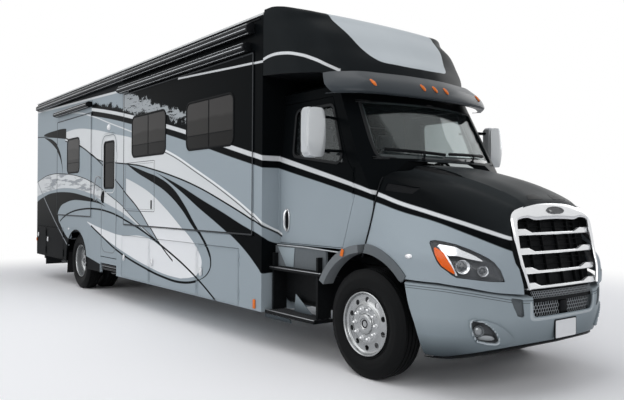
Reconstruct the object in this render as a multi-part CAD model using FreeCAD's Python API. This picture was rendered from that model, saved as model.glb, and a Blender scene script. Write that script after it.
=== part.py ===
import FreeCAD, Part
import math
import os

# Motorhome: a long box body on a bonneted truck chassis.
# Frame: +X forward, +Y to the vehicle's left, +Z up, millimetres.
# Origin: on the ground, under the middle of the overall length and width.

V = FreeCAD.Vector
os.makedirs("parts", exist_ok=True)

# ---------------------------------------------------------------- driving dimensions
WIDTH = 2565.0              # over the box body
BODY_HEIGHT = 2667.0        # underside of the floor to the roof edge
ROOF_CROWN = 60.0
TYRE_DIAMETER = 1030.0
TYRE_WIDTH = 280.0
RIM_RADIUS = 286.0          # bead seat of a 22.5 inch wheel
RIM_WIDTH = 235.0
TWIN_SPACING = 343.0        # between the middles of twin tyres
TYRE_ROOM = 70.0            # over the rear tyres
GAP = 6.0                   # seam round doors and slide-out rooms
SEAT_GAP = 0.3              # between a moving piece and what carries it

# lengths along the vehicle, front to rear
FRONT_OVERHANG = 1345.0     # bumper nose to front axle
CAB_BACK = 1586.0           # front axle to the front of the box
CORNER_LENGTH = 174.0       # box front to front slide-out room
FRONT_SLIDE_LENGTH = 3840.0
DOOR_POST = 310.0           # front slide-out room to entry door
ENTRY_DOOR_WIDTH = 720.0
ARCH_LEAD = 1288.0          # entry door to rear axle
REAR_SLIDE_LEAD = 470.0     # entry door to rear slide-out room
REAR_SLIDE_LENGTH = 2000.0
TAIL = 1488.0               # rear slide-out room to the rear end

# walls and panels
WALL = 45.0
FLOOR_THICKNESS = 60.0
ROOF_STEP = 30.0            # roof slab's edge height
CAB_WALL = 60.0
SKIN = 40.0                 # bay doors and basement panels
BONNET_SHELL = 35.0
GLASS = 8.0

# basement
SKIRT_BOTTOM = 420.0
FRONT_PANEL = 470.0         # fixed panel ahead of the first bay door
BAY_WEIGHTS = (1053.0, 1505.0, 1071.0)   # how the bay doors share their span, front to rear
REAR_WEIGHTS = (1170.0, 690.0)           # the same for the doors behind the wheel, right side
TAIL_PANEL = 23.0           # last rear bay to the rear wall
BAY_POST = 30.0
BAY_INNER = 520.0           # inner wall of the bays, from the middle plane
BAY_LINING = 20.0
BAY_TRAY = 25.0
ENTRY_POST = 225.0          # last front bay to the entry door
ARCH_PANEL = 157.0          # rear wheel arch to the bay behind it
TAIL_RISE = 60.0            # skirt behind the wheel, above the skirt ahead of it

# slide-out rooms
SLIDE_PROUD = 12.0
SLIDE_DEPTH = 900.0
FRONT_SLIDE_BOTTOM = 160.0  # above the floor's underside
REAR_SLIDE_BOTTOM = 250.0
FRONT_SLIDE_TOP = 417.0     # below the roof edge
REAR_SLIDE_TOP = 547.0

# ladder frame
RAIL_ROOM = 120.5           # inner twin tyre to the rail
RAIL_WIDTH = 80.0
RAIL_HEIGHT = 270.0
BEARER = 130.0

# cab
CAB_HALF_INSET = 222.5      # cab side, in from the box side
CAB_LEAN = 75.0             # each side leans in from belt to roof
SCREEN_BULGE = 200.0        # windscreen's curve, middle ahead of its corners
SCREEN_HALF = 925.0

# ---------------------------------------------------------------- derived places
wheel_z = TYRE_DIAMETER / 2
wheelbase = CAB_BACK + CORNER_LENGTH + FRONT_SLIDE_LENGTH + DOOR_POST + ENTRY_DOOR_WIDTH + ARCH_LEAD
door_rear_station = wheelbase - ARCH_LEAD
rear_station = door_rear_station + REAR_SLIDE_LEAD + REAR_SLIDE_LENGTH + TAIL
length = FRONT_OVERHANG + rear_station
front_axle_x = length / 2 - FRONT_OVERHANG
half = WIDTH / 2
floor_z = TYRE_DIAMETER + TYRE_ROOM          # underside of the floor
floor_top = floor_z + FLOOR_THICKNESS
roof_edge = floor_z + BODY_HEIGHT
wall_top = roof_edge - ROOF_STEP
cab_half = half - CAB_HALF_INSET
fender_half = half - 82.5
front_rim_face = half - 123.5
rear_rim_face = half - 91.5
inner_twin_face = rear_rim_face - RIM_WIDTH / 2 - TWIN_SPACING - TYRE_WIDTH / 2
rail_half = inner_twin_face - RAIL_ROOM - RAIL_WIDTH / 2    # middle plane to the middle of a rail
rail_inner = rail_half - RAIL_WIDTH / 2
rail_top = floor_z - BEARER
rail_bottom = rail_top - RAIL_HEIGHT


def at(behind):
    """X of a station measured back from the front axle."""
    return front_axle_x - behind


box_front = at(CAB_BACK)
box_rear = at(rear_station)
rear_axle_x = at(wheelbase)
front_slide_x = (at(CAB_BACK + CORNER_LENGTH + FRONT_SLIDE_LENGTH), at(CAB_BACK + CORNER_LENGTH))
entry_x = (at(door_rear_station), at(door_rear_station - ENTRY_DOOR_WIDTH))
rear_slide_front = door_rear_station + REAR_SLIDE_LEAD
rear_slide_x = (at(rear_slide_front + REAR_SLIDE_LENGTH), at(rear_slide_front))


# ---------------------------------------------------------------- shape helpers
def block(x0, x1, y0, y1, z0, z1):
    """Box between two corners, given as ranges along X, Y and Z."""
    lows = (min(x0, x1), min(y0, y1), min(z0, z1))
    return Part.makeBox(abs(x1 - x0), abs(y1 - y0), abs(z1 - z0), V(*lows))


def face_of(points):
    return Part.Face(Part.makePolygon(points + [points[0]]))


def prism_y(outline, y0, y1):
    """Outline of (x, z) points carried along Y."""
    return face_of([V(x, y0, z) for x, z in outline]).extrude(V(0, y1 - y0, 0))


def prism_x(outline, x0, x1):
    """Outline of (y, z) points carried along X."""
    return face_of([V(x0, y, z) for y, z in outline]).extrude(V(x1 - x0, 0, 0))


def prism_z(outline, z0, z1):
    """Outline of (x, y) points carried along Z."""
    return face_of([V(x, y, z0) for x, y in outline]).extrude(V(0, 0, z1 - z0))


def rod(radius, start, end):
    """Cylinder from one point to another."""
    run = end - start
    return Part.makeCylinder(radius, run.Length, start, run)


def tube(outer, inner, start, end):
    return rod(outer, start, end).cut(rod(inner, start, end))


def joined(shapes):
    whole = shapes[0].multiFuse(shapes[1:]) if len(shapes) > 1 else shapes[0]
    return whole.removeSplitter()


def mirrored(shape):
    """The same piece on the other side of the vehicle."""
    return shape.mirror(V(0, 0, 0), V(0, 1, 0))


def on_side(side, shape):
    """Shapes are drawn on the right side (negative Y) and mirrored for the left."""
    return shape if side == "right" else mirrored(shape)


def rounded(x0, x1, z0, z1, radius, y0, y1):
    """Rounded rectangle in the XZ plane, carried along Y."""
    plate = block(x0, x1, y0, y1, z0, z1)
    upright = [e for e in plate.Edges if abs(e.tangentAt(e.FirstParameter).y) > 0.99]
    return plate.makeFillet(radius, upright)


def loft(sections):
    """Ruled solid through closed polygons with equal numbers of corners."""
    return Part.makeLoft([Part.makePolygon(s + [s[0]]) for s in sections], True, True)


def save(node, *shapes):
    """Write one node, checking that each of its solids is sound."""
    solids = [s for shape in shapes for s in shape.Solids]
    for solid in solids:
        if not solid.isValid() or solid.Volume <= 0:
            raise ValueError("unsound solid in " + node)
    whole = solids[0] if len(solids) == 1 else Part.makeCompound(solids)
    whole.exportStep("parts/" + node + ".step")
    box = whole.BoundBox
    print("%-26s %d solids  x %7.0f %7.0f  y %6.0f %6.0f  z %5.0f %5.0f" % (
        node, len(solids), box.XMin, box.XMax, box.YMin, box.YMax, box.ZMin, box.ZMax))


# ---------------------------------------------------------------- surface hinges of the side doors
HINGE_R = 5.7
HINGE_OUT = HINGE_R + SEAT_GAP      # pin line outside the skin
KNUCKLE = 45.0
LEAF = 18.0


def hinge(seam_x, skin_y, z):
    """One surface hinge on a vertical pin line: the door's part, then the fixed parts ahead of it.

    The door's knuckle turns between two fixed knuckles, SEAT_GAP away from each.
    """
    pin = V(seam_x, skin_y - HINGE_OUT, z)
    up = V(0, 0, KNUCKLE)
    space = V(0, 0, SEAT_GAP)
    lead = GAP / 2

    def half_of(low, reach):
        """A knuckle with its leaf: the leaf joins the pin line to one side's skin."""
        near = seam_x + math.copysign(lead, reach)
        leaf = block(near, seam_x + reach, skin_y - HINGE_R, skin_y, low.z, low.z + KNUCKLE)
        neck = block(seam_x, near, skin_y - HINGE_OUT - 2, skin_y - HINGE_OUT + 2, low.z, low.z + KNUCKLE)
        return joined([rod(HINGE_R, low, low + up), leaf, neck])

    moving = half_of(pin, -lead - LEAF)
    fixed = [half_of(pin + up + space, lead + LEAF), half_of(pin - up - space, lead + LEAF)]
    return moving, fixed


# ---------------------------------------------------------------- ladder frame, axles and engine
frame_front = front_axle_x + 1080
frame_rear = box_rear + 190


def frame_rails():
    """The two rails of the ladder frame."""
    rails = []
    for s in (-1, 1):
        rails.append(block(frame_rear, frame_front, s * (rail_half - RAIL_WIDTH / 2),
                           s * (rail_half + RAIL_WIDTH / 2), rail_bottom, rail_top))
    return rails


def cross_members():
    """Beams across the frame, between the rails' inner faces."""
    behind_gearbox = at(CAB_BACK + 500)
    ahead_of_axle = rear_axle_x + 900
    spans = 4
    middles = [frame_front - 60]
    for i in range(spans + 1):
        middles.append(behind_gearbox + (ahead_of_axle - behind_gearbox) * i / spans)
    middles += [rear_axle_x - 900, frame_rear + 40]
    return [block(x - 40, x + 40, -rail_inner, rail_inner, rail_top - 200, rail_top - 50) for x in middles]


HUB_R = 60.0
HUB_CAP = 25.0
SPINDLE_R = 45.0
KINGPIN_R = 22.0
kingpin_y = front_rim_face - 290


def front_axle():
    """Forged beam with an eye for each kingpin, on two leaf springs under the rails."""
    x = front_axle_x
    eye = 70.0
    beam = block(x - 55, x + 55, -(kingpin_y - 30), kingpin_y - 30, wheel_z - 60, wheel_z + 45)
    shapes = [beam]
    for s in (-1, 1):
        shapes.append(rod(55, V(x, s * kingpin_y, wheel_z - eye), V(x, s * kingpin_y, wheel_z + eye)))
        spring = [(x - 720, rail_bottom), (x - 720, rail_bottom - 60), (x - 110, wheel_z + 45),
                  (x + 110, wheel_z + 45), (x + 720, rail_bottom - 60), (x + 720, rail_bottom),
                  (x + 650, rail_bottom), (x + 110, wheel_z + 110), (x - 110, wheel_z + 110),
                  (x - 650, rail_bottom)]
        shapes.append(prism_y(spring, s * (rail_half - 38), s * (rail_half + 38)))
    axle = joined(shapes)
    for s in (-1, 1):
        axle = axle.cut(rod(KINGPIN_R + SEAT_GAP, V(x, s * kingpin_y, wheel_z - eye - 5),
                            V(x, s * kingpin_y, wheel_z + eye + 5)))
    return axle


def rear_axle():
    """Axle tube with differential, hub spindles, leaf springs and the propeller shaft ahead."""
    x = rear_axle_x
    inner_face = rear_rim_face - TWIN_SPACING - RIM_WIDTH / 2
    tube_end = inner_face - 60 - GAP
    shapes = [rod(85, V(x, -tube_end, wheel_z), V(x, tube_end, wheel_z)),
              Part.makeSphere(215, V(x, 0, wheel_z)),
              rod(HUB_R, V(x, -(rear_rim_face - 90), wheel_z), V(x, rear_rim_face - 90, wheel_z)),
              rod(50, V(x, 0, wheel_z + 20), V(at(CAB_BACK + 24), 0, rail_bottom))]
    for s in (-1, 1):
        spring = [(x - 760, rail_bottom), (x - 760, rail_bottom - 60), (x - 120, wheel_z + 70),
                  (x + 120, wheel_z + 70), (x + 760, rail_bottom - 60), (x + 760, rail_bottom),
                  (x + 680, rail_bottom), (x + 120, wheel_z + 150), (x - 120, wheel_z + 150),
                  (x - 680, rail_bottom)]
        shapes.append(prism_y(spring, s * (rail_half - 38), s * (rail_half + 38)))
    return joined(shapes)


def engine_block():
    """Engine with its gearbox behind, one plain block between the rails and under the cab's floor."""
    x = front_axle_x
    under_cab = floor_z + CAB_SILL - 20
    engine_half = rail_inner * 32 / 39
    rear_half = rail_inner * 10 / 13
    gearbox_half = rail_inner * 22 / 39
    engine = block(x + 20, x + 700, -engine_half, engine_half, rail_bottom + 60, floor_z + 420)
    rear_part = block(x - 560, x + 20, -rear_half, rear_half, rail_bottom + 60, under_cab)
    gearbox = block(at(CAB_BACK + 20), x - 560, -gearbox_half, gearbox_half,
                    rail_bottom - 30, rail_bottom + 330)
    mounts = block(x + 100, x + 220, -rail_inner, rail_inner, rail_bottom + 80, rail_bottom + 200)
    return joined([engine, rear_part, gearbox, mounts])


# ---------------------------------------------------------------- wheels
FLANGE = 14.0               # rim's flange over the bead seat


def tyre(x, middle_y):
    """Tyre as a ring with rounded shoulders, seated on the rim's barrel."""
    w = TYRE_WIDTH / 2
    r = TYRE_DIAMETER / 2
    bead = RIM_WIDTH / 2 - 12
    clear = RIM_RADIUS + FLANGE + 1
    outline = [(RIM_RADIUS, -bead), (clear, -bead),
               (RIM_RADIUS + 60, -w * 0.93), (r - 130, -w), (r - 45, -w * 0.93),
               (r - 8, -w * 0.78), (r, -w * 0.55), (r, w * 0.55), (r - 8, w * 0.78), (r - 45, w * 0.93),
               (r - 130, w), (RIM_RADIUS + 60, w * 0.93), (clear, bead), (RIM_RADIUS, bead)]
    ring = face_of([V(x, middle_y + across, wheel_z + up) for up, across in outline])
    return ring.revolve(V(x, middle_y, wheel_z), V(0, 1, 0), 360)


def rim(x, middle_y, disc_y, hub_from, hub_to):
    """Barrel with flanges, a disc with hand holes, and a hub."""
    s = 1 if middle_y > 0 else -1
    w = RIM_WIDTH / 2
    edge = RIM_RADIUS + FLANGE
    outline = [(RIM_RADIUS, -w + 12), (edge, -w + 12), (edge, -w), (RIM_RADIUS - 14, -w),
               (RIM_RADIUS - 26, -w + 60), (RIM_RADIUS - 26, w - 60), (RIM_RADIUS - 14, w),
               (edge, w), (edge, w - 12), (RIM_RADIUS, w - 12)]
    barrel = face_of([V(x, middle_y + across, wheel_z + up) for up, across in outline]).revolve(
        V(x, middle_y, wheel_z), V(0, 1, 0), 360)
    disc_radius = RIM_RADIUS - 14
    pieces = [barrel]
    if abs(disc_y - middle_y) > w:
        # the disc stands outside its barrel, on a cone from inside the barrel's end
        toward = math.copysign(1, disc_y - middle_y)
        foot = middle_y + toward * (w - 50)
        cone = [(RIM_RADIUS - 36, foot), (RIM_RADIUS - 18, foot), (250, disc_y), (232, disc_y)]
        pieces.append(face_of([V(x, y, wheel_z + up) for up, y in cone]).revolve(
            V(x, middle_y, wheel_z), V(0, 1, 0), 360))
        disc_radius = 250
    disc = rod(disc_radius, V(x, disc_y, wheel_z), V(x, disc_y - s * 16, wheel_z))
    for i in range(10):
        angle = math.radians(36 * i + 18)
        hole = V(x + 192 * math.cos(angle), disc_y, wheel_z + 192 * math.sin(angle))
        disc = disc.cut(rod(30, hole + V(0, 40, 0), hole - V(0, 40, 0)))
    pieces.append(disc)
    hub = rod(115, V(x, hub_from, wheel_z), V(x, hub_to, wheel_z))
    return joined(pieces + [hub])


def bored(wheel, x, radius, hub_from, hub_to):
    """Cut the bearing's bore into a hub, leaving the hub's outer end closed."""
    s = math.copysign(1, hub_to)
    return wheel.cut(rod(radius, V(x, hub_from - s * 5, wheel_z), V(x, hub_to - s * HUB_CAP, wheel_z)))


def knuckle(s):
    """Fork round the axle's eye on its kingpin, with the wheel's spindle."""
    x = front_axle_x
    y = s * kingpin_y
    eye = 70 + SEAT_GAP
    plate = 45.0
    shapes = [rod(KINGPIN_R, V(x, y, wheel_z - eye - plate), V(x, y, wheel_z + eye + plate)),
              block(x - 50, x + 50, y - s * 40, y + s * 105, wheel_z + eye, wheel_z + eye + plate),
              block(x - 50, x + 50, y - s * 40, y + s * 105, wheel_z - eye - plate, wheel_z - eye),
              block(x - 50, x + 50, y + s * 62, y + s * 105, wheel_z - eye - plate, wheel_z + eye + plate),
              rod(SPINDLE_R, V(x, y + s * 80, wheel_z), V(x, y + s * 260, wheel_z))]
    return joined(shapes)


# ---------------------------------------------------------------- box body
def slide_z(which):
    """Height range of a slide-out room."""
    if which == "front":
        return floor_z + FRONT_SLIDE_BOTTOM, roof_edge - FRONT_SLIDE_TOP
    return floor_z + REAR_SLIDE_BOTTOM, roof_edge - REAR_SLIDE_TOP


STAIR_INNER = 560.0         # stair well's inner side, from the middle plane
RUNNER_WIDTH = 80.0


def box_floor():
    """Floor slab between the walls, with a notch for the entry door's stair well."""
    inner = half - WALL
    slab = block(box_rear + WALL, box_front - WALL, -inner, inner, floor_z, floor_top)
    notch = block(entry_x[0] - GAP, entry_x[1] + GAP, -inner - 1, -STAIR_INNER, floor_z - 1, floor_top + 1)
    return slab.cut(notch)


def floor_supports():
    """Bearers on the rails under the floor, and runners on the floor under the slide-out rooms."""
    supports = []
    count = 7
    run = (box_front - 400) - (box_rear + 500)
    for i in range(count):
        x = box_rear + 500 + run * i / (count - 1)
        supports.append(block(x - 50, x + 50, -rail_half - 40, rail_half + 40, rail_top, floor_z))
    runners = [("front", front_slide_x, -1), ("rear", rear_slide_x, -1), ("front", front_slide_x, 1)]
    for which, span, s in runners:
        top = slide_z(which)[0] - SEAT_GAP
        for x in (span[0] + 300, span[1] - 300 - RUNNER_WIDTH):
            supports.append(block(x, x + RUNNER_WIDTH, s * (half - WALL - 5), s * (half - SLIDE_DEPTH),
                                  floor_top, top))
    return supports


ENTRY_BOTTOM = 400.0        # entry door's bottom, below the floor's underside
ENTRY_HEIGHT = 2075.0
WINDOW_R = 100.0


def entry_z():
    return floor_z - ENTRY_BOTTOM, floor_z - ENTRY_BOTTOM + ENTRY_HEIGHT


def entry_outline(grow, y0, y1):
    """Entry door's outline: square at the foot, well rounded at the head."""
    low, high = entry_z()
    head = rounded(entry_x[0] - grow, entry_x[1] + grow, low - grow, high + grow, 190 + grow, y0, y1)
    foot = block(entry_x[0] - grow, entry_x[1] + grow, y0, y1, low - grow, high - 400)
    return head.fuse(foot).removeSplitter()


def side_wall(side):
    """Side wall with its slide-out, door and window openings."""
    wall = block(box_rear + WALL, box_front, -half, -half + WALL, floor_z, wall_top)
    deep = (-half - 50, -half + WALL + 50)
    z0, z1 = slide_z("front")
    wall = wall.cut(block(front_slide_x[0] - GAP, front_slide_x[1] + GAP, *deep, z0 - GAP, z1 + GAP))
    if side == "left":
        return mirrored(wall.cut(bedroom_window(0, *deep)))
    z0, z1 = slide_z("rear")
    wall = wall.cut(block(rear_slide_x[0] - GAP, rear_slide_x[1] + GAP, *deep, z0 - GAP, z1 + GAP))
    wall = wall.cut(entry_outline(GAP, *deep))
    fixed = []
    for z in entry_hinges():
        fixed += hinge(entry_x[1] + GAP / 2, -half, z)[1]
    return joined([wall] + [f for f in fixed if f.BoundBox.ZMin > floor_z])


def entry_hinges():
    low, high = entry_z()
    return (floor_z + 250, high - 420)


REAR_WINDOW = (710.0, 650.0)        # width and height


def bedroom_window(shrink, y0, y1):
    """Window over the bed, in the rear slide-out room on the right and in the wall on the left."""
    middle = rear_slide_x[1] - 985
    top = slide_z("rear")[1] - 400
    w, h = REAR_WINDOW
    return rounded(middle - w / 2 + shrink, middle + w / 2 - shrink, top - h + shrink, top - shrink,
                   WINDOW_R - shrink, y0, y1)


FRONT_WINDOWS = ((0.27, 1220.0), (0.752, 1205.0))   # middle as a share of the room, and width
FRONT_WINDOW_HEIGHT = 625.0


def front_windows(y0, y1):
    """Two windows in the front slide-out room's outer wall."""
    top = slide_z("front")[1] - 405
    cuts = []
    for share, width in FRONT_WINDOWS:
        middle = front_slide_x[1] - share * FRONT_SLIDE_LENGTH
        cuts.append(rounded(middle - width / 2, middle + width / 2, top - FRONT_WINDOW_HEIGHT, top,
                            WINDOW_R, y0, y1))
    return cuts


def slide_room(which, span, windows):
    """Hollow room, open towards the middle of the vehicle, with windows in its outer wall."""
    z0, z1 = slide_z(which)
    outer = -half - SLIDE_PROUD
    room = block(span[0], span[1], outer, outer + SLIDE_DEPTH, z0, z1)
    hollow = block(span[0] + SKIN, span[1] - SKIN, outer + WALL, outer + SLIDE_DEPTH + 1,
                   z0 + SKIN, z1 - SKIN)
    room = room.cut(hollow)
    for window in windows:
        room = room.cut(window)
    return room


def rear_wall():
    bottom = floor_z - 570
    return block(box_rear, box_rear + WALL, -half, half, bottom, wall_top)


def box_front_wall():
    """Front wall with a way through to the cab and one up into the cap."""
    inner = half - WALL
    wall = block(box_front - WALL, box_front, -inner, inner, floor_z, wall_top)
    wall = wall.cut(block(box_front - 100, box_front + 50, -600, 600, floor_z + 130, floor_z + 1500))
    cap_low = cap_bottom() + 90
    return wall.cut(block(box_front - 100, box_front + 50, -900, 900, cap_low, wall_top - 100))


def roof_outline(lift=0.0):
    """Crowned roof from side to side, as (y, z) points on a shallow arc."""
    steps = 12
    points = []
    for i in range(steps + 1):
        y = -half + 25 + (WIDTH - 50) * i / steps
        points.append((y, roof_edge + lift + ROOF_CROWN * (1 - (y / (half - 25)) ** 2)))
    return points


def roof():
    arc = roof_outline()
    outline = [(-half, wall_top)] + [(-half, roof_edge - 8)] + arc + [(half, roof_edge - 8), (half, wall_top)]
    return prism_x(outline, box_rear, box_front)


def roof_units():
    """Two air conditioners and a vent on the roof."""
    low = roof_edge
    crown = roof_edge + ROOF_CROWN
    spots = ((front_slide_x[0] + 1300, 980, 700, 255), (rear_slide_x[0] + 1000, 980, 700, 255),
             (entry_x[0] - 100, 420, 420, 130))
    below = roof()
    units = []
    for x, long, wide, tall in spots:
        base = [V(x + a * long / 2, b * wide / 2, low) for a, b in ((-1, -1), (1, -1), (1, 1), (-1, 1))]
        top = [V(x + a * (long / 2 - 90), b * (wide / 2 - 80), crown + tall)
               for a, b in ((-1, -1), (1, -1), (1, 1), (-1, 1))]
        units.append(loft([base, top]).cut(below))
    return units


def cap_bottom():
    return floor_z + 1980


CAP_HEIGHT = 687.0          # cap's bottom to the roof edge, for the sections below
CAP_SECTIONS = (
    # ahead of the box; then (out, above the cap's bottom) from the side's foot over the corner to the middle
    (0.0, ((1252, -20), (1282, 40), (1282, 600), (1265, 680), (1200, 715), (700, 730), (0, 747))),
    (330.0, ((1245, -50), (1275, 10), (1262, 400), (1225, 640), (1130, 690), (600, 690), (0, 690))),
    (585.0, ((1200, -75), (1235, -20), (1200, 200), (1120, 450), (1000, 590), (600, 615), (0, 622))),
    (855.0, ((1040, -90), (1075, -60), (1040, 20), (960, 100), (850, 200), (560, 330), (0, 365))),
    (1125.0, ((640, -90), (680, -60), (620, 0), (530, 50), (400, 62), (250, 72), (0, 82))),
    (1235.0, ((200, -90), (240, -80), (230, -70), (200, -62), (150, -55), (80, -52), (0, -50))),
)


def cap_form(sections, inset):
    """Solid through the cap's sections, or the same form a shell's thickness smaller and open to the box."""
    rings = []
    for ahead, half_ring in sections:
        x = box_front + ahead - (2 if inset else 0)
        foot = min(up for _, up in half_ring)
        side = []
        for out, up in half_ring:
            shift = inset if up <= foot + 60 else -inset
            y = -max(out * half / 1282.5 - inset, 0)
            side.append((y, cap_bottom() + up * (roof_edge - cap_bottom()) / CAP_HEIGHT + shift))
        ring = side + [(-y, z) for y, z in reversed(side[:-1])]
        rings.append([V(x, y, z) for y, z in ring])
    return loft(rings)


def front_cap():
    """Hollow cap over the cab, tapering and falling towards its nose, open to the box."""
    return cap_form(CAP_SECTIONS, 0).cut(cap_form(CAP_SECTIONS[:4], 40.0))


# ---------------------------------------------------------------- awnings
def awnings():
    """Long awning case under the roof edge, and a case over each slide-out room."""
    depth = 105.0
    long_z = (roof_edge - 215, roof_edge - 95)
    cases = [(box_rear + 280, box_front - 174, long_z, "right"),
             (front_slide_x[0] - 90, front_slide_x[1] - 80, (roof_edge - 405, roof_edge - 300), "right"),
             (rear_slide_x[0] + 20, rear_slide_x[1] - 20, (roof_edge - 460, roof_edge - 360), "right"),
             (front_slide_x[0] - 90, front_slide_x[1] - 80, (roof_edge - 405, roof_edge - 300), "left")]
    shapes = []
    for x0, x1, (z0, z1), side in cases:
        outline = [(-half, z0 + 10), (-half - 45, z0), (-half - depth, z0 + 25), (-half - depth, z1 - 30),
                   (-half - 60, z1), (-half, z1)]
        shapes.append(on_side(side, prism_x(outline, x0, x1)))
    return shapes


# ---------------------------------------------------------------- basement and bay doors
def bay_spans(side):
    """Bay doors along one side, front to rear, as (x of rear edge, x of front edge, lower edge)."""
    rows = [(BAY_WEIGHTS, box_front - FRONT_PANEL, entry_x[1] + ENTRY_POST, SKIRT_BOTTOM)]
    if side == "right":
        rows.append((REAR_WEIGHTS, rear_axle_x - arch_radius_rear() - ARCH_PANEL,
                     box_rear + WALL + TAIL_PANEL, SKIRT_BOTTOM + TAIL_RISE))
    spans = []
    for weights, front, rear, low in rows:
        x = front
        for weight in weights:
            wide = (front - rear) * weight / sum(weights)
            spans.append((x - wide + BAY_POST / 2 + GAP, x - BAY_POST / 2 - GAP, low))
            x -= wide
    return spans


def arch_radius_rear():
    return wheel_z + TYRE_ROOM


def bay_hinges(low):
    return (low + 110, floor_z - 160)


def bay_door(side, span):
    """Flat door hinged at its front edge, with its halves of two hinges."""
    rear, front, low = span
    shapes = [block(rear, front, -half, -half + SKIN, low, floor_z - GAP)]
    for z in bay_hinges(low):
        shapes.append(hinge(front + GAP / 2, -half, z)[0])
    return on_side(side, joined(shapes))


def bay_row(spans):
    """Posts, tray and inner wall of bays that stand side by side."""
    low = spans[0][2]
    inner = -BAY_INNER
    shapes = []
    for rear, front, _ in spans:
        shapes.append(block(front + GAP, front + GAP + BAY_POST, -half, inner, low, floor_z))
    last = spans[-1][0] - GAP - BAY_POST
    first = spans[0][1] + GAP + BAY_POST
    shapes.append(block(last, last + BAY_POST, -half, inner, low, floor_z))
    shapes.append(block(last, first, inner - BAY_LINING, inner, low, floor_z))
    shapes.append(block(last, first, -half + SKIN + GAP, inner, low, low + BAY_TRAY))
    return shapes


def basement(side):
    """Skirt, posts, trays and inner wall of one side's bays, open at the entry door and the rear wheel."""
    low = SKIRT_BOTTOM
    tail_low = low + TAIL_RISE
    skin = (-half, -half + SKIN)
    arch = arch_radius_rear()
    spans = bay_spans(side)
    front_group = spans[:len(BAY_WEIGHTS)]
    rear_group = spans[len(BAY_WEIGHTS):]
    shapes = bay_row(front_group)
    shapes.append(block(front_group[0][1] + GAP, box_front, *skin, low, floor_z))
    shapes.append(block(box_front - BAY_POST, box_front, -half, -BAY_INNER, low, floor_z))
    last = front_group[-1][0] - GAP - BAY_POST
    shapes.append(block(rear_axle_x + arch - 200, last, *skin, low, floor_z))
    if side == "right":
        doorway = block(entry_x[0] - GAP, entry_x[1] + GAP, -half - 1, -half + WALL + GAP,
                        low - 1, floor_z + 1)
        shapes = [s.cut(doorway) for s in shapes]
    tail_end = box_rear + WALL
    if rear_group:
        shapes += bay_row(rear_group)
        shapes.append(block(tail_end, rear_group[-1][0] - GAP, *skin, tail_low, floor_z))
        tail_end = rear_group[0][1] + GAP
    shapes.append(block(tail_end, rear_axle_x - arch + 200, *skin, tail_low, floor_z))
    for rear, front, foot in spans:
        for z in bay_hinges(foot):
            shapes += hinge(front + GAP / 2, -half, z)[1]
    if side == "right":
        for z in entry_hinges():
            shapes += [f for f in hinge(entry_x[1] + GAP / 2, -half, z)[1] if f.BoundBox.ZMax < floor_z]
    whole = joined(shapes)
    whole = whole.cut(rod(arch, V(rear_axle_x, -half - 50, wheel_z), V(rear_axle_x, -100, wheel_z)))
    return on_side(side, whole)


WELL_LINING = 25.0


def stair_well():
    """Well behind the entry door's foot, lined with plates, with two steps."""
    low = entry_z()[0]
    foot = low - 60
    skirt = -half + SKIN
    rear = entry_x[0] - GAP - WELL_LINING
    front = entry_x[1] + GAP + WELL_LINING
    rise = (floor_z - low) / 2
    return joined([block(rear, rear + WELL_LINING, skirt, -STAIR_INNER, foot, floor_z),
                   block(front - WELL_LINING, front, skirt, -STAIR_INNER, foot, floor_z),
                   block(rear, front, skirt, -STAIR_INNER, foot, low - GAP),
                   block(rear, front, -half + 400, -STAIR_INNER, low - GAP, low + rise),
                   block(rear, front, -STAIR_INNER - WELL_LINING, -STAIR_INNER, foot, floor_z)])


def entry_door():
    """Entry door with its window opening and its halves of two hinges."""
    window = entry_window(-half - 50, -half + WALL + 50)
    door = entry_outline(0, -half, -half + WALL).cut(window)
    shapes = [door]
    for z in entry_hinges():
        shapes.append(hinge(entry_x[1] + GAP / 2, -half, z)[0])
    return joined(shapes)


def entry_window(y0, y1):
    middle = entry_x[1] - 345
    top = entry_z()[1] - 135
    return rounded(middle - 235, middle + 235, top - 785, top, 60, y0, y1)


def entry_step():
    """Folded step under the entry door, on two arms from the stair well."""
    z = floor_z - 625
    low = entry_z()[0] - 60
    plates = [block(entry_x[0] + 30, entry_x[1] - 50, -half + 15, -half + 330, z, z + 35),
              block(entry_x[0] + 30, entry_x[1] - 50, -half + 15, -half + 330, z + 55, z + 90),
              block(entry_x[0] + 60, entry_x[0] + 90, -half + 60, -half + 300, z, low),
              block(entry_x[1] - 110, entry_x[1] - 80, -half + 60, -half + 300, z, low)]
    return joined(plates)


HITCH_PIN_R = 8.0
RECEIVER = 50.8             # square socket of a 2 inch hitch


def rear_bumper():
    """Cross bar with a full-width mud flap and a hitch receiver, hung from the rails under the tail."""
    x = frame_rear
    bar_top = SKIRT_BOTTOM + TAIL_RISE - 10
    bar_low = bar_top - 80
    wall = 8.0
    inner = RECEIVER / 2
    outer = inner + wall
    middle = (bar_top + bar_low) / 2
    bar = block(x, x + 90, -half + 120, half - 120, bar_low, bar_top)
    hangers = []
    for s in (-1, 1):
        hangers.append(block(x, x + 90, s * (rail_half - 40), s * (rail_half + 40), bar_top, rail_bottom))
    flap = block(x + 30, x + 42, -half + 140, half - 140, bar_low - 130, bar_low)
    socket = block(box_rear + 20, x + 1, -outer, outer, middle - outer, middle + outer)
    whole = joined([bar, flap, socket] + hangers)
    whole = whole.cut(block(box_rear - 10, x + 60, -inner, inner, middle - inner, middle + inner))
    pin_x = box_rear + 80
    return whole.cut(rod(HITCH_PIN_R, V(pin_x, -outer - 5, middle), V(pin_x, outer + 5, middle)))


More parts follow.
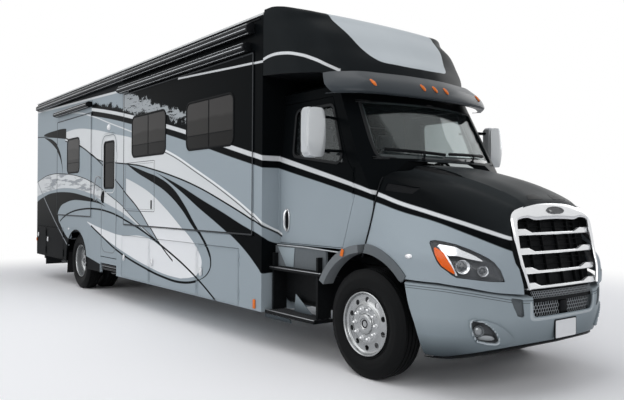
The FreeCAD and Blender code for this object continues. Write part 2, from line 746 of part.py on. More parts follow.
# ---------------------------------------------------------------- cab
CAB_SILL = 80.0             # cab's underside, above the floor's underside
CAB_BELT = 930.0            # where the sides begin to lean in
CAB_ROOF = 1750.0           # roof at the sides
CAB_TOP = 1810.0            # roof at the middle
SCREEN_LOW = (146.0, 961.0)     # windscreen corner, behind the front axle and above the floor's underside
SCREEN_HIGH = (495.0, 1583.0)


def screen_cylinder(inset):
    """Cylinder whose skin is the windscreen's surface, leaning back with it."""
    low = V(at(SCREEN_LOW[0]), 0, floor_z + SCREEN_LOW[1])
    high = V(at(SCREEN_HIGH[0]), 0, floor_z + SCREEN_HIGH[1])
    lean = (high - low).normalize()
    out = V(lean.z, 0, -lean.x)
    radius = (SCREEN_HALF ** 2 + SCREEN_BULGE ** 2) / (2 * SCREEN_BULGE)
    foot = low + out * (SCREEN_BULGE - radius) - lean * 2500
    return Part.makeCylinder(radius - inset, 6000, foot, lean)


def cab_solid(inset):
    """Outer form of the cab, or the same form a wall's thickness smaller."""
    i = inset
    base = floor_z + CAB_SILL + i
    belt = floor_z + CAB_BELT
    top = floor_z + CAB_ROOF
    w = cab_half - i
    across = [(-w, base), (w, base), (w, belt), (w - CAB_LEAN, top - i), (w - CAB_LEAN - 90, top + 45 - i),
              (0, floor_z + CAB_TOP - i),
              (-w + CAB_LEAN + 90, top + 45 - i), (-w + CAB_LEAN, top - i), (-w, belt)]
    x0 = box_front + (i if i < 20 else -20)
    front = at(10) - i
    form = prism_x(across, x0, at(-200))
    low = block(x0, front, -half, half, base - 10, floor_z + SCREEN_LOW[1] - i)
    return form.common(screen_cylinder(inset)).common(
        low.fuse(block(x0, at(-190), -half, half, floor_z + SCREEN_LOW[1] - i - 1, roof_edge)))


DOOR_OUTLINE = (
    # behind the front axle, above the floor's underside
    (1540.0, 95.0), (455.0, 95.0), (300.0, 560.0), (300.0, 850.0), (388.0, 965.0),
    (700.0, 1640.0), (1540.0, 1640.0),
)
DOOR_WINDOW = (
    (1300.0, 1062.0), (460.0, 945.0), (690.0, 1545.0), (1300.0, 1545.0),
)


def outline_of(table):
    return [(at(behind), floor_z + up) for behind, up in table]


def grown(table, by):
    """The same outline moved outwards from its middle by a seam's width."""
    wire = Part.makePolygon([V(x, z, 0) for x, z in outline_of(table + (table[0],))])
    wide = wire.makeOffset2D(by, 2)
    return [(v.Point.x, v.Point.y) for v in wide.OrderedVertexes]


def door_prism(grow):
    """Door's outline through the cab's side; below the cab's floor it goes no deeper than the wall."""
    outline = grown(DOOR_OUTLINE, grow) if grow else outline_of(DOOR_OUTLINE)
    whole = prism_y(outline, -half, -cab_half + CAB_WALL + CAB_LEAN + 40)
    floor_level = floor_z + CAB_SILL + CAB_WALL + GAP - grow
    return whole.cut(block(at(1700), at(200), -cab_half + CAB_WALL + grow, 0, floor_z, floor_level))


def cab_shell():
    """Hollow cab with its doors and windscreen cut out, and the fixed halves of the door hinges."""
    shell = cab_solid(0).cut(cab_solid(CAB_WALL))
    cut = door_prism(GAP)
    shell = shell.cut(cut).cut(mirrored(cut)).cut(screen_prism())
    way = block(box_front - 60, box_front + CAB_WALL + 20, -600, 600, floor_z + 200, floor_z + 1500)
    shell = shell.cut(way)
    fixed = []
    for z in cab_hinges():
        for f in hinge(at(300) + GAP / 2, -cab_half, z)[1]:
            fixed += [f, mirrored(f)]
    return joined([shell] + fixed)


def cab_hinges():
    return (floor_z + 640, floor_z + 800)


def screen_prism():
    """Windscreen's opening: an outline across the vehicle, carried forward through the cab's front."""
    low = floor_z + SCREEN_LOW[1] + 25
    high = floor_z + SCREEN_HIGH[1]
    outline = [(-SCREEN_HALF + 40, low), (SCREEN_HALF - 40, low), (SCREEN_HALF - 75, high - 20),
               (SCREEN_HALF - 120, high), (-SCREEN_HALF + 120, high), (-SCREEN_HALF + 75, high - 20)]
    return prism_x(outline, at(760), at(-300))


def windshield():
    sheet = screen_cylinder(12).cut(screen_cylinder(12 + GLASS))
    return sheet.common(screen_prism())


def cab_door():
    """Cab door cut from the cab's own form, with its hinges, window opening and mirror."""
    inner = cab_solid(CAB_WALL)
    door = cab_solid(0).cut(inner).common(door_prism(0))
    door = door.cut(prism_y(outline_of(DOOR_WINDOW), -half, 0))
    shapes = [door]
    for z in cab_hinges():
        shapes.append(hinge(at(300) + GAP / 2, -cab_half, z)[0])
    head_x = at(520)
    outer = -cab_half - 440
    head = block(head_x - 55, head_x + 55, outer, outer + 215, floor_z + 1010, floor_z + 1470)
    shapes.append(head.makeFillet(30, head.Edges))
    for up, behind in ((1060.0, 470.0), (1400.0, 612.0)):
        z = floor_z + up
        lean = CAB_LEAN * (up - CAB_BELT) / (CAB_ROOF - CAB_BELT)
        shapes.append(rod(14, V(head_x, outer + 150, z), V(at(behind), -cab_half + lean + 25, z)))
    return joined(shapes)


def cab_door_glass():
    sheet = cab_solid(20).cut(cab_solid(20 + GLASS))
    return sheet.common(prism_y(outline_of(DOOR_WINDOW), -half, 0))


def dashboard():
    """Dashboard across the cab, with the steering column and wheel on the left."""
    z = floor_z
    inner = cab_half - CAB_WALL
    outline = [(at(80), z + 640), (at(80), z + 905), (at(200), z + 925), (at(420), z + 860),
               (at(440), z + 640)]
    board = prism_y(outline, -inner + 12, inner - 12).common(cab_solid(CAB_WALL + SEAT_GAP))
    wheel_y = inner / 2
    hub = V(at(640), wheel_y, z + 830)
    lean = V(-0.82, 0, 0.57)
    column = rod(28, V(at(400), wheel_y, z + 690), hub)
    ring = Part.makeTorus(215, 16, hub, lean)
    spokes = []
    side = V(0, 1, 0)
    down = side.cross(lean)
    for d in (side, -side, down):
        spokes.append(rod(14, hub, hub + d * 215))
    return joined([board, column, ring] + spokes)


def cab_seats():
    """Two seats on pedestals on the cab's floor."""
    seats = []
    base = floor_z + CAB_SILL + CAB_WALL
    room = cab_half - CAB_WALL
    foot, cushion, back, head = (room * share for share in (0.18, 0.26, 0.25, 0.14))    # half widths
    for y in (-0.52 * room, 0.52 * room):
        x = at(1180)
        back_side = [(x - 260, base + 430), (x - 140, base + 430), (x - 230, base + 1080), (x - 330, base + 1080)]
        head_side = [(x - 240, base + 1070), (x - 320, base + 1070), (x - 335, base + 1260), (x - 265, base + 1260)]
        seat = [block(x - 180, x + 200, y - foot, y + foot, base, base + 300),
                block(x - 260, x + 270, y - cushion, y + cushion, base + 300, base + 440),
                prism_y(back_side, y - back, y + back),
                prism_y(head_side, y - head, y + head)]
        seats.append(joined(seat))
    return seats


VISOR_PLAN = (
    # behind the front axle, out from the middle plane: the front edge, then the rear edge
    (150.0, 0.0), (190.0, 450.0), (270.0, 830.0), (380.0, 1060.0), (470.0, 1195.0), (600.0, 1195.0),
    (600.0, 950.0),
)


def sun_visor():
    """Visor over the windscreen: its face leans back from the lower edge up to the cap's foot."""
    low = floor_z + 1635
    high = cap_bottom() - 90
    front = [(at(b), -y) for b, y in VISOR_PLAN]
    plan = front + [(at(620), 0)] + [(x, -y) for x, y in reversed(front[1:])]
    slab = prism_z(plan, low, high)
    slab = slab.cut(prism_y([(at(150), low + 60), (at(340), high), (at(620), high + 2), (at(620), high + 60),
                             (at(100), high + 60)], -half, half))
    return slab.cut(cab_solid(0))


# ---------------------------------------------------------------- bonnet, grille, headlights, bumper
BONNET_SECTIONS = (
    # behind the front axle; then (out, above the floor's underside) from the fender's foot up to the middle
    (-15.0, ((1120, -300), (1185, 80), (1125, 380), (1050, 630),
             (955, 800), (700, 880), (500, 915), (0, 930))),
    (-300.0, ((1170, -300), (1200, 130), (1125, 360), (1010, 555),
              (885, 705), (560, 805), (470, 860), (0, 885))),
    (-650.0, ((1190, -300), (1200, 130), (1090, 275), (945, 445),
              (790, 580), (520, 715), (440, 765), (0, 793))),
    (-960.0, ((1110, -300), (1085, 80), (965, 175), (815, 320),
              (695, 460), (487, 608), (413, 652), (0, 682))),
    (-1215.0, ((760, -300), (750, 0), (700, 80), (645, 195),
               (620, 320), (565, 455), (400, 515), (0, 545))),
)
BONNET_PIVOT = (1323.0, -204.0)     # ahead of the front axle, above the floor's underside
PIN_R = 8.0                         # hinge knuckles under the grille
PIN_Y = 200.0                       # middle of each hinge, from the middle plane
BUMPER_TOP = -213.0                 # above the floor's underside, below the grille
GRILLE_LEAN = 0.206                 # forward per unit down
GRILLE_FACE = (1222.0, 288.0)       # a point of its face: ahead of the axle, above the floor's underside
GRILLE_OUTLINE = ((470, -193), (620, 452), (480, 515), (0, 545))
GRILLE_DEPTH = 70.0
FRONT_ARCH = 660.0


def grille_x(z):
    """X of the grille's leaning face at a height."""
    return front_axle_x + GRILLE_FACE[0] - (z - floor_z - GRILLE_FACE[1]) * GRILLE_LEAN


def grille_prism(grow, back, ahead):
    """Grille's outline on its leaning plane, from behind to ahead of its face."""
    ring = [(-w - grow, up - grow * (1 if up < 0 else -1)) for w, up in GRILLE_OUTLINE[:-1]]
    ring.append((0.0, GRILLE_OUTLINE[-1][1] + grow))
    ring += [(-y, up) for y, up in reversed(ring[:-1])]
    start = [V(grille_x(floor_z + up) - back, y, floor_z + up) for y, up in ring]
    return face_of(start).extrude(V(back + ahead, 0, 0))


def bonnet_form(inset):
    """Outer form of the bonnet and fenders, or the same form a shell's thickness smaller."""
    i = inset
    sections = []
    for behind, half_ring in BONNET_SECTIONS:
        x = at(behind)
        if behind == BONNET_SECTIONS[-1][0]:
            x -= i
        if behind == BONNET_SECTIONS[0][0] and i:
            x -= 30
        side = []
        for w, up in half_ring:
            side.append((-max(w * fender_half / 1200.0 - i, 0), floor_z + up - (i if up > -300 else 0)))
        ring = side + [(-y, z) for y, z in reversed(side[:-1])]
        sections.append([V(x, y, z) for y, z in ring])
    return loft(sections)


def bonnet_foot():
    """What lies below the fender's lower edge, in line with the bumper's top."""
    low = floor_z - 310
    line = [(at(-200), floor_z - 120), (at(-560), floor_z - 120), (at(-1100), floor_z - 205),
            (at(-1500), floor_z - 205), (at(-1500), low), (at(-200), low)]
    return prism_y(line, -half, half)


def headlight_prism():
    """Headlight's outline as seen from ahead, right side."""
    outline = [(-1210, 240), (-1000, 205), (-820, 130), (-700, 40), (-650, -60), (-700, -85), (-980, -60),
               (-1210, -25)]
    scale = fender_half / 1200.0
    return prism_x([(y * scale, floor_z + up) for y, up in outline], at(-790), at(-1400))


def bonnet_parts():
    """Bonnet shell, headlights and grille; the shell is open below and behind."""
    x = front_axle_x
    outer = bonnet_form(0)
    shell = outer.cut(bonnet_form(BONNET_SHELL))
    arch = rod(FRONT_ARCH, V(x, -half - 10, wheel_z), V(x, half + 10, wheel_z))
    below = bonnet_foot()
    nose = grille_prism(0, 400, 600)
    beyond = prism_y([(grille_x(floor_z - 300), floor_z - 300), (grille_x(floor_z + 600), floor_z + 600),
                      (x + 2000, floor_z + 600), (x + 2000, floor_z - 300)], -half, half)
    shell = shell.cut(arch).cut(below).cut(beyond).cut(nose)
    lamp = headlight_prism()
    lamps = []
    for piece in (lamp, mirrored(lamp)):
        body = outer.cut(bonnet_form(BONNET_SHELL + 45)).common(piece).cut(arch).cut(below)
        lamps.append(max(body.Solids, key=lambda s: s.Volume))
        shell = shell.cut(lamps[-1])
    solids = sorted(shell.Solids, key=lambda sol: -sol.Volume)
    return solids[0], lamps


def pivot():
    return V(front_axle_x + BONNET_PIVOT[0], 0, floor_z + BONNET_PIVOT[1])


def pivot_knuckles(moving):
    """Knuckles on the bonnet's pivot line: one of the grille's between two of the bumper's, both sides."""
    p = pivot()
    long = 40.0
    shapes = []
    for s in (-1, 1):
        middles = [s * PIN_Y] if moving else [s * PIN_Y - long - SEAT_GAP, s * PIN_Y + long + SEAT_GAP]
        for y in middles:
            shapes.append(rod(PIN_R, V(p.x, y - long / 2, p.z), V(p.x, y + long / 2, p.z)))
            if moving:
                shapes.append(block(p.x - 6, p.x - 30, y - long / 2, y + long / 2, p.z + 2, p.z + 30))
                shapes.append(block(p.x - 6, p.x + 2, y - long / 2, y + long / 2, p.z, p.z + 30))
            else:
                low = floor_z + BUMPER_TOP - 20
                shapes.append(block(p.x - 6, p.x + 4, y - long / 2, y + long / 2, low, p.z))
    return shapes


def grille():
    """Chrome surround with four bars, filling the bonnet's nose."""
    frame = grille_prism(-SEAT_GAP, GRILLE_DEPTH, 0).cut(grille_prism(-62, GRILLE_DEPTH + 100, 100))
    bars = []
    whole = grille_prism(-SEAT_GAP, GRILLE_DEPTH, 0)
    for up in (288.0, 126.0, -35.0, -163.0):
        z = floor_z + up
        bar = block(grille_x(z) - 60, grille_x(z) - 4, -half, half, z - 28, z + 28)
        bars.append(bar.common(whole))
    return joined([frame] + bars + pivot_knuckles(True))


BUMPER_PLAN = ((1345, 0), (1330, 330), (1290, 575), (1180, 800), (1010, 1010), (860, 1130), (700, 1190),
               (560, 1200))


def bumper_form(inset, z0, z1):
    """Bumper's outline in plan, carried upwards."""
    scale = fender_half / 1200.0
    front = []
    for ahead, out in BUMPER_PLAN:
        out = out * scale
        pull = inset * out / fender_half
        front.append((front_axle_x + ahead - inset + 0.35 * pull, -(out - pull)))
    rear_x = front[-1][0] - (10 if inset else 0)
    left = [(x, -y) for x, y in reversed(front[1:])]
    outline = [(rear_x, front[-1][1])] + list(reversed(front[:-1])) + list(reversed(left))
    return prism_z(outline, z0, z1)


def front_bumper():
    """Wrap-round bumper, hollow behind, with a grille slot, fog lamp pockets and brackets to the rails."""
    z0 = floor_z - 745
    z1 = floor_z - 115
    form = bumper_form(0, z0, z1).cut(bumper_form(70, z0 - 10, z1 + 10))
    top = prism_y([(at(-500), floor_z - 128), (at(-560), floor_z - 128), (at(-1100), floor_z + BUMPER_TOP),
                   (at(-1500), floor_z + BUMPER_TOP), (at(-1500), z1 + 10), (at(-500), z1 + 10)], -half, half)
    foot = prism_y([(at(-500), z0), (at(-1000), z0), (at(-1400), z0 + 105), (at(-1400), z0 - 5),
                    (at(-500), z0 - 5)], -half, half)
    arch = rod(FRONT_ARCH + 5, V(front_axle_x, -half - 10, wheel_z), V(front_axle_x, half + 10, wheel_z))
    form = form.cut(top).cut(foot).cut(arch)
    slot = block(at(-1100), at(-1500), -390, 390, floor_z - 430, floor_z - 280)
    form = form.cut(slot)
    brackets = []
    behind_nose = bumper_form(30, z0, z1)
    for s in (-1, 1):
        bracket = block(frame_front, front_axle_x + FRONT_OVERHANG - 60,
                        s * (rail_half - 40), s * (rail_half + 40), rail_bottom - 120, rail_bottom + 100)
        brackets.append(bracket.common(behind_nose))
    return joined([form] + brackets + pivot_knuckles(False))


# ---------------------------------------------------------------- cab steps on the tanks
def cab_steps(side):
    """Tank hung from the rail, with two treads and a fairing panel outside it."""
    z = floor_z
    x0 = box_front + 12
    x1 = at(690)
    rail_out = -(rail_half + RAIL_WIDTH / 2)
    tank = block(x0 + 60, x1 - 40, -cab_half + 70, rail_out - 60, z - 590, z - 70)
    along = [e for e in tank.Edges if abs(e.tangentAt(e.FirstParameter).x) > 0.99]
    tank = tank.makeFillet(90, along)
    shapes = [tank,
              block(x0 + 200, x0 + 280, rail_out - 80, rail_out, rail_bottom + 20, rail_top - 20),
              block(x1 - 300, x1 - 220, rail_out - 80, rail_out, rail_bottom + 20, rail_top - 20),
              block(x0 - 0, x1 + 40, -half + 95, -cab_half + 80, z - 205, z - 180),
              block(x0 - 0, x1, -half + 45, -cab_half + 75, z - 690, z - 655),
              block(x0, x1 + 20, -cab_half - 40, -cab_half - 12, z - 165, z + CAB_SILL - 20),
              block(x0 + 30, x0 + 60, -half + 120, -cab_half + 75, z - 680, z - 20),
              block(x1 - 60, x1 - 30, -half + 120, -cab_half + 75, z - 680, z - 20)]
    return on_side(side, joined(shapes + [quarter_fender()]))


def quarter_fender():
    """Arched panel behind the front wheel, on from the bonnet's wheel arch, with a strap to the tank."""
    x = front_axle_x
    inner = FRONT_ARCH + 5
    outer = inner + 75
    reach = outer * 1.5
    sector = [(x, wheel_z)]
    for degrees in (96, 124, 152):
        angle = math.radians(degrees)
        sector.append((x + reach * math.cos(angle), wheel_z + reach * math.sin(angle)))
    ring = tube(outer, inner, V(x, -fender_half, wheel_z), V(x, -cab_half - 8, wheel_z))
    ring = ring.common(prism_y(sector, -half, 0))
    strap = block(at(770), at(600), -cab_half - 50, -cab_half + 90, wheel_z + 320, wheel_z + 370)
    return ring.fuse(strap)


# ---------------------------------------------------------------- write the nodes
def main():
    save("frame_rails", *frame_rails())
    save("cross_members", *cross_members())
    save("front_axle", front_axle())
    save("rear_axle", rear_axle())
    save("engine_block", engine_block())

    front_middle = front_rim_face - RIM_WIDTH / 2
    rear_outer = rear_rim_face - RIM_WIDTH / 2
    rear_inner = rear_outer - TWIN_SPACING
    for side, s in (("right", -1), ("left", 1)):
        save("knuckle_" + side, knuckle(s))
        save("front_tyre_" + side, tyre(front_axle_x, s * front_middle))
        hub = (s * (kingpin_y + 112), s * (front_rim_face + 20))
        front = rim(front_axle_x, s * front_middle, s * (front_rim_face - 12), *hub)
        save("front_rim_" + side, bored(front, front_axle_x, SPINDLE_R + SEAT_GAP, *hub))
        save("rear_tyres_" + side, tyre(rear_axle_x, s * rear_outer), tyre(rear_axle_x, s * rear_inner))
        joint_y = (rear_outer + rear_inner) / 2
        hub = (s * (rear_inner - 60), s * (rear_rim_face - 60))
        outer_rim = rim(rear_axle_x, s * rear_outer, s * (joint_y + 17), *hub)
        inner_rim = rim(rear_axle_x, s * rear_inner, s * joint_y, *hub)
        twin = joined([outer_rim, inner_rim])
        save("rear_rims_" + side, bored(twin, rear_axle_x, HUB_R + SEAT_GAP, *hub))

    save("box_floor", box_floor())
    save("floor_supports", *floor_supports())
    save("side_wall_right", side_wall("right"))
    save("side_wall_left", side_wall("left"))
    save("rear_wall", rear_wall())
    save("box_front_wall", box_front_wall())
    save("roof", roof())
    save("roof_units", *roof_units())
    save("front_cap", front_cap())
    save("awnings", *awnings())
    save("basement", basement("right"), basement("left"))
    save("stair_well", stair_well())
    save("entry_step", entry_step())
    save("rear_bumper", rear_bumper())

    glass_y = (-half - 2, -half + GLASS - 2)
    save("wall_glass_left", mirrored(bedroom_window(0, *glass_y)))
    outer = -half - SLIDE_PROUD
    deep = (outer - 20, outer + WALL + 20)
    glass_y = (outer - 2, outer + GLASS - 2)
    for side in ("right", "left"):
        save("slide_front_" + side, on_side(side, slide_room("front", front_slide_x, front_windows(*deep))))
        save("slide_glass_front_" + side, *[on_side(side, g) for g in front_windows(*glass_y)])
    save("slide_rear_right", slide_room("rear", rear_slide_x, [bedroom_window(0, *deep)]))
    save("slide_glass_rear_right", bedroom_window(0, *glass_y))

    save("entry_door", entry_door())
    save("entry_door_glass", entry_window(-half + 5, -half + 5 + GLASS))
    for side in ("right", "left"):
        for number, span in enumerate(bay_spans(side), 1):
            save("bay_door_%s_%d" % (side, number), bay_door(side, span))

    save("cab_shell", cab_shell())
    save("windshield", windshield())
    save("dashboard", dashboard())
    save("cab_seats", *cab_seats())
    save("sun_visor", sun_visor())
    save("cab_steps", cab_steps("right"), cab_steps("left"))
    for side in ("right", "left"):
        save("cab_door_" + side, on_side(side, cab_door()))
        save("cab_door_glass_" + side, on_side(side, cab_door_glass()))

    shell, lamps = bonnet_parts()
    save("bonnet", shell)
    save("headlights", *lamps)
    save("grille", grille())
    save("front_bumper", front_bumper())


main()
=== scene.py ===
import bpy
import bmesh
import math
import numpy as np
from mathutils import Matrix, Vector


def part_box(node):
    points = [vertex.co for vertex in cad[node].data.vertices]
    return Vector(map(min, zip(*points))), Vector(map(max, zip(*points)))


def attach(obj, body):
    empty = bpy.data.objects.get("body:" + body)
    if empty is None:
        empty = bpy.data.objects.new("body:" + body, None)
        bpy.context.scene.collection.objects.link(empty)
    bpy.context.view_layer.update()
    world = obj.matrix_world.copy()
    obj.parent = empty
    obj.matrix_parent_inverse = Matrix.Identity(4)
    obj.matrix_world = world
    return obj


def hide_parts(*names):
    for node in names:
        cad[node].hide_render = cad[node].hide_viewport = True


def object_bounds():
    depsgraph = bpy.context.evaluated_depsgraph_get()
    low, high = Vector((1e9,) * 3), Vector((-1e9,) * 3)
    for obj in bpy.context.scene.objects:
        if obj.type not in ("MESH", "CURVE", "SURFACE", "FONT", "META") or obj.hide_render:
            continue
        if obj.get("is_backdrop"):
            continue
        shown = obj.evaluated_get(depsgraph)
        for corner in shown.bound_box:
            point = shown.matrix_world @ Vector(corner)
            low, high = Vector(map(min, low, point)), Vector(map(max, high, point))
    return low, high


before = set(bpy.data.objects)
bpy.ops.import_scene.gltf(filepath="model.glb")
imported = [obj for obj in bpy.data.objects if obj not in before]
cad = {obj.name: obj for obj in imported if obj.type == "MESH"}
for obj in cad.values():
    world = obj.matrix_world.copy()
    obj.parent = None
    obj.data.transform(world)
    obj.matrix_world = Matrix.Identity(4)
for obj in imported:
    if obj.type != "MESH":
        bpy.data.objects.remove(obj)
cad_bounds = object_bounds()


# ---------------------------------------------------------------- stage
# The vehicle stands on a pale floor that runs into a pale backdrop. Four large soft lamps light it from
# above, from ahead and from both sides, and the viewpoint is at eye height off its right front corner.
scene = bpy.context.scene
scene.view_settings.view_transform = "Standard"


def put_in(name, data):
    """An object that shows the data, put in the scene."""
    made = bpy.data.objects.new(name, data)
    scene.collection.objects.link(made)
    return made


eye = put_in("eye", bpy.data.cameras.new("eye"))
eye.location = (9.1985, -5.314, 1.651)
eye.rotation_euler = (math.radians(90.16), math.radians(-0.39), math.radians(52.46))
eye.data.lens = 38.04
eye.data.clip_end = 200
scene.camera = eye


def fed(node, **values):
    """Give a node's named inputs a number or colour each, or link them to other nodes."""
    for name, value in values.items():
        feed(node, name.replace("_", " "), value)
    return node


def feed(node, name, value):
    """Give one input a value, link it to a field or socket, or leave it as it is for None."""
    socket = node.inputs[name]
    value = value.socket if isinstance(value, Field) else value
    if isinstance(value, bpy.types.NodeSocket):
        node.id_data.links.new(value, socket)
    elif value is not None:
        socket.default_value = (*value, 1) if socket.type == "RGBA" else value


def joint_of(tree, kind, *inputs, **settings):
    """A node of one kind with its settings and its first inputs."""
    made = tree.nodes.new(kind)
    for key, value in settings.items():
        setattr(made, key, value)
    for place, value in enumerate(inputs):
        feed(made, place, value)
    return made


class Field:
    """A number or colour at each place of a surface: the output of a node, from which each arithmetic step
    makes one further node."""

    def __init__(self, tree, socket):
        self.tree, self.socket = tree, socket

    def node(self, kind, *inputs, **settings):
        return Field(self.tree, joint_of(self.tree, kind, *inputs, **settings).outputs[0])

    def maths(self, operation, *others):
        return self.node("ShaderNodeMath", self, *others, operation=operation)

    def __add__(self, other):
        return self.maths("ADD", other)

    def __sub__(self, other):
        return self.maths("SUBTRACT", other)

    def __rsub__(self, other):
        return self.node("ShaderNodeMath", other, self, operation="SUBTRACT")

    def __mul__(self, other):
        return self.maths("MULTIPLY", other)

    def __abs__(self):
        return self.maths("ABSOLUTE")

    def most(self, other):
        return self.maths("MAXIMUM", other)

    def scaled(self, by, plus):
        return self.maths("MULTIPLY_ADD", by, plus)

    def wave(self, length):
        """Sine of the distance, one wave for each length."""
        return (self * (2 * math.pi / length)).maths("SINE")

    def length(self):
        """Distance of a place from the origin."""
        measure = joint_of(self.tree, "ShaderNodeVectorMath", self, operation="LENGTH")
        return Field(self.tree, measure.outputs["Value"])

    def ramp(self, soft):
        """1 where it is above zero and 0 where it is below, soft over a few millimetres."""
        return self.node("ShaderNodeMapRange", self, -soft, soft, 0.0, 1.0)

    def over(self, limit, soft=0.004):
        return (self - limit).ramp(soft)

    def under(self, limit, soft=0.004):
        return (limit - self).ramp(soft)

    def within(self, low, high, soft=0.004):
        return self.over(low, soft) * self.under(high, soft)

    def speckle(self, scale, detail=3.0, rough=0.5):
        """Even noise from 0 to 1 at these places, with a scale in grains a metre."""
        return self.node("ShaderNodeTexNoise", self, None, scale, detail, rough)


def axes_of(tree):
    """Object coordinates as X, Y and Z fields, and as one vector field."""
    place = Field(tree, tree.nodes.new("ShaderNodeTexCoord").outputs["Object"])
    parts = joint_of(tree, "ShaderNodeSeparateXYZ", place).outputs
    return [Field(tree, socket) for socket in parts] + [place]


def fresh(name, **values):
    """A new material, its shader with some inputs given, and its axes."""
    material = bpy.data.materials.new(name)
    material.use_nodes = True
    return material, fed(material.node_tree.nodes["Principled BSDF"], **values), *axes_of(material.node_tree)


def shown(tree, output, *mixed):
    """Link a mix of two shaders to the output of a material or world."""
    fed(tree.nodes[output], Surface=joint_of(tree, "ShaderNodeMixShader", *mixed).outputs[0])


FLOOR_REACH = 60.0
FLOOR_WHITE_FROM = 6.5
FLOOR_WHITE_AT = 11.0
floor_mesh = bpy.data.meshes.new("floor")
floor_mesh.from_pydata([(-FLOOR_REACH, -FLOOR_REACH, 0), (FLOOR_REACH, -FLOOR_REACH, 0),
                        (FLOOR_REACH, FLOOR_REACH, 0), (-FLOOR_REACH, FLOOR_REACH, 0)], [], [(0, 1, 2, 3)])
put_in("floor", floor_mesh)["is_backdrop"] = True

# matt, so that it takes the shadow near the wheels, and fading to the backdrop's white further out
floor_matt, matt, x, y, z, place = fresh("studio_floor", Base_Color=(0.95, 0.95, 0.96), Roughness=0.75,
                                         Specular_IOR_Level=0.1)
tree = floor_matt.node_tree
fade = place.node("ShaderNodeMapRange", place.length(), FLOOR_WHITE_FROM, FLOOR_WHITE_AT,
                  interpolation_type="SMOOTHSTEP")
white = fed(tree.nodes.new("ShaderNodeEmission"), Color=(1, 1, 1))
rays = tree.nodes.new("ShaderNodeLightPath").outputs
shown(tree, "Material Output", fade * rays["Is Camera Ray"], matt.outputs["BSDF"], white.outputs[0])
floor_mesh.materials.append(floor_matt)

# the world lights softly, and is plain white to the viewpoint and in reflections
scene.world = bpy.data.worlds.new("studio")
scene.world.use_nodes = True
tree = scene.world.node_tree
sky = fed(tree.nodes["Background"], Color=(0.93, 0.95, 1.0), Strength=0.42)
seen = fed(tree.nodes.new("ShaderNodeBackground"), Color=(1, 1, 1), Strength=1.0)
rays = tree.nodes.new("ShaderNodeLightPath").outputs
plain = Field(tree, rays["Is Camera Ray"]).most(rays["Is Glossy Ray"]).most(rays["Is Transmission Ray"])
shown(tree, "World Output", plain, sky.outputs[0], seen.outputs[0])

STUDIO_LAMPS = (
    # name, place, aim, size, watts
    ("overhead", (1.0, -3.0, 11.0), (0.0, 0.0, 2.0), 12.0, 620.0),
    ("front_quarter", (13.0, -7.0, 6.5), (4.0, 0.0, 1.5), 6.0, 300.0),
    ("side", (-3.0, -14.0, 6.0), (-1.0, 0.0, 2.0), 10.0, 480.0),
    ("far_side", (4.0, 13.0, 7.0), (2.0, 0.0, 2.0), 8.0, 330.0),
)
for name, at, aim, size, watts in STUDIO_LAMPS:
    lamp = bpy.data.lights.new(name, "AREA")
    lamp.shape = "SQUARE"
    lamp.size = size
    lamp.energy = watts
    holder = put_in(name, lamp)
    away = np.array(at) - np.array(aim)
    holder.location = at
    holder.rotation_euler = (math.atan2(math.hypot(away[0], away[1]), away[2]), 0,
                             math.atan2(away[1], away[0]) + math.pi / 2)

# ---------------------------------------------------------------- painted body panels
# The box, its slide-out rooms, the luggage bays and the doors are gel-coated composite panels in
# silver grey. Vinyl swooshes, a white stripe with a black band and a black upper front run across them.


def swept(along, points):
    """Smooth curve through (along, across) points in metres, read at the field `along`."""
    starts, heights = zip(*points)
    low = min(heights)
    reach = (max(heights) - low) or 1.0
    share = along.node("ShaderNodeMapRange", along, starts[0], starts[-1], 0.0, 1.0)
    bent = joint_of(along.tree, "ShaderNodeFloatCurve", 1.0, share)
    line = bent.mapping.curves[0]
    while len(line.points) < len(points):
        line.points.new(0.5, 0.5)
    for spot, (start, height) in zip(line.points, points):
        spot.location = ((start - starts[0]) / (starts[-1] - starts[0]), (height - low) / reach)
    bent.mapping.update()
    return Field(along.tree, bent.outputs[0]).scaled(reach, low)


def laid(under, mask, colour):
    """A film of one colour, or a field's, over what is under it, where the mask is 1."""
    made = joint_of(mask.tree, "ShaderNodeMix", mask, data_type="RGBA")
    colours = [place for place, socket in enumerate(made.inputs) if socket.type == "RGBA"]
    feed(made, colours[0], under)
    feed(made, colours[1], colour)
    return Field(mask.tree, next(socket for socket in made.outputs if socket.type == "RGBA"))


SILVER = (0.29, 0.335, 0.365)
LIGHT_SILVER = (0.62, 0.64, 0.65)
PALE_GREY = (0.33, 0.355, 0.37)
LEAF_WHITE = (0.74, 0.755, 0.77)
BLACK = (0.0032, 0.004, 0.0046)
CHARCOAL = (0.009, 0.0105, 0.0118)
DECK_BLACK = (0.026, 0.03, 0.032)

STRIPE_TOP = ((-2.5, 3.297), (-1.5, 3.137), (-0.5, 2.952), (0.6, 2.727), (1.5, 2.527), (2.35, 2.327),
              (2.86, 2.207), (3.3, 2.1), (3.9, 1.95), (4.3, 1.845), (4.65, 1.745), (4.913, 1.66),
              (5.216, 1.577), (5.465, 1.499), (5.685, 1.422), (5.83, 1.37), (5.98, 1.315))
STRIPE_FOOT = ((-2.5, 3.242), (-1.5, 3.082), (-0.5, 2.897), (0.6, 2.672), (1.5, 2.472), (2.35, 2.272),
               (2.86, 2.152), (3.3, 2.047), (3.9, 1.903), (4.3, 1.806), (4.65, 1.712), (4.913, 1.63),
               (5.216, 1.549), (5.465, 1.472), (5.685, 1.394), (5.83, 1.342), (5.98, 1.285))
SHADOW_FOOT = ((-2.5, 3.155), (-1.5, 2.995), (-0.5, 2.81), (0.6, 2.585), (1.5, 2.385), (2.35, 2.185),
               (2.86, 2.07), (3.3, 1.968), (3.9, 1.833), (4.3, 1.738), (4.65, 1.653), (4.977, 1.563),
               (5.275, 1.491), (5.52, 1.403), (5.722, 1.316), (5.83, 1.262), (5.98, 1.17))
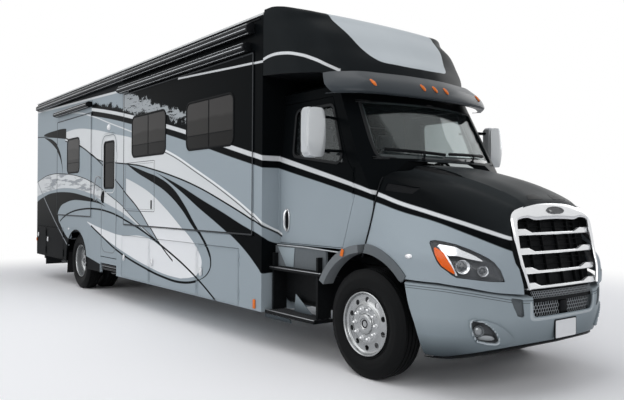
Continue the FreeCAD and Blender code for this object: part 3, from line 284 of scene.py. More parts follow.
ROOF_BAND = ((-6.0, 3.565), (-4.5, 3.52), (-2.75, 3.47), (-1.1, 3.42))
TORN_TOP = ((-2.5, 3.46), (-1.1, 3.42), (-0.5, 3.27), (0.1, 3.1), (0.8, 2.93), (1.3, 2.74))
TORN_FOOT = ((-2.5, 3.36), (-1.8, 3.21), (-1.0, 3.07), (0.1, 2.94), (0.7, 2.82), (1.3, 2.66))
CREST_LINE = ((0.95, 3.318), (1.706, 3.28), (2.318, 3.247), (2.75, 3.226), (3.05, 3.212), (3.3, 3.2))
FINE_LINE = ((-3.9, 3.33), (-3.3, 3.29), (-2.4, 3.13), (-1.6, 2.94), (-0.6, 2.715))
SWOOSH_TOP = ((-3.95, 2.97), (-3.3, 2.985), (-2.4, 2.9), (-1.5, 2.76), (-0.6, 2.62), (0.617, 2.35),
              (1.495, 2.054), (2.287, 1.759), (2.842, 1.519), (3.1, 1.385), (3.27, 1.312), (3.34, 1.285))
SWOOSH_FOOT = ((-3.95, 2.8), (-3.0, 2.63), (-2.0, 2.33), (-1.3, 2.265), (-0.4, 2.19), (0.048, 2.126),
               (0.818, 1.992),
               (1.498, 1.844), (2.289, 1.62), (2.859, 1.44), (3.1, 1.355), (3.27, 1.29), (3.34, 1.264))
CRESCENT_OUT = ((0.58, 1.3), (0.637, 1.601), (0.767, 1.844), (0.925, 1.889), (1.074, 1.8), (1.222, 1.634),
                (1.393, 1.42), (1.612, 1.151), (1.822, 0.821), (1.982, 0.37), (2.08, -0.1), (2.22, -0.8))
CRESCENT_IN = ((0.58, 1.26), (0.637, 1.57), (0.767, 1.815), (0.885, 1.862), (0.997, 1.805), (1.164, 1.635),
               (1.333, 1.38), (1.55, 1.061), (1.782, 0.577), (1.945, 0.051), (2.07, -0.4), (2.22, -0.82))
KEEL_LINE = ((-2.5, 1.2), (-2.0, 1.05), (-1.15, 0.815), (-0.15, 0.645), (0.5, 0.57), (1.0, 0.55), (1.5, 0.61))
WEDGE_TOP = ((0.25, 2.062), (0.447, 2.013), (1.056, 1.851), (1.668, 1.665), (2.217, 1.508), (2.575, 1.397),
             (2.909, 1.303), (3.036, 1.262), (3.15, 1.205), (3.3, 1.168))
WEDGE_FOOT = ((0.25, 2.06), (0.447, 2.0), (1.057, 1.778), (1.587, 1.556), (1.991, 1.399), (2.366, 1.244),
              (2.648, 1.105), (2.978, 0.893), (3.036, 0.85), (3.15, 0.85), (3.3, 0.85))
LEAF_FRONT = ((0.58, 0.95), (0.606, 1.076), (0.64, 1.32), (0.698, 1.516), (0.848, 1.639), (1.0, 1.554),
              (1.13, 1.38), (1.3, 1.065), (1.544, 0.581), (1.764, 0.055), (1.9, -0.42), (2.02, -0.95))
LEAF_FOOT = ((-2.7, 1.26), (-1.85, 1.02), (-0.8, 0.8), (0.075, 0.665), (0.597, 0.612), (1.076, 0.602),
             (1.65, 0.6))
LEAF_BACK = ((-2.7, 1.27), (-1.75, 1.145), (-1.05, 1.09), (-0.3, 1.115), (0.4, 1.0), (0.75, 0.84))
SLANT_LINE = ((-3.9, 2.85), (-2.95, 2.62), (-1.9, 2.24), (-1.33, 1.98), (-0.84, 1.75), (-0.38, 1.53),
              (0.05, 1.25), (0.44, 1.0), (0.8, 0.82))
ARCHED_LINE = ((-4.3, 1.23), (-3.7, 1.4), (-2.9, 1.49), (-2.2, 1.5), (-1.65, 1.46), (-1.1, 1.38),
               (-0.25, 1.2), (0.44, 1.01), (1.28, 0.74), (2.05, 0.4))
REAR_OUT = ((-6.1, 1.53), (-5.35, 1.73), (-4.7, 1.8), (-4.0, 1.81), (-2.9, 1.74), (-1.8, 1.55))
REAR_IN = ((0.4, -3.2), (0.85, -3.6), (0.96, -3.9), (1.14, -4.22), (1.32, -4.41), (1.5, -4.26), (1.6, -3.9),
           (1.66, -3.2))
REAR_IN_TOP = ((-4.4, 1.62), (-3.7, 1.655), (-2.9, 1.645), (-1.8, 1.545))
BRUSH_TOP = ((-6.1, 1.98), (-5.6, 2.1), (-5.0, 2.175), (-4.0, 2.165), (-2.9, 2.06), (-2.2, 1.91),
             (-1.65, 1.75), (-1.1, 1.585), (-0.5, 1.35), (0.44, 1.01))
BRUSH_FOOT = ((-6.1, 1.69), (-5.0, 1.84), (-3.8, 1.885), (-2.7, 1.8), (-1.85, 1.62), (-1.0, 1.45),
              (-0.4, 1.28), (0.44, 1.0))
TAIL_LINE = ((-5.95, 2.08), (-5.5, 1.76), (-4.9, 1.38), (-4.25, 1.01), (-3.65, 0.7))
HORN_OUT = ((2.15, -4.1), (2.39, -4.15), (2.63, -4.31), (2.83, -4.65), (2.97, -5.4))
HORN_IN = ((2.15, -4.105), (2.39, -4.2), (2.58, -4.4), (2.76, -4.75), (2.97, -5.42))
TIP_TOP = ((-5.45, 3.03), (-4.6, 3.065), (-3.9, 3.04))
TIP_FOOT = ((-5.45, 3.01), (-4.7, 2.93), (-3.9, 2.85))
SHOULDER_LINE = ((-6.1, 3.03), (-5.1, 2.965), (-4.4, 2.9), (-3.9, 2.85))
STRIPE_PALE = (0.6, 0.615, 0.625)
CORNER_OUT = 1.2825         # where the box's side meets its rounded front corner


def livery(x, y, z, place):
    """Colour of a body panel at its place along and up the vehicle, the same on both sides."""
    out = abs(y)
    ragged = (place.speckle(4.5, 9.0, 0.72) - 0.5) * 0.55
    streaks = place.node("ShaderNodeMapping", place, None, (0.0, 0.35, 0.0), (0.5, 1.0, 4.0))
    round_corner = (CORNER_OUT - out).most(0.0).maths("MULTIPLY_ADD", x.over(3.0), x)

    def lying(points, thick, along=x, lower=0.0):
        """Thin line along a curve of X, or of the way round the front corner, moved down by `lower`."""
        off = abs(z - (swept(along, points) - lower))
        return along.within(points[0][0], points[-1][0]) * off.under(thick / 2, 0.003)

    def band(foot, top, along=x):
        """Between two curves of X, or of the way round the front corner, with the same ends."""
        return along.within(foot[0][0], foot[-1][0]) * z.within(swept(along, foot), swept(along, top))

    def upright_band(back, front):
        """Between two curves of Z with the same ends."""
        return z.within(back[0][0], back[-1][0]) * x.within(swept(z, back), swept(z, front))

    def above(points):
        return z.over(swept(x, points))

    # light swooshes
    fore = x.over(-0.45, 0.1)
    brushed = streaks.speckle(3.0, 8.0, 0.7).over(0.53, 0.02)
    films = [
        (place.speckle(0.35, 2.0) * 0.5, tuple(c * 1.12 for c in SILVER)),
        (band(SWOOSH_FOOT, SWOOSH_TOP, round_corner), LIGHT_SILVER),
        (lying(SWOOSH_FOOT, 0.022, round_corner), BLACK),
        (lying(SWOOSH_TOP, 0.014, round_corner, 0.03) * fore, (0.05, 0.056, 0.06)),
        (lying(SWOOSH_TOP, 0.024, round_corner) * fore, (0.76, 0.78, 0.79)),
        (band(BRUSH_FOOT, BRUSH_TOP), LIGHT_SILVER),
        (band(BRUSH_FOOT, BRUSH_TOP) * brushed * x.within(-5.4, -2.0, 0.5), (0.3, 0.32, 0.34)),
        (lying(BRUSH_TOP, 0.014), BLACK),
    ]

    # the leaf over the bays, which pales towards its foot
    inside = x.under(swept(z, LEAF_FRONT))
    leaf_low = band(LEAF_FOOT, LEAF_BACK) * inside
    leaf_high = inside * above(SLANT_LINE) * above(LEAF_FOOT) * x.within(-0.86, 1.7) * z.within(0.6, 2.02)
    films.append((leaf_high.most(leaf_low), laid(LIGHT_SILVER, z.within(-1.0, 1.55, 0.45), LEAF_WHITE)))

    # dark wedge, crescents, tail and lines
    tail = z.under(swept(x, REAR_OUT)) * x.within(-6.2, -1.8)
    hollow = x.over(swept(z, REAR_IN)) * z.under(swept(x, REAR_IN_TOP))
    films += [
        (band(WEDGE_FOOT, WEDGE_TOP, round_corner), BLACK),
        (upright_band(CRESCENT_IN, CRESCENT_OUT), BLACK),
        (lying(KEEL_LINE, 0.032), BLACK),
        (lying(SLANT_LINE, 0.026), BLACK),
        (lying(ARCHED_LINE, 0.03), BLACK),
        (tail * (1.0 - hollow), BLACK),
        (lying(TAIL_LINE, 0.03), (0.25, 0.27, 0.29)),
        (band(TIP_FOOT, TIP_TOP), BLACK),
        (lying(SHOULDER_LINE, 0.018), BLACK),
        (upright_band(HORN_IN, HORN_OUT), BLACK),
        (lying(FINE_LINE, 0.02), LIGHT_SILVER),
    ]

    # black roof band and front field with their torn edges, the stripe, the spat and the mirror heads
    gaps = streaks.speckle(9.0, 7.0, 0.7).under(0.57, 0.012)
    torn = (z + ragged).within(swept(x, TORN_FOOT), swept(x, TORN_TOP), 0.01) * x.within(-1.04, 1.3)
    splashed = above(STRIPE_TOP) * x.within(-2.5, -1.04)
    films += [
        (above(ROOF_BAND) * x.under(-1.05), CHARCOAL),
        (lying(ROOF_BAND, 0.035) * x.within(-6.2, -1.12), LIGHT_SILVER),
        (above(STRIPE_TOP) * x.over(-1.05), BLACK),
        (above(STRIPE_TOP) * x.over(4.64) * out.under(0.62, 0.25), DECK_BLACK),
        (splashed * z.under(swept(x, STRIPE_TOP) + ragged.scaled(1.0, 0.075), 0.006), BLACK),
        (torn * above(STRIPE_TOP) * gaps, PALE_GREY),
        (band(SHADOW_FOOT, STRIPE_FOOT), BLACK),
        (band(STRIPE_FOOT, STRIPE_TOP), STRIPE_PALE),
        (lying(CREST_LINE, 0.024), STRIPE_PALE),
        (x.within(-2.8, -2.03) * z.under(x.scaled(-0.128, 0.296)) * z.under(0.7), BLACK),
        (out.over(1.2845) * x.within(3.85, 4.4) * z.within(2.0, 2.62), (0.5, 0.52, 0.53)),
    ]
    colour = SILVER
    for mask, film in films:
        colour = laid(colour, mask, film)
    return colour


def uneven(shader, height, strength, distance=0.002):
    """Small bumps in a shader's surface, as high as a field says."""
    bump = fed(height.tree.nodes.new("ShaderNodeBump"), Strength=strength, Distance=distance, Height=height)
    fed(shader, Normal=bump.outputs[0])


def painted(name, colour_of):
    """Satin-bright paint: a colour worked out by place, with slight orange peel."""
    material, shader, *axes = fresh(name, Metallic=0.05, Roughness=0.3, Specular_IOR_Level=0.01,
                                    Coat_Roughness=0.04)
    fed(shader, Base_Color=colour_of(*axes))
    uneven(shader, axes[3].speckle(90.0, 2.0), 0.03)
    return material


body_paint = painted("body_paint", livery)


def dress(material, *names):
    """Give CAD nodes one finish."""
    for name in names:
        slots = cad[name].data.materials
        slots.clear()
        slots.append(material)


dress(body_paint, "side_wall_right", "side_wall_left", "slide_front_right", "slide_front_left",
      "slide_rear_right", "basement", "entry_door", "box_front_wall", "rear_wall", "cab_door_right",
      "cab_door_left", "cab_shell", *[name for name in cad if name.startswith("bay_door")])

# ---------------------------------------------------------------- bonnet
# One moulded shell over the engine and both front wheels: a raised middle, shoulders that run down to the
# grille, and bulged wings cut round at the wheels. It tilts forward on hinges under the grille.


def through(points, steps):
    """Smooth line through rows of numbers. Each span is the cubic with the rows' own values at its ends,
    and end slopes of half the step between the rows on either side; `steps` points a span."""
    p = np.asarray(points, float)
    around = np.concatenate([2 * p[:1] - p[1:2], p, 2 * p[-1:] - p[-2:-1]])
    slope = (around[2:] - around[:-2]) / 2
    t = np.linspace(0, 1, steps, endpoint=False).reshape((1, -1) + (1,) * (p.ndim - 1))
    start, end = p[:-1, None], p[1:, None]
    leaving, arriving = slope[:-1, None], slope[1:, None]
    line = (start * (2 * t ** 3 - 3 * t ** 2 + 1) + leaving * (t ** 3 - 2 * t ** 2 + t)
            + end * (3 * t ** 2 - 2 * t ** 3) + arriving * (t ** 3 - t ** 2))
    return np.concatenate([line.reshape((-1,) + p.shape[1:]), p[-1:]])


def surface(rows, across, along):
    """Smooth surface through a table of points: `through` down its columns, then along its rows."""
    down = through(rows, across)
    return np.swapaxes(through(np.swapaxes(down, 0, 1), along), 0, 1)


def woven(rows, columns, ring=False):
    """Quads between neighbouring points of a grid; `ring` joins its last column to its first."""
    last = columns if ring else columns - 1
    i, j = np.meshgrid(np.arange(rows - 1), np.arange(last), indexing="ij")
    k = (j + 1) % columns
    quads = np.stack([i * columns + j, i * columns + k, (i + 1) * columns + k, (i + 1) * columns + j], -1)
    return quads.reshape(-1, 4)


def of_grid(grid, ring=False):
    """A grid of points as (points, faces)."""
    return grid.reshape(-1, 3), woven(grid.shape[0], grid.shape[1], ring)


def halved(faces):
    """Each quad as two triangles."""
    return np.concatenate([faces[:, [0, 1, 2]], faces[:, [0, 2, 3]]]) if faces.shape[1] == 4 else faces


def facing(form, toward):
    """Turn the faces round where, added up, they look away from a direction."""
    points, faces = form
    a, b, c = points[faces[:, 0]], points[faces[:, 1]], points[faces[:, 2]]
    look = np.cross(b - a, c - a).sum(0)
    return (points, faces) if look @ np.asarray(toward, float) > 0 else (points, faces[:, ::-1])


def trimmed(form, keep):
    """The part of a form where keep(points) is above 0. A triangle that the border crosses is cut in a
    straight line between the places on its edges where the value, taken as even along them, is 0."""
    points, faces = form[0], halved(form[1])
    value = keep(points)
    value = np.where(np.abs(value) < 1e-9, 1e-9, value)
    inside = value > 0
    count = inside[faces].sum(1)
    cut = [[], []]
    fresh = [points]
    start = len(points)
    for kept in (1, 2):
        some = faces[count == kept]
        odd = np.argmax(inside[some] == (kept == 1), axis=1)
        turned = np.take_along_axis(some, (odd[:, None] + np.arange(3)) % 3, axis=1)
        a, b, c = turned.T
        share_b = (value[a] / (value[a] - value[b]))[:, None]
        share_c = (value[a] / (value[a] - value[c]))[:, None]
        fresh.append(points[a] + (points[b] - points[a]) * share_b)
        fresh.append(points[a] + (points[c] - points[a]) * share_c)
        ab = start + np.arange(len(a))
        ac = ab + len(a)
        start += 2 * len(a)
        if kept == 1:
            cut[0] = [np.stack([a, ab, ac], 1)]
        else:
            cut[1] = [np.stack([ab, b, c], 1), np.stack([ab, c, ac], 1)]
    points, faces = np.concatenate(fresh), np.concatenate([faces[count == 3]] + cut[0] + cut[1])
    used, renumbered = np.unique(faces, return_inverse=True)
    return points[used], renumbered.reshape(-1, 3)


def edge_distance(places, outline):
    """Distance inside a closed outline, negative outside: the nearest of its straight edges, and inside
    where a ray along the first axis crosses an odd number of them."""
    corners = np.asarray(outline, float)
    after = np.roll(corners, -1, 0)
    run = after - corners
    reach = places[:, None] - corners[None]
    share = np.clip((reach * run).sum(-1) / (run * run).sum(-1), 0, 1)
    near = np.sqrt(((reach - share[..., None] * run) ** 2).sum(-1)).min(1)
    spans = (corners[:, 1] > places[:, None, 1]) != (after[:, 1] > places[:, None, 1])
    slope = run[:, 0] / np.where(run[:, 1] == 0, 1e-12, run[:, 1])
    crossing = corners[:, 0] + (places[:, None, 1] - corners[:, 1]) * slope
    crossed = (spans & (places[:, None, 0] < crossing)).sum(1) % 2 == 1
    return np.where(crossed, near, -near)


def rounded(corners, radius, steps=6):
    """Closed outline with each corner replaced by an arc of one radius, as a quarter-turn curve between
    the places on its two edges that lie the radius's tangent length away."""
    points = np.asarray(corners, float)
    ring = []
    for before, corner, after in zip(np.roll(points, 1, 0), points, np.roll(points, -1, 0)):
        back = (before - corner) / np.linalg.norm(before - corner)
        on = (after - corner) / np.linalg.norm(after - corner)
        half_turn = math.acos(float(np.clip(back @ on, -1, 1))) / 2
        if half_turn > 1.5:
            ring.append(corner[None])
            continue
        reach = min(radius / math.tan(half_turn), 0.49 * np.linalg.norm(before - corner),
                    0.49 * np.linalg.norm(after - corner))
        middle = corner + (back + on) / np.linalg.norm(back + on) * (reach / math.cos(half_turn))
        first, last = corner + back * reach, corner + on * reach
        t = np.linspace(0, 1, steps)[:, None]
        spoke = (1 - t) * (first - middle) + t * (last - middle)
        size_of = np.linalg.norm(first - middle)
        ring.append(middle + spoke / np.linalg.norm(spoke, axis=1)[:, None] * size_of)
    return np.concatenate(ring)


def circle(count):
    """Even turns once round, in radians."""
    return np.linspace(0, 2 * math.pi, count, endpoint=False)


def capped(grid, foot=True):
    """A grid whose rows are closed rings, with a flat face over its last ring and, as `foot`, its first."""
    points, faces = of_grid(grid, ring=True)
    count = grid.shape[1]
    starts = [0, len(points) - count] if foot else [len(points) - count]
    return points, faces.tolist() + [list(range(start, start + count)) for start in starts]


def gathered(*forms):
    """Several forms as one list of points and one list of faces."""
    starts = np.cumsum([0] + [len(form[0]) for form in forms[:-1]])
    return (np.concatenate([form[0] for form in forms]),
            [[k + start for k in face] for start, form in zip(starts, forms) for face in form[1]])


def other_side(form):
    """The same form on the other side of the vehicle, still facing outwards."""
    return form[0] * (1, -1, 1), [list(face)[::-1] for face in form[1]]


def both_sides(form):
    """A form of the right side together with its copy on the left."""
    return gathered(form, other_side(form))


def built(name, form, material, body, wall=0.0, closed=False, crisp=35.0, merge=0.0002, soften=0.0):
    """Make one piece: merge its doubles, give a sheet its wall inwards, round its edges, mark edges
    sharper than an angle, and let it ride on its body."""
    mesh = bpy.data.meshes.new(name)
    mesh.from_pydata(form[0].tolist(), [], [list(face) for face in form[1]])
    work = bmesh.new()
    work.from_mesh(mesh)
    bmesh.ops.remove_doubles(work, verts=work.verts, dist=merge)
    bmesh.ops.dissolve_degenerate(work, edges=work.edges, dist=merge / 2)
    if closed:
        bmesh.ops.recalc_face_normals(work, faces=work.faces)
    work.to_mesh(mesh)
    work.free()
    made = bpy.data.objects.new(name, mesh)
    scene.collection.objects.link(made)
    if wall or soften:
        if wall:
            shell = made.modifiers.new("wall", "SOLIDIFY")
            shell.thickness = wall
            shell.offset = -1
            shell.use_even_offset = True
        if soften:
            bevel = made.modifiers.new("edges", "BEVEL")
            bevel.width = soften
            bevel.segments = 2
            bevel.limit_method = "ANGLE"
            bevel.angle_limit = math.radians(40)
        ready = made.evaluated_get(bpy.context.evaluated_depsgraph_get())
        done = bpy.data.meshes.new_from_object(ready)
        made.modifiers.clear()
        made.data = done
        mesh = done
    mesh.shade_smooth()
    mesh.set_sharp_from_angle(angle=math.radians(crisp))
    mesh.materials.clear()
    mesh.materials.append(material)
    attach(made, body)
    return made


# lines from the windscreen to the nose, as (x, out, z), from the middle out and down to the wing's foot
BONNET_LINES = np.array((
    ((4.642, 0.0, 2.03), (4.92, 0.0, 1.982), (5.27, 0.0, 1.893), (5.5, 0.0, 1.817), (5.68, 0.0, 1.742),
     (5.77, 0.0, 1.695), (5.815, 0.0, 1.652)),
    ((4.642, 0.26, 2.027), (4.92, 0.25, 1.978), (5.27, 0.24, 1.89), (5.5, 0.23, 1.814), (5.68, 0.22, 1.738),
     (5.77, 0.215, 1.69), (5.815, 0.21, 1.646)),
    ((4.642, 0.5, 2.012), (4.92, 0.47, 1.96), (5.27, 0.44, 1.867), (5.5, 0.42, 1.79), (5.68, 0.405, 1.714),
     (5.77, 0.4, 1.664), (5.815, 0.39, 1.625)),
    ((4.642, 0.6, 1.968), (4.92, 0.56, 1.905), (5.27, 0.52, 1.815), (5.5, 0.495, 1.74), (5.68, 0.48, 1.67),
     (5.77, 0.47, 1.63), (5.812, 0.46, 1.6)),
    ((4.642, 0.82, 1.945), (4.92, 0.74, 1.87), (5.27, 0.66, 1.775), (5.5, 0.61, 1.7), (5.68, 0.585, 1.63),
     (5.77, 0.575, 1.59), (5.81, 0.565, 1.56)),
    ((4.642, 0.955, 1.89), (4.92, 0.885, 1.805), (5.27, 0.79, 1.68), (5.5, 0.72, 1.595),
     (5.68, 0.665, 1.52), (5.78, 0.64, 1.46), (5.83, 0.622, 1.42)),
    ((4.648, 1.04, 1.722), (4.92, 1.0, 1.65), (5.27, 0.93, 1.54), (5.5, 0.845, 1.45), (5.67, 0.755, 1.382),
     (5.79, 0.685, 1.32), (5.855, 0.62, 1.285)),
    ((4.66, 1.125, 1.465), (4.92, 1.125, 1.435), (5.27, 1.09, 1.345), (5.5, 1.015, 1.285),
     (5.67, 0.9, 1.24), (5.8, 0.76, 1.198), (5.885, 0.61, 1.17)),
    ((4.64, 1.18, 1.24), (4.92, 1.198, 1.245), (5.27, 1.195, 1.225), (5.5, 1.13, 1.19), (5.68, 1.005, 1.15),
     (5.82, 0.82, 1.11), (5.91, 0.6, 1.07)),
    ((4.6, 1.19, 1.05), (4.92, 1.198, 1.06), (5.27, 1.198, 1.06), (5.5, 1.145, 1.05), (5.69, 1.02, 1.03),
     (5.835, 0.83, 1.0), (5.93, 0.585, 0.97)),
    ((4.6, 1.18, 0.85), (4.92, 1.19, 0.86), (5.27, 1.193, 0.88), (5.5, 1.14, 0.88), (5.69, 1.01, 0.87),
     (5.835, 0.82, 0.85), (5.935, 0.57, 0.85)),
))
CREASES = (0, 2, 5, 7, 10)          # lines at which the surface turns sharply
AXLE = (4.6215, 0.515)
ARCH = 0.665
LAMP_OUTLINE = ((3.012, 1.322), (3.062, 1.33), (3.133, 1.319), (3.227, 1.3), (3.334, 1.263), (3.427, 1.222),
                (3.492, 1.189), (3.537, 1.155), (3.583, 1.094), (3.618, 1.006), (3.523, 1.008),
                (3.418, 1.018), (3.32, 1.029), (3.223, 1.038), (3.181, 1.062), (3.149, 1.087),
                (3.096, 1.123), (3.066, 1.167), (3.035, 1.244))
BONNET_FOOT = ((4.5, 0.99), (5.1, 0.99), (5.5, 0.985), (5.7, 0.958), (5.84, 0.915), (5.96, 0.885))


def lamp_place(points):
    """Places on the right wing as seen square to its corner: along (X - Y halves) and up."""
    return np.stack([(points[:, 0] - np.abs(points[:, 1])) / math.sqrt(2), points[:, 2]], -1)


def right_of(lines):
    """Lines drawn as (along, out, up), laid on the right side."""
    return np.asarray(lines) * (1, -1, 1)


def from_axle(points):
    """Distance from the front wheel's middle, seen from the side."""
    return np.hypot(points[:, 0] - AXLE[0], points[:, 2] - AXLE[1])


def above_foot(points):
    """Height over the bonnet's lower edge, which follows the bumper's top."""
    foot = np.asarray(BONNET_FOOT)
    return points[:, 2] - np.interp(points[:, 0], foot[:, 0], foot[:, 1])


def outward_of(grid):
    """Unit directions square to a grid's surface, from the slopes along its two parameters."""
    square = np.cross(np.gradient(grid, axis=1), np.gradient(grid, axis=0))
    return square / np.maximum(np.linalg.norm(square, axis=2, keepdims=True), 1e-9)


def lifted(grid, by, toward):
    """A grid moved by a distance square to its own surface, on the side that looks a given way."""
    square = outward_of(grid)
    if (square * np.asarray(toward, float)).sum() < 0:
        square = -square
    return grid + square * by


def finished(name, colour, rough, metal=0.0, coat=0.0, grain=40.0, spread=0.15, bump=0.0, worn=0.1, **more):
    """Procedural finish: colour and roughness both wander a little with fine noise, and the surface is
    slightly uneven. Grain is in spots a metre, spread and worn are shares of the colour and roughness."""
    material, shader, x, y, z, place = fresh(name, Metallic=metal, Coat_Weight=coat, Coat_Roughness=0.05,
                                             Specular_IOR_Level=0.1)
    spots = place.speckle(grain, 4.0, 0.6)
    cloudy = place.speckle(grain / 12, 2.0)
    dark = [c * (1 - spread) for c in colour]
    light = [min(c * (1 + spread), 1.0) for c in colour]
    fed(shader, Base_Color=laid(dark, spots.scaled(0.6, cloudy * 0.4), light),
        Roughness=cloudy.scaled(rough * worn * 2, rough * (1 - worn)), **more)
    if bump:
        uneven(shader, spots, bump, 0.001)
    return material


def meshed(name, cell):
    """Woven wire or moulded mesh: dark holes where both of two crossed waves of one cell length are high."""
    material, shader, x, y, z, place = fresh(name, Roughness=0.5, Specular_IOR_Level=0.04)
    gap = ((x + y).wave(cell) * z.wave(cell) + -0.15).ramp(0.12)
    fed(shader, Base_Color=laid((0.013, 0.014, 0.015), gap, (0.002, 0.002, 0.003)))
    uneven(shader, 1.0 - gap, 0.8, cell / 4)
    return material


satin_black = finished("satin_black", (0.007, 0.0078, 0.0088), 0.42, grain=220.0, bump=0.25,
                       Specular_IOR_Level=0.04)
mesh_black = meshed("mesh_black", 0.014)
arch_grey = finished("arch_grey", (0.105, 0.118, 0.126), 0.38, grain=160.0, bump=0.2, coat=0.05)

UPPER_VENT = ((4.7, 1.835), (5.018, 1.787), (4.976, 1.729), (4.7, 1.765))
COWL_VENT = ((4.648, 0.545), (4.774, 0.527), (4.947, 0.506), (5.216, 0.445), (5.05, 0.4), (4.8, 0.37),
             (4.648, 0.36))
FRONT_VENT = ((5.7, 0.1), (5.712, 0.235), (5.772, 0.3), (5.782, 0.08))


def from_side(points):
    """Places as seen from the side, along and up."""
    return points[:, [0, 2]]


def from_above(points):
    """Places as seen from above, along and out from the middle."""
    return np.stack([points[:, 0], np.abs(points[:, 1])], -1)


def shell_kept(points):
    """Above 0 on the moulding: outside the wheel arch, the lamp and the vents, and over the lower edge."""
    fore = points[:, 0] > 4.9
    lamp = -edge_distance(lamp_place(points), LAMP_OUTLINE) - 0.004
    side_vent = np.where(points[:, 2] > 1.7, -edge_distance(from_side(points), UPPER_VENT), 1.0)
    top = (points[:, 2] > 1.6) & (np.abs(points[:, 1]) < 0.56)
    cowl = np.where(top, -edge_distance(from_above(points), COWL_VENT), 1.0)
    return np.minimum.reduce([from_axle(points) - ARCH, above_foot(points), np.where(fore, lamp, 1.0),
                              side_vent,
                              cowl])


bonnet_paint = painted("bonnet_paint", livery)
skins = []
for first, last in zip(CREASES[:-1], CREASES[1:]):
    skin = facing(of_grid(surface(right_of(BONNET_LINES[first:last + 1]), 8, 12)), (0.3, -1, 0.6))
    skins.append(both_sides(trimmed(skin, shell_kept)))
bonnet_shell = built("bonnet_shell", gathered(*skins), bonnet_paint, "bonnet", wall=0.007, crisp=24.0,
                     merge=0.0006)
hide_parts("bonnet")


def patch_on(lines, depth, keep, toward=(0.3, -1, 0.6), across=8, along=12):
    """A patch of the moulding's surface moved square to itself, kept inside a border, on both sides."""
    grid = lifted(surface(right_of(lines), across, along), depth, toward)
    return both_sides(trimmed(facing(of_grid(grid), toward), keep))


def inside_of(seen, outline, grown=0.0):
    """A test for a border: above 0 inside an outline, grown by a distance, in one view of the places."""
    return lambda points: edge_distance(seen(points), outline) + grown


built("side_vent_mesh", patch_on(BONNET_LINES[2:7], -0.01, inside_of(from_side, UPPER_VENT, 0.008)),
      mesh_black,
      "bonnet", crisp=60.0)
built("cowl_vent_mesh", patch_on(BONNET_LINES[0:5], -0.016, inside_of(from_above, COWL_VENT, 0.01),
                                 (0, 0, 1)),
      mesh_black, "bonnet", crisp=60.0)
built("front_vent_panel", patch_on(BONNET_LINES[0:3], 0.0015, inside_of(from_above, FRONT_VENT), (0, 0, 1)),
      satin_black, "bonnet", crisp=60.0, wall=0.004)


def arch_lip(points):
    """Above 0 on the flared lip: a band round the wheel that ends at the bumper line and the cab."""
    ring = np.minimum(from_axle(points) - (ARCH - 0.002), 0.752 - from_axle(points))
    turn = np.degrees(np.arctan2(points[:, 2] - AXLE[1], points[:, 0] - AXLE[0]))
    return np.minimum.reduce([ring, (turn - 41.0) * 0.012, (95.0 - turn) * 0.012])


built("arch_lips", patch_on(BONNET_LINES[5:], 0.012, arch_lip), arch_grey, "bonnet", wall=0.022, crisp=40.0)

# ---------------------------------------------------------------- headlights
# Each lamp is a dark grey moulded bowl in the wing's corner with a bright upper reflector, an amber turn
# lamp at its outer end and two round projectors, under one clear cover that follows the wing.
REFLECTOR = ((3.07, 1.3), (3.132, 1.293), (3.226, 1.279), (3.276, 1.254), (3.332, 1.232), (3.387, 1.207),
             (3.451, 1.168), (3.432, 1.167), (3.329, 1.187), (3.235, 1.209), (3.16, 1.21), (3.129, 1.242))
AMBER_LENS = ((3.045, 1.282), (3.075, 1.265), (3.105, 1.248), (3.128, 1.229), (3.158, 1.172), (3.19, 1.12),
              (3.218, 1.06), (3.195, 1.067), (3.153, 1.092), (3.105, 1.126), (3.07, 1.175), (3.05, 1.225))
DIVIDER = ((3.06, 1.3), (3.085, 1.288), (3.135, 1.24), (3.175, 1.172), (3.236, 1.05), (3.218, 1.05),
           (3.158, 1.165), (3.122, 1.228), (3.095, 1.262))
PROJECTORS = (
    # along the corner, height, radius
    (3.272, 1.126, 0.06),
    (3.436, 1.092, 0.046),
)


def glazing(tree, tint, rough, index):
    """A film that light passes through with a tint, a mirror film, and the share that a surface of one
    refractive index mirrors at each glance."""
    return (joint_of(tree, "ShaderNodeBsdfTransparent", tint).outputs[0],
            joint_of(tree, "ShaderNodeBsdfGlossy", None, rough).outputs[0],
            Field(tree, joint_of(tree, "ShaderNodeFresnel", index).outputs[0]))


def clear_cover(name, strength):
    """Hard clear plastic: light passes straight through, and the surface shines more at a glance."""
    material, shader, x, y, z, place = fresh(name)
    material.node_tree.nodes.remove(shader)
    clear, mirror, glance = glazing(material.node_tree, (0.95, 0.96, 0.97), 0.04, 1.45)
    shown(material.node_tree, "Material Output",
          glance.scaled(strength, place.speckle(30.0).scaled(0.012, 0.004)),
          clear, mirror)
    return material


def amber(name, colour):
    """Coloured ribbed lens: fine upright flutes under a glossy skin."""
    material = finished(name, colour, 0.16, coat=0.12, grain=25.0, spread=0.22)
    x, y, z, place = axes_of(material.node_tree)
    uneven(material.node_tree.nodes["Principled BSDF"], (x - y).wave(0.012), 0.25)
    return material


cover_clear = clear_cover("cover_clear", 0.18)
amber_glow = amber("amber_lens", (0.86, 0.125, 0.006))
bowl_grey = finished("bowl_grey", (0.095, 0.1, 0.106), 0.35, coat=0.05, grain=60.0, spread=0.12)
mirror_bright = finished("mirror_bright", (0.78, 0.79, 0.8), 0.14, metal=0.75, grain=15.0, spread=0.06)
WING = BONNET_LINES[5:10]
CORNER = (0.7, -0.7, 0.1)


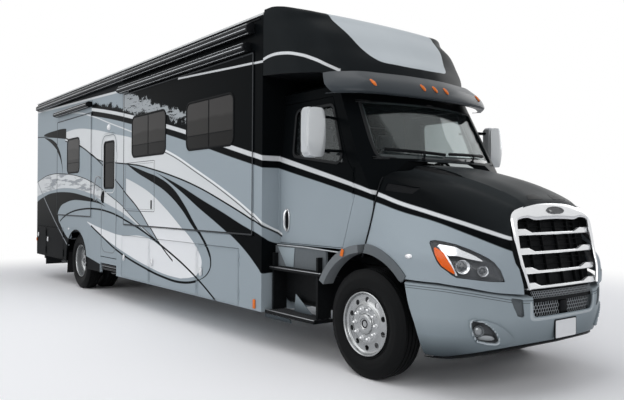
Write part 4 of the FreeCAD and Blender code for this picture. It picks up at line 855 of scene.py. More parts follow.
def on_corner(lines, across, along, inward):
    """A way from places on the corner view to places in space: the nearest point of a fine grid, moved in
    that view's own plane by what is left over, and then straight in by a depth."""
    fine = surface(right_of(lines), across, along).reshape(-1, 3)
    seen = lamp_place(fine)

    def found(places, depth=0.0):
        near = np.argmin(((seen[None] - np.asarray(places, float)[:, None]) ** 2).sum(-1), axis=1)
        left_over = np.asarray(places, float) - seen[near]
        shift = left_over[:, :1] * np.array((1, 1, 0)) / math.sqrt(2) + left_over[:, 1:] * np.array((0, 0, 1))
        return fine[near] + shift + inward * depth

    return found


on_wing = on_corner(WING, 24, 24, -np.array(CORNER) / np.linalg.norm(CORNER))


def wing_patch(depth, outline, grown=0.0):
    """The part of the wing inside an outline, sunk by a depth, on both sides."""
    return patch_on(WING, -depth, inside_of(lamp_place, outline, grown), CORNER, 16, 16)


def dish(seat, outline, depth, power, left, steps, toward):
    """An outline drawn in towards its middle, ring by ring, down to a share of its size. The depth goes as
    a power of the way in, below one, so its wall is steep and its floor nearly flat."""
    rim = np.asarray(outline, float)
    middle = rim.mean(0)
    grid = np.stack([seat(middle + (rim - middle) * (1 - way * (1 - left)), depth * way ** power)
                     for way in np.linspace(0, 1, steps)])
    points, faces = of_grid(grid, ring=True)
    last = (steps - 1) * len(rim) + np.arange(len(rim))
    fan = np.stack([last, np.roll(last, -1), np.full(len(rim), len(points))], 1)
    return facing((np.concatenate([points, grid[-1].mean(0)[None]]), np.concatenate([halved(faces), fan])),
                  toward)


def turned(profile, place, axis, steps=32):
    """A profile of (along, radius) pairs spun round an axis through a place: each point goes round a circle
    of its radius, in the two directions square to the axis."""
    ahead = np.asarray(axis, float) / np.linalg.norm(axis)
    aside = np.cross(ahead, (0, 0, 1) if abs(ahead[2]) < 0.9 else (1, 0, 0))
    aside = aside / np.linalg.norm(aside)
    turn = circle(steps)[None, :, None]
    line = np.asarray(profile, float)
    spoke = np.cos(turn) * aside + np.sin(turn) * np.cross(ahead, aside)
    return of_grid(np.asarray(place, float) + line[:, None, :1] * ahead + line[:, None, 1:] * spoke,
                   ring=True)


def dome(foot, high, radius):
    """Profile of a lens: a quarter of an oval from its foot up to the middle."""
    reach = np.linspace(0, math.pi / 2, 7)
    return np.stack([foot + high * np.sin(reach), radius * np.cos(reach) + 1e-4], 1)


bowl = dish(on_wing, rounded(LAMP_OUTLINE, 0.02, 4), 0.058, 0.5, 0.8, 7, CORNER)
lamp_bowls = built("headlight_bowls", both_sides(bowl), bowl_grey, "bonnet", crisp=50.0)
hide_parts("headlights")
built("headlight_reflectors", wing_patch(0.016, rounded(REFLECTOR, 0.006, 3)), mirror_bright, "bonnet",
      wall=0.004)
built("turn_lamps", wing_patch(0.008, rounded(AMBER_LENS, 0.01, 4)), amber_glow, "bonnet", wall=0.006)
built("headlight_dividers", wing_patch(0.01, rounded(DIVIDER, 0.004, 3)), mirror_bright, "bonnet", wall=0.012)
built("headlight_covers", wing_patch(0.001, LAMP_OUTLINE, -0.002), cover_clear, "bonnet", crisp=60.0)

LOOK = (0.8, -0.6, 0.02)
rings, lenses = [], []
for along, up, radius in PROJECTORS:
    seat = on_wing([(along, up)], 0.052)[0]
    shape = [(0.0, radius * 0.62), (0.004, radius * 0.95), (0.03, radius), (0.034, radius * 0.97),
             (0.03, radius * 0.9), (0.012, radius * 0.66), (0.01, radius * 0.6)]
    rings.append(both_sides(turned(shape, seat, LOOK)))
    lenses.append(both_sides(turned(dome(0.01, 0.016, radius * 0.6), seat, LOOK)))
built("projector_rims", gathered(*rings), mirror_bright, "bonnet", closed=True, crisp=50.0)
lens_dark = finished("lens_dark", (0.06, 0.065, 0.07), 0.05, coat=1.0, grain=80.0, spread=0.2)
built("projector_lenses", gathered(*lenses), lens_dark, "bonnet", closed=True, crisp=60.0)

# small side turn lamp on each wing's flank, and its bright rim
SIDE_LAMP = (5.224, 1.192)
spots = []
for radius, deep in ((1.0, 0.012), (0.72, 0.019)):
    turn = circle(24)
    way = np.linspace(0, 1, 5)[:, None]
    x = SIDE_LAMP[0] + 0.052 * radius * np.cos(turn) * np.cos(way * math.pi / 2)
    z = SIDE_LAMP[1] + 0.023 * radius * np.sin(turn) * np.cos(way * math.pi / 2)
    y = -1.186 - deep * np.sin(way * math.pi / 2) + 0.0 * turn
    spots.append(facing(of_grid(np.stack([x, y, z], -1), ring=True), (0, -1, 0)))
built("side_lamp_rims", both_sides(spots[0]), mirror_bright, "bonnet", crisp=60.0)
built("side_lamps", both_sides(spots[1]), finished("lens_clear", (0.55, 0.56, 0.57), 0.12, coat=0.8),
      "bonnet",
      crisp=60.0)

# ---------------------------------------------------------------- grille
# A bright plated surround, open at its foot, carries four bowed bars with thicker stepped ends. Behind
# them stand a black mesh and dark slats, and a blank oval badge sits on the surround's head.
GRILLE_LEAN = 0.206
GRILLE_MIDDLE = 1.388
GRILLE_FACE = 5.8435
SURROUND_OUTER = ((5.948, 0.53, 0.93), (5.925, 0.572, 1.07), (5.896, 0.592, 1.17), (5.868, 0.605, 1.285),
                  (5.842, 0.612, 1.42), (5.818, 0.606, 1.52), (5.806, 0.56, 1.578), (5.806, 0.46, 1.612),
                  (5.812, 0.33, 1.634), (5.816, 0.165, 1.648), (5.817, 0.0, 1.652))
SURROUND_INNER = ((5.948, 0.512, 0.93), (5.93, 0.548, 1.07), (5.905, 0.558, 1.17), (5.88, 0.56, 1.285),
                  (5.858, 0.552, 1.4), (5.842, 0.543, 1.496), (5.841, 0.5, 1.519), (5.843, 0.4, 1.527),
                  (5.85, 0.3, 1.508), (5.853, 0.145, 1.513), (5.854, 0.0, 1.516))
BARS = (
    # height of the middle, half width
    (1.388, 0.56),
    (1.226, 0.562),
    (1.065, 0.552),
    (0.937, 0.53),
)
BAR_HALF = 0.0108


def grille_face(out, up):
    """How far forward the grille's face lies: it leans back with height and bows out towards its middle."""
    return GRILLE_FACE - (up - GRILLE_MIDDLE) * GRILLE_LEAN + 0.02 * (1 - (out / 0.6) ** 2) - 0.008


def banded(outer, inner, crown):
    """A band between two lines, raised along its middle by `crown` as a half wave."""
    t = np.linspace(0, 1, 7)[:, None, None]
    a, b = through(outer, 6), through(inner, 6)
    return a * (1 - t) + b * t + np.array((crown, 0.0, 0.0)) * np.sin(math.pi * t)


plated = finished("plated", (0.78, 0.79, 0.8), 0.13, metal=0.65, grain=9.0, spread=0.05)
half_band = banded(right_of(SURROUND_OUTER), right_of(SURROUND_INNER), 0.016)
half_form = facing(of_grid(half_band), (1, 0, 0.1))
built("grille_surround", both_sides(half_form), plated, "bonnet", wall=0.016, crisp=40.0, soften=0.003)


def bar(middle, half):
    """A bar as a closed ring of corners carried across: its top steps up near each end over a short slope,
    and its face follows the grille's bow."""
    out = np.concatenate([-np.linspace(half, 0.44, 6), np.linspace(-0.42, -0.33, 4),
                          np.linspace(-0.28, 0.28, 13),
                          np.linspace(0.33, 0.42, 4), np.linspace(0.44, half, 6)])
    step = np.clip((np.abs(out) - 0.33) / 0.09, 0, 1)
    top = middle + BAR_HALF + 0.032 * step
    foot = np.full_like(out, middle - BAR_HALF)
    face = grille_face(out, middle)
    corners = [(face - 0.03, foot), (face - 0.004, foot), (face, foot + 0.005), (face - 0.004, top - 0.006),
               (face - 0.01, top), (face - 0.034, top)]
    return capped(np.stack([np.stack([x, out, z], -1) for x, z in corners], 1))


bars = gathered(*[bar(middle, half) for middle, half in BARS])
grille_bars = built("grille_bars", bars, plated, "bonnet", closed=True, crisp=40.0)
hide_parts("grille")

u, v = np.meshgrid(np.linspace(0.9, 1.56, 12), np.linspace(-1, 1, 25), indexing="ij")
out = v * np.interp(u, (0.9, 1.07, 1.47, 1.56), (0.5, 0.548, 0.545, 0.4))
core = np.stack([grille_face(out, u) - 0.062, out, u], -1)
built("grille_mesh", facing(of_grid(core), (1, 0, 0)), mesh_black, "bonnet", wall=0.004, crisp=60.0)


def block(low, high):
    """A plain box from its lowest to its highest corner, as points and six faces."""
    corner = np.array([(x, y, z) for x in (0, 1) for y in (0, 1) for z in (0, 1)], float)
    points = np.asarray(low, float) + corner * (np.asarray(high, float) - np.asarray(low, float))
    return points, np.array(((0, 1, 3, 2), (4, 6, 7, 5), (0, 4, 5, 1), (2, 3, 7, 6), (0, 2, 6, 4),
                             (1, 5, 7, 3)))


core_black = finished("core_black", (0.0045, 0.005, 0.0055), 0.5, grain=120.0, bump=0.2,
                      Specular_IOR_Level=0.03)
slats = []
for out in (-0.34, -0.16, 0.06, 0.26, 0.38):
    slats.append(block((-0.04, out - 0.006, 0.93), (-0.012, out + 0.006, 1.5)))
    slats[-1][0][:, 0] += grille_face(out, slats[-1][0][:, 2]) - 0.022
for up in (1.12, 1.17, 1.28, 1.33, 1.44, 1.48):
    slats.append(block((-0.036, -0.5, up - 0.004), (-0.02, 0.5, up + 0.004)))
    slats[-1][0][:, 0] += grille_face(0.3, up) - 0.022
built("grille_slats", gathered(*slats), core_black, "bonnet", closed=True, soften=0.001)

# black finishing strip down the outside of each arm, between the surround and the bonnet
ARM_STRIP = ((5.872, 0.606, 1.34), (5.886, 0.603, 1.285), (5.912, 0.592, 1.17), (5.932, 0.574, 1.07),
             (5.948, 0.54, 0.94))
arm_line = right_of(ARM_STRIP)
arm_strip = facing(of_grid(banded(arm_line + (-0.034, -0.036, 0), arm_line + (-0.01, 0.012, 0), 0.004)),
                   (1, -0.4, 0))
built("grille_arm_strips", both_sides(arm_strip), core_black, "bonnet", wall=0.006, crisp=40.0)

BADGE_UP = 1.592
BADGE_FACE = 5.846


def oval(half_wide, half_high, proud, rim):
    """A low oval dish of rings: wall, raised rim and sunk field, leaning with the surround's head."""
    rings = ((1.0, 0.0), (1.0, proud), (1 - rim, proud + 0.002), (1 - rim * 1.4, proud - 0.002),
             (0.4, proud - 0.001))
    share, ahead = np.array(rings).T[..., None]
    up = half_high * share * np.sin(circle(40))
    return capped(np.stack([BADGE_FACE + ahead - up * 0.45, half_wide * share * np.cos(circle(40)),
                            BADGE_UP + up],
                           -1), foot=False)


badge_grey = finished("badge_grey", (0.085, 0.088, 0.092), 0.25, metal=0.5)
built("grille_badge", oval(0.128, 0.034, 0.012, 0.16), badge_grey, "bonnet", closed=True, crisp=35.0)

# ---------------------------------------------------------------- front bumper
# A moulded and painted full-width bumper with a lower air opening that holds honeycomb mesh and a sensor,
# a sunk fog lamp and a small vent each side, and a blank number plate. It is bolted to the frame's ends.
BUMPER_LINES = np.array((
    ((5.16, 1.14, 0.972), (5.32, 1.13, 0.972), (5.46, 1.08, 0.972), (5.6, 0.97, 0.952), (5.76, 0.77, 0.917),
     (5.86, 0.55, 0.882), (5.9, 0.32, 0.872), (5.91, 0.0, 0.872)),
    ((5.16, 1.19, 0.962), (5.33, 1.18, 0.962), (5.49, 1.125, 0.962), (5.64, 1.01, 0.942),
     (5.81, 0.8, 0.902), (5.915, 0.57, 0.867), (5.95, 0.33, 0.857), (5.958, 0.0, 0.857)),
    ((5.17, 1.198, 0.93), (5.34, 1.19, 0.93), (5.5, 1.135, 0.93), (5.65, 1.02, 0.91), (5.82, 0.81, 0.87),
     (5.925, 0.575, 0.84), (5.955, 0.33, 0.83), (5.963, 0.0, 0.83)),
    ((5.21, 1.198, 0.78), (5.36, 1.19, 0.78), (5.51, 1.14, 0.78), (5.66, 1.02, 0.775), (5.82, 0.81, 0.76),
     (5.925, 0.58, 0.75), (5.955, 0.33, 0.745), (5.963, 0.0, 0.745)),
    ((5.28, 1.195, 0.62), (5.4, 1.185, 0.62), (5.53, 1.13, 0.62), (5.66, 1.02, 0.62), (5.8, 0.82, 0.62),
     (5.905, 0.58, 0.62), (5.945, 0.33, 0.62), (5.955, 0.0, 0.62)),
    ((5.33, 1.185, 0.48), (5.44, 1.165, 0.48), (5.54, 1.11, 0.48), (5.65, 1.0, 0.49), (5.78, 0.81, 0.505),
     (5.88, 0.58, 0.515), (5.925, 0.33, 0.52), (5.94, 0.0, 0.52)),
    ((5.36, 1.165, 0.385), (5.45, 1.145, 0.385), (5.54, 1.09, 0.39), (5.64, 0.985, 0.405),
     (5.765, 0.8, 0.435), (5.86, 0.575, 0.46), (5.91, 0.33, 0.47), (5.925, 0.0, 0.47)),
    ((5.37, 1.12, 0.36), (5.44, 1.1, 0.363), (5.52, 1.05, 0.368), (5.61, 0.95, 0.388), (5.73, 0.77, 0.418),
     (5.82, 0.55, 0.443), (5.87, 0.32, 0.453), (5.885, 0.0, 0.453)),
))
AIR_OPENING = rounded(((0.47, 0.995), (0.462, 0.735), (0.43, 0.69), (-0.43, 0.69), (-0.462, 0.735),
                       (-0.47, 0.995)), 0.03)
FOG_POCKET = rounded(((3.34, 0.685), (3.44, 0.667), (3.505, 0.628), (3.552, 0.572), (3.588, 0.487),
                      (3.486, 0.496), (3.405, 0.515), (3.366, 0.576)), 0.02)
FOG_BROW = rounded(((3.318, 0.7), (3.45, 0.69), (3.56, 0.652), (3.632, 0.604), (3.735, 0.5), (3.6, 0.478),
                    (3.486, 0.48), (3.39, 0.497), (3.344, 0.576)), 0.03)
SMALL_VENT = rounded(((3.668, 0.868), (3.78, 0.85), (3.797, 0.692), (3.735, 0.712), (3.7, 0.785)), 0.012)


def from_ahead(points):
    """Places as seen from ahead, across and up."""
    return points[:, [1, 2]]


def bumper_kept(points):
    """Above 0 on the moulding: outside the air opening, the fog lamp pockets, the vents and the wheel."""
    fore = points[:, 0] > 5.88
    opening = np.where(fore, -edge_distance(from_ahead(points), AIR_OPENING), 1.0)
    pocket = -edge_distance(lamp_place(points), FOG_POCKET)
    vent = -edge_distance(lamp_place(points), SMALL_VENT)
    return np.minimum.reduce([opening, pocket, vent, from_axle(points) - 0.645])


BUMPER_OUT = (0.8, -0.6, 0)
smooth_bumper = surface(right_of(BUMPER_LINES), 10, 12)
bumper_half = trimmed(facing(of_grid(smooth_bumper), BUMPER_OUT), bumper_kept)
BUMPER_TOP = ((5.1, 0.962), (5.49, 0.962), (5.64, 0.942), (5.81, 0.902), (5.915, 0.867), (5.97, 0.855))


def bumper_colour(x, y, z, place):
    """Silver with painted shade that darkens it low down, and a nearly black painted shadow low on the sides
    by the wheel, with two fine grooves under the top edge.
    """
    under = swept(x, BUMPER_TOP) - z
    grooves = under.within(0.022, 0.028, 0.002).most(under.within(0.042, 0.047, 0.002))
    silver = laid((0.265, 0.31, 0.335), place.speckle(2.0, 2.0), (0.295, 0.34, 0.365))
    # painted shade: the silver darkens towards the bottom
    shaded_low = laid(silver, z.under(0.54, 0.16), (0.125, 0.153, 0.17))
    # painted shadow: nearly black low on the sides, near the front wheel
    shaded_foot = laid(shaded_low, z.under(0.45, 0.1) * x.under(5.72, 0.12), (0.03, 0.037, 0.042))
    return laid(shaded_foot, grooves, (0.07, 0.08, 0.088))


bumper_paint = painted("bumper_silver", bumper_colour)
bumper_skin = built("front_bumper_skin", both_sides(bumper_half), bumper_paint, "chassis", wall=0.008,
                    crisp=40.0)
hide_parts("front_bumper")


def bumper_patch(proud, keep):
    """The part of the bumper's face that a test keeps, moved out square to itself, on both sides."""
    return patch_on(BUMPER_LINES, proud, keep, BUMPER_OUT, 10, 12)


on_bumper = on_corner(BUMPER_LINES, 20, 24, np.array((-0.8, 0.6, 0)))


def brow_kept(points):
    """Above 0 on the raised brow round the fog lamp's pocket."""
    seen = lamp_place(points)
    return np.minimum(edge_distance(seen, FOG_BROW), -edge_distance(seen, FOG_POCKET) - 0.004)


def ring_kept(points):
    """Above 0 on the narrow bright ring round the fog lamp's pocket."""
    gap = -edge_distance(lamp_place(points), FOG_POCKET)
    return np.minimum(gap - 0.002, 0.016 - gap)


rim_silver = finished("rim_silver", (0.4, 0.445, 0.47), 0.25, metal=0.2, coat=0.2, grain=8.0, spread=0.05)
built("fog_brows", bumper_patch(0.016, brow_kept), bumper_paint, "chassis", wall=0.02, soften=0.006)
built("fog_trim", bumper_patch(0.02, ring_kept), rim_silver, "chassis", wall=0.022, soften=0.003)
for name, outline, depth, left, finish in (("fog_pockets", FOG_POCKET, 0.055, 0.85, bowl_grey),
                                           ("small_vents", SMALL_VENT, 0.022, 0.9, arch_grey)):
    form = dish(on_bumper, outline, depth, 0.6, left, 5, BUMPER_OUT)
    built(name, both_sides(form), finish, "chassis", crisp=50.0)

fog_seat = on_bumper([(3.41, 0.59)], 0.052)[0]
fog_chrome = finished("fog_chrome", (0.26, 0.275, 0.285), 0.22, metal=0.6, coat=0.1, grain=14.0, spread=0.2)
fog_shape = [(0.0, 0.03), (0.006, 0.048), (0.034, 0.05), (0.038, 0.047), (0.034, 0.044), (0.014, 0.036)]
FOG_LOOK = (0.85, -0.53, 0.0)
built("fog_rims", both_sides(turned(fog_shape, fog_seat, FOG_LOOK)), fog_chrome, "chassis", closed=True)
fog_lens = turned(dome(0.014, 0.02, 0.04), fog_seat, FOG_LOOK)
built("fog_lenses", both_sides(fog_lens), fog_chrome, "chassis", closed=True, crisp=60.0)
strip_silver = finished("strip_silver", (0.42, 0.44, 0.45), 0.3, metal=0.3, grain=40.0, spread=0.2)
bars_low = [(3.395, 0.522), (3.45, 0.512), (3.52, 0.506), (3.56, 0.515), (3.52, 0.545), (3.46, 0.552),
            (3.42, 0.545)]
fog_strip = bumper_patch(-0.03, inside_of(lamp_place, rounded(bars_low, 0.008, 3)))
built("fog_strips", fog_strip, strip_silver, "chassis", wall=0.006)


def honeycomb(places, cell, wall, deep):
    """Six-sided tubes set on a grid of places: an outer and an inner ring of six points in the face, and the
    inner ring again further back. Each point is the middle plus the ring's radius at its corner's angle."""
    angle = np.radians(30 + 60 * np.arange(6))
    ring = np.stack([np.cos(angle), np.sin(angle)], -1)
    middle = np.asarray(places, float)[:, None, None]
    radius = cell / math.sqrt(3)
    flat = middle + ring[None, None] * np.array((radius, radius - wall, radius - wall))[None, :, None, None]
    depth = np.broadcast_to(np.array((0.0, 0.0, -deep))[None, :, None, None], flat[..., :1].shape)
    points = np.concatenate([depth, flat], -1)
    k = np.arange(6)
    ring_faces = np.stack([k, (k + 1) % 6, 6 + (k + 1) % 6, 6 + k], 1)
    one = np.concatenate([ring_faces, ring_faces + 6])
    faces = (one[None] + 18 * np.arange(len(points))[:, None, None]).reshape(-1, 4)
    return points.reshape(-1, 3), faces


def comb_places(low, high, cell):
    """Staggered rows of places filling a box: every other row is shifted by half a cell."""
    rows = np.arange(low[1], high[1], cell * math.sqrt(3) / 2)
    columns = np.arange(low[0], high[0], cell)
    place, row = np.meshgrid(columns, np.arange(len(rows)))
    return np.stack([place + (row % 2) * cell / 2, rows[row]], -1).reshape(-1, 2)


def bumper_front(out, up):
    """How far forward the bumper's middle stands at a place across and up: the nearest point of its grid."""
    fine = np.concatenate([smooth_bumper, smooth_bumper * (1, -1, 1)]).reshape(-1, 3)
    gap = (fine[None, :, 1] - out[:, None]) ** 2 + (fine[None, :, 2] - up[:, None]) ** 2
    return fine[np.argmin(gap, axis=1), 0]


def bowed(front, across):
    """How far forward a flat insert of the air opening stands: bent back with the bumper towards its ends."""
    return front - np.interp(np.abs(across), (0, 0.33, 0.52), (0, 0.008, 0.032))


comb = comb_places((-0.45, 0.704), (0.45, 0.805), 0.034)
comb = comb[(np.abs(comb[:, 0]) > 0.06) & (edge_distance(comb, AIR_OPENING) > 0.006)]
slots = comb_places((-0.455, 0.856), (0.455, 0.912), 0.023)
comb_grey = finished("comb_grey", (0.34, 0.36, 0.375), 0.35, metal=0.3, grain=90.0)
for name, places, cell, wall, deep, front in (("air_honeycomb", comb, 0.034, 0.0022, 0.005, 5.93),
                                              ("air_slots", slots, 0.023, 0.0017, 0.004, 5.948)):
    form = honeycomb(places, cell, wall, deep)
    form[0][:, 0] += bowed(front, form[0][:, 1])
    built(name, facing(form, (1, 0, 0)), comb_grey, "chassis", crisp=60.0, merge=0.00005)

u, v = np.meshgrid(np.linspace(0.675, 0.955, 7), np.linspace(-0.49, 0.49, 21), indexing="ij")
back = np.stack([bowed(5.905, v), v, u], -1)
built("air_backing", facing(of_grid(back), (1, 0, 0)), core_black, "chassis", wall=0.006)
RIM_OUTER = ((0.508, 0.86), (0.506, 0.8), (0.502, 0.73), (0.484, 0.68), (0.435, 0.656), (0.3, 0.654),
             (0.15, 0.654), (0.0, 0.654))
RIM_INNER = ((0.466, 0.86), (0.464, 0.8), (0.46, 0.745), (0.448, 0.708), (0.422, 0.69), (0.3, 0.688),
             (0.15, 0.688), (0.0, 0.688))


def on_front(line, proud):
    """Places (out, up) laid on the bumper's front, proud by a distance."""
    flat = np.asarray(line, float)
    return np.stack([bumper_front(flat[:, 0], flat[:, 1]) + proud, -flat[:, 0], flat[:, 1]], -1)


rim = facing(of_grid(banded(on_front(RIM_OUTER, -0.001), on_front(RIM_INNER, -0.006), 0.008)), (1, 0, 0))
built("air_rim", both_sides(rim), rim_silver, "chassis", wall=0.008, crisp=45.0)
u, v = np.meshgrid(np.array((0.806, 0.812, 0.846, 0.852)), np.linspace(-0.468, 0.468, 21), indexing="ij")
rail = np.stack([bowed(5.946, v) - 0.014 * (np.abs(u - 0.829) > 0.02), v, u], -1)
built("air_rail", facing(of_grid(rail), (1, 0, 0)), satin_black, "chassis", wall=0.012)
sensor = rounded(((-0.052, 0.7), (0.052, 0.7), (0.052, 0.8), (-0.052, 0.8)), 0.008, 3)


def raised(outlines, heights):
    """Closed outlines with a height each, as rows of (across, up, height)."""
    return np.stack([np.concatenate([flat, np.full((len(flat), 1), high)], 1)
                     for flat, high in zip(np.asarray(outlines, float), heights)])


def slab(outline, low, high, seat):
    """A flat outline carried from one height to another and closed at both ends; `seat` places rows of
    (across, up, height) in space."""
    return capped(seat(raised([outline, outline], (low, high))))


def ahead_of(x, way=1):
    """A seat whose height counts forward from x, or back for -1."""
    return lambda rows: np.stack([x + way * rows[..., 2], rows[..., 0], rows[..., 1]], -1)


def beside(out):
    """A seat on the right side whose height counts outwards from a distance from the middle."""
    return lambda rows: np.stack([rows[..., 0], -(out + rows[..., 2]), rows[..., 1]], -1)


built("air_sensor", slab(sensor, 0.0, 0.028, ahead_of(5.912)), satin_black, "chassis", closed=True,
      soften=0.003)

# blank plate in its dark frame, hung from the bumper's middle
frame_line = rounded(((-0.168, 0.468), (0.168, 0.468), (0.168, 0.646), (-0.168, 0.646)), 0.012, 4)
plate_line = rounded(((-0.156, 0.484), (0.156, 0.484), (0.156, 0.636), (-0.156, 0.636)), 0.01, 4)
built("plate_frame", slab(frame_line, 0.0, 0.007, ahead_of(5.9535)), satin_black, "chassis", closed=True)
plate_white = finished("plate_white", (0.74, 0.75, 0.76), 0.35, coat=0.2, grain=18.0, spread=0.05)
built("plate_blank", slab(plate_line, 0.0, 0.0095, ahead_of(5.9545)), plate_white, "chassis", closed=True)

# dark painted lip under the bumper
LIP = ((5.4, 1.09, 0.352), (5.54, 1.02, 0.36), (5.64, 0.93, 0.376), (5.76, 0.75, 0.406), (5.84, 0.55, 0.43),
       (5.88, 0.32, 0.442), (5.893, 0.0, 0.442))
line = through(right_of(LIP), 6)
lip_grid = np.stack([line + (0, 0, 0.02), line + (0.004, 0, 0.0), line + (-0.02, 0, -0.018),
                     line + (-0.1, 0, -0.02)])
built("bumper_lip", both_sides(facing(of_grid(lip_grid), (1, -0.3, -1))), satin_black, "chassis", wall=0.005)

# ---------------------------------------------------------------- wheels and tyres
# Ten-stud disc wheels of forged and polished aluminium with round hand holes and bright nut covers, on
# plain steel hubs. They carry ribbed steel-belted tyres, single in front and in pairs behind.
TYRE_CROWN = 0.5145
SPREAD = 72                 # points round a tyre
FRONT_DISC = ((1.172, 0.3), (1.177, 0.2935), (1.173, 0.2865), (1.158, 0.281), (1.146, 0.277), (1.139, 0.27),
              (1.136, 0.258), (1.136, 0.24), (1.137, 0.222), (1.139, 0.206), (1.142, 0.192), (1.147, 0.182),
              (1.151, 0.176), (1.152, 0.168), (1.152, 0.15), (1.151, 0.12), (1.151, 0.104), (1.155, 0.098),
              (1.168, 0.094), (1.176, 0.088), (1.18, 0.078), (1.18, 0.055), (1.172, 0.05), (1.166, 0.03),
              (1.1655, 0.0015))
REAR_DISC = ((1.186, 0.3), (1.19, 0.2935), (1.184, 0.2865), (1.15, 0.28), (1.095, 0.272), (1.062, 0.262),
             (1.05, 0.25), (1.044, 0.235), (1.036, 0.205), (1.026, 0.182), (1.02, 0.176), (1.016, 0.17),
             (1.015, 0.15), (1.015, 0.128), (1.022, 0.122), (1.09, 0.116), (1.118, 0.11), (1.128, 0.098),
             (1.13, 0.05), (1.126, 0.046), (1.125, 0.0015))
HAND_HOLES = 10
HOLE_RADIUS = 0.026
STUD_CIRCLE = 0.1425


def tyre(inner, outer):
    """A tyre between two planes across: one profile spun round the axle. It climbs the inner wall from the
    bead, crosses the tread with its grooves and comes down the outer wall, where low rings stand proud."""
    wide = outer - inner
    wall = ((0.055, 0.292), (0.02, 0.302), (0.01, 0.318), (0.018, 0.326), (0.006, 0.345), (0.0, 0.385),
            (0.001, 0.41), (-0.0, 0.414), (0.003, 0.432), (0.012, 0.458), (0.014, 0.462), (0.018, 0.477),
            (0.02, 0.481), (0.026, 0.492), (0.034, 0.502))
    near = [(inner + a, r) for a, r in wall]
    far = [(outer - a, r) for a, r in wall[::-1]]
    start, end = inner + 0.04, outer - 0.04
    tread = []
    grooves = (0.16, 0.38, 0.62, 0.84)
    at = start
    for share in grooves:
        middle = start + (end - start) * share
        tread += [(at, TYRE_CROWN), (middle - 0.0065, TYRE_CROWN), (middle - 0.0045, TYRE_CROWN - 0.013),
                  (middle + 0.0045, TYRE_CROWN - 0.013)]
        at = middle + 0.0065
    tread += [(at, TYRE_CROWN), (end, TYRE_CROWN)]
    crowned = [(a, r - 0.008 * (2 * (a - (start + end) / 2) / wide) ** 2) for a, r in tread]
    return near + crowned + far


def spun_grid(profile, x, up, steps):
    """Rows of a profile of (out, radius) pairs carried round a wheel's axle, on the right side."""
    line = np.asarray(profile, float)
    rows = x + line[:, 1:] * np.cos(circle(steps)), -line[:, :1], up + line[:, 1:] * np.sin(circle(steps))
    return np.stack(np.broadcast_arrays(*rows), -1)


def spun(profile, x, up, steps=SPREAD):
    """A closed profile spun round a wheel's axle."""
    return facing_out(of_grid(spun_grid(profile, x, up, steps), ring=True), (x, 0, up))


def facing_out(form, middle):
    """Turn a closed spun form so that its faces look away from its own axle, on the whole."""
    points, faces = form
    a, b, c = points[faces[:, 0]], points[faces[:, 1]], points[faces[:, 2]]
    look = np.cross(b - a, c - a)
    away = (a + c) / 2 - (np.array((1, 0, 1)) * middle + np.array((0, 1, 0)) * points[:, 1].mean())
    return (points, faces) if (look * away).sum() > 0 else (points, faces[:, ::-1])


# matt black rubber, a little dusty, with a fine grain
tyre_rubber = finished("tyre_rubber", (0.0058, 0.0062, 0.0066), 0.55, grain=70.0, spread=0.3, worn=0.12,
                       Specular_IOR_Level=0.06)
uneven(tyre_rubber.node_tree.nodes["Principled BSDF"],
       axes_of(tyre_rubber.node_tree)[3].speckle(140.0, 4.0), 0.35)
polished = finished("polished_aluminium", (0.36, 0.37, 0.375), 0.2, metal=0.85, grain=14.0, spread=0.08,
                    worn=0.25)
hub_steel = finished("hub_steel", (0.3, 0.31, 0.32), 0.38, metal=0.8, grain=50.0, spread=0.15)


def hole_places(x, up, radius, count, turned_by=0.0):
    """Places evenly round a wheel."""
    turn = 2 * math.pi * np.arange(count) / count + turned_by
    return np.stack([x + radius * np.cos(turn), up + radius * np.sin(turn)], -1)


def disc(profile, x, up, hole_circle):
    """A wheel disc: its profile spun and pierced by ten round holes."""
    rims = hole_places(x, up, hole_circle, HAND_HOLES, math.pi / HAND_HOLES)

    def pierced(points):
        away = np.linalg.norm(points[:, None][:, :, [0, 2]] - rims[None], axis=2).min(1) - HOLE_RADIUS
        outer_part = np.hypot(points[:, 0] - x, points[:, 2] - up) > 0.27
        return np.where(outer_part, 1.0, away)

    face = of_grid(spun_grid(through(profile, 3), x, up, 120), ring=True)
    return trimmed(facing(face, (0, -1, 0)), pierced)


def nut_covers(x, up, out, high):
    """Ten bright covers over the wheel nuts: a short barrel that tapers to a rounded nose."""
    shape = [(0.0, 0.0195), (0.006, 0.02), (0.008, 0.0165), (high * 0.55, 0.015), (high * 0.85, 0.0105),
             (high, 0.004), (high + 0.001, 0.0006)]
    places = hole_places(x, up, STUD_CIRCLE, 10)
    return gathered(*[turned(shape, (a, -out, b), (0, -1, 0), 14) for a, b in places])


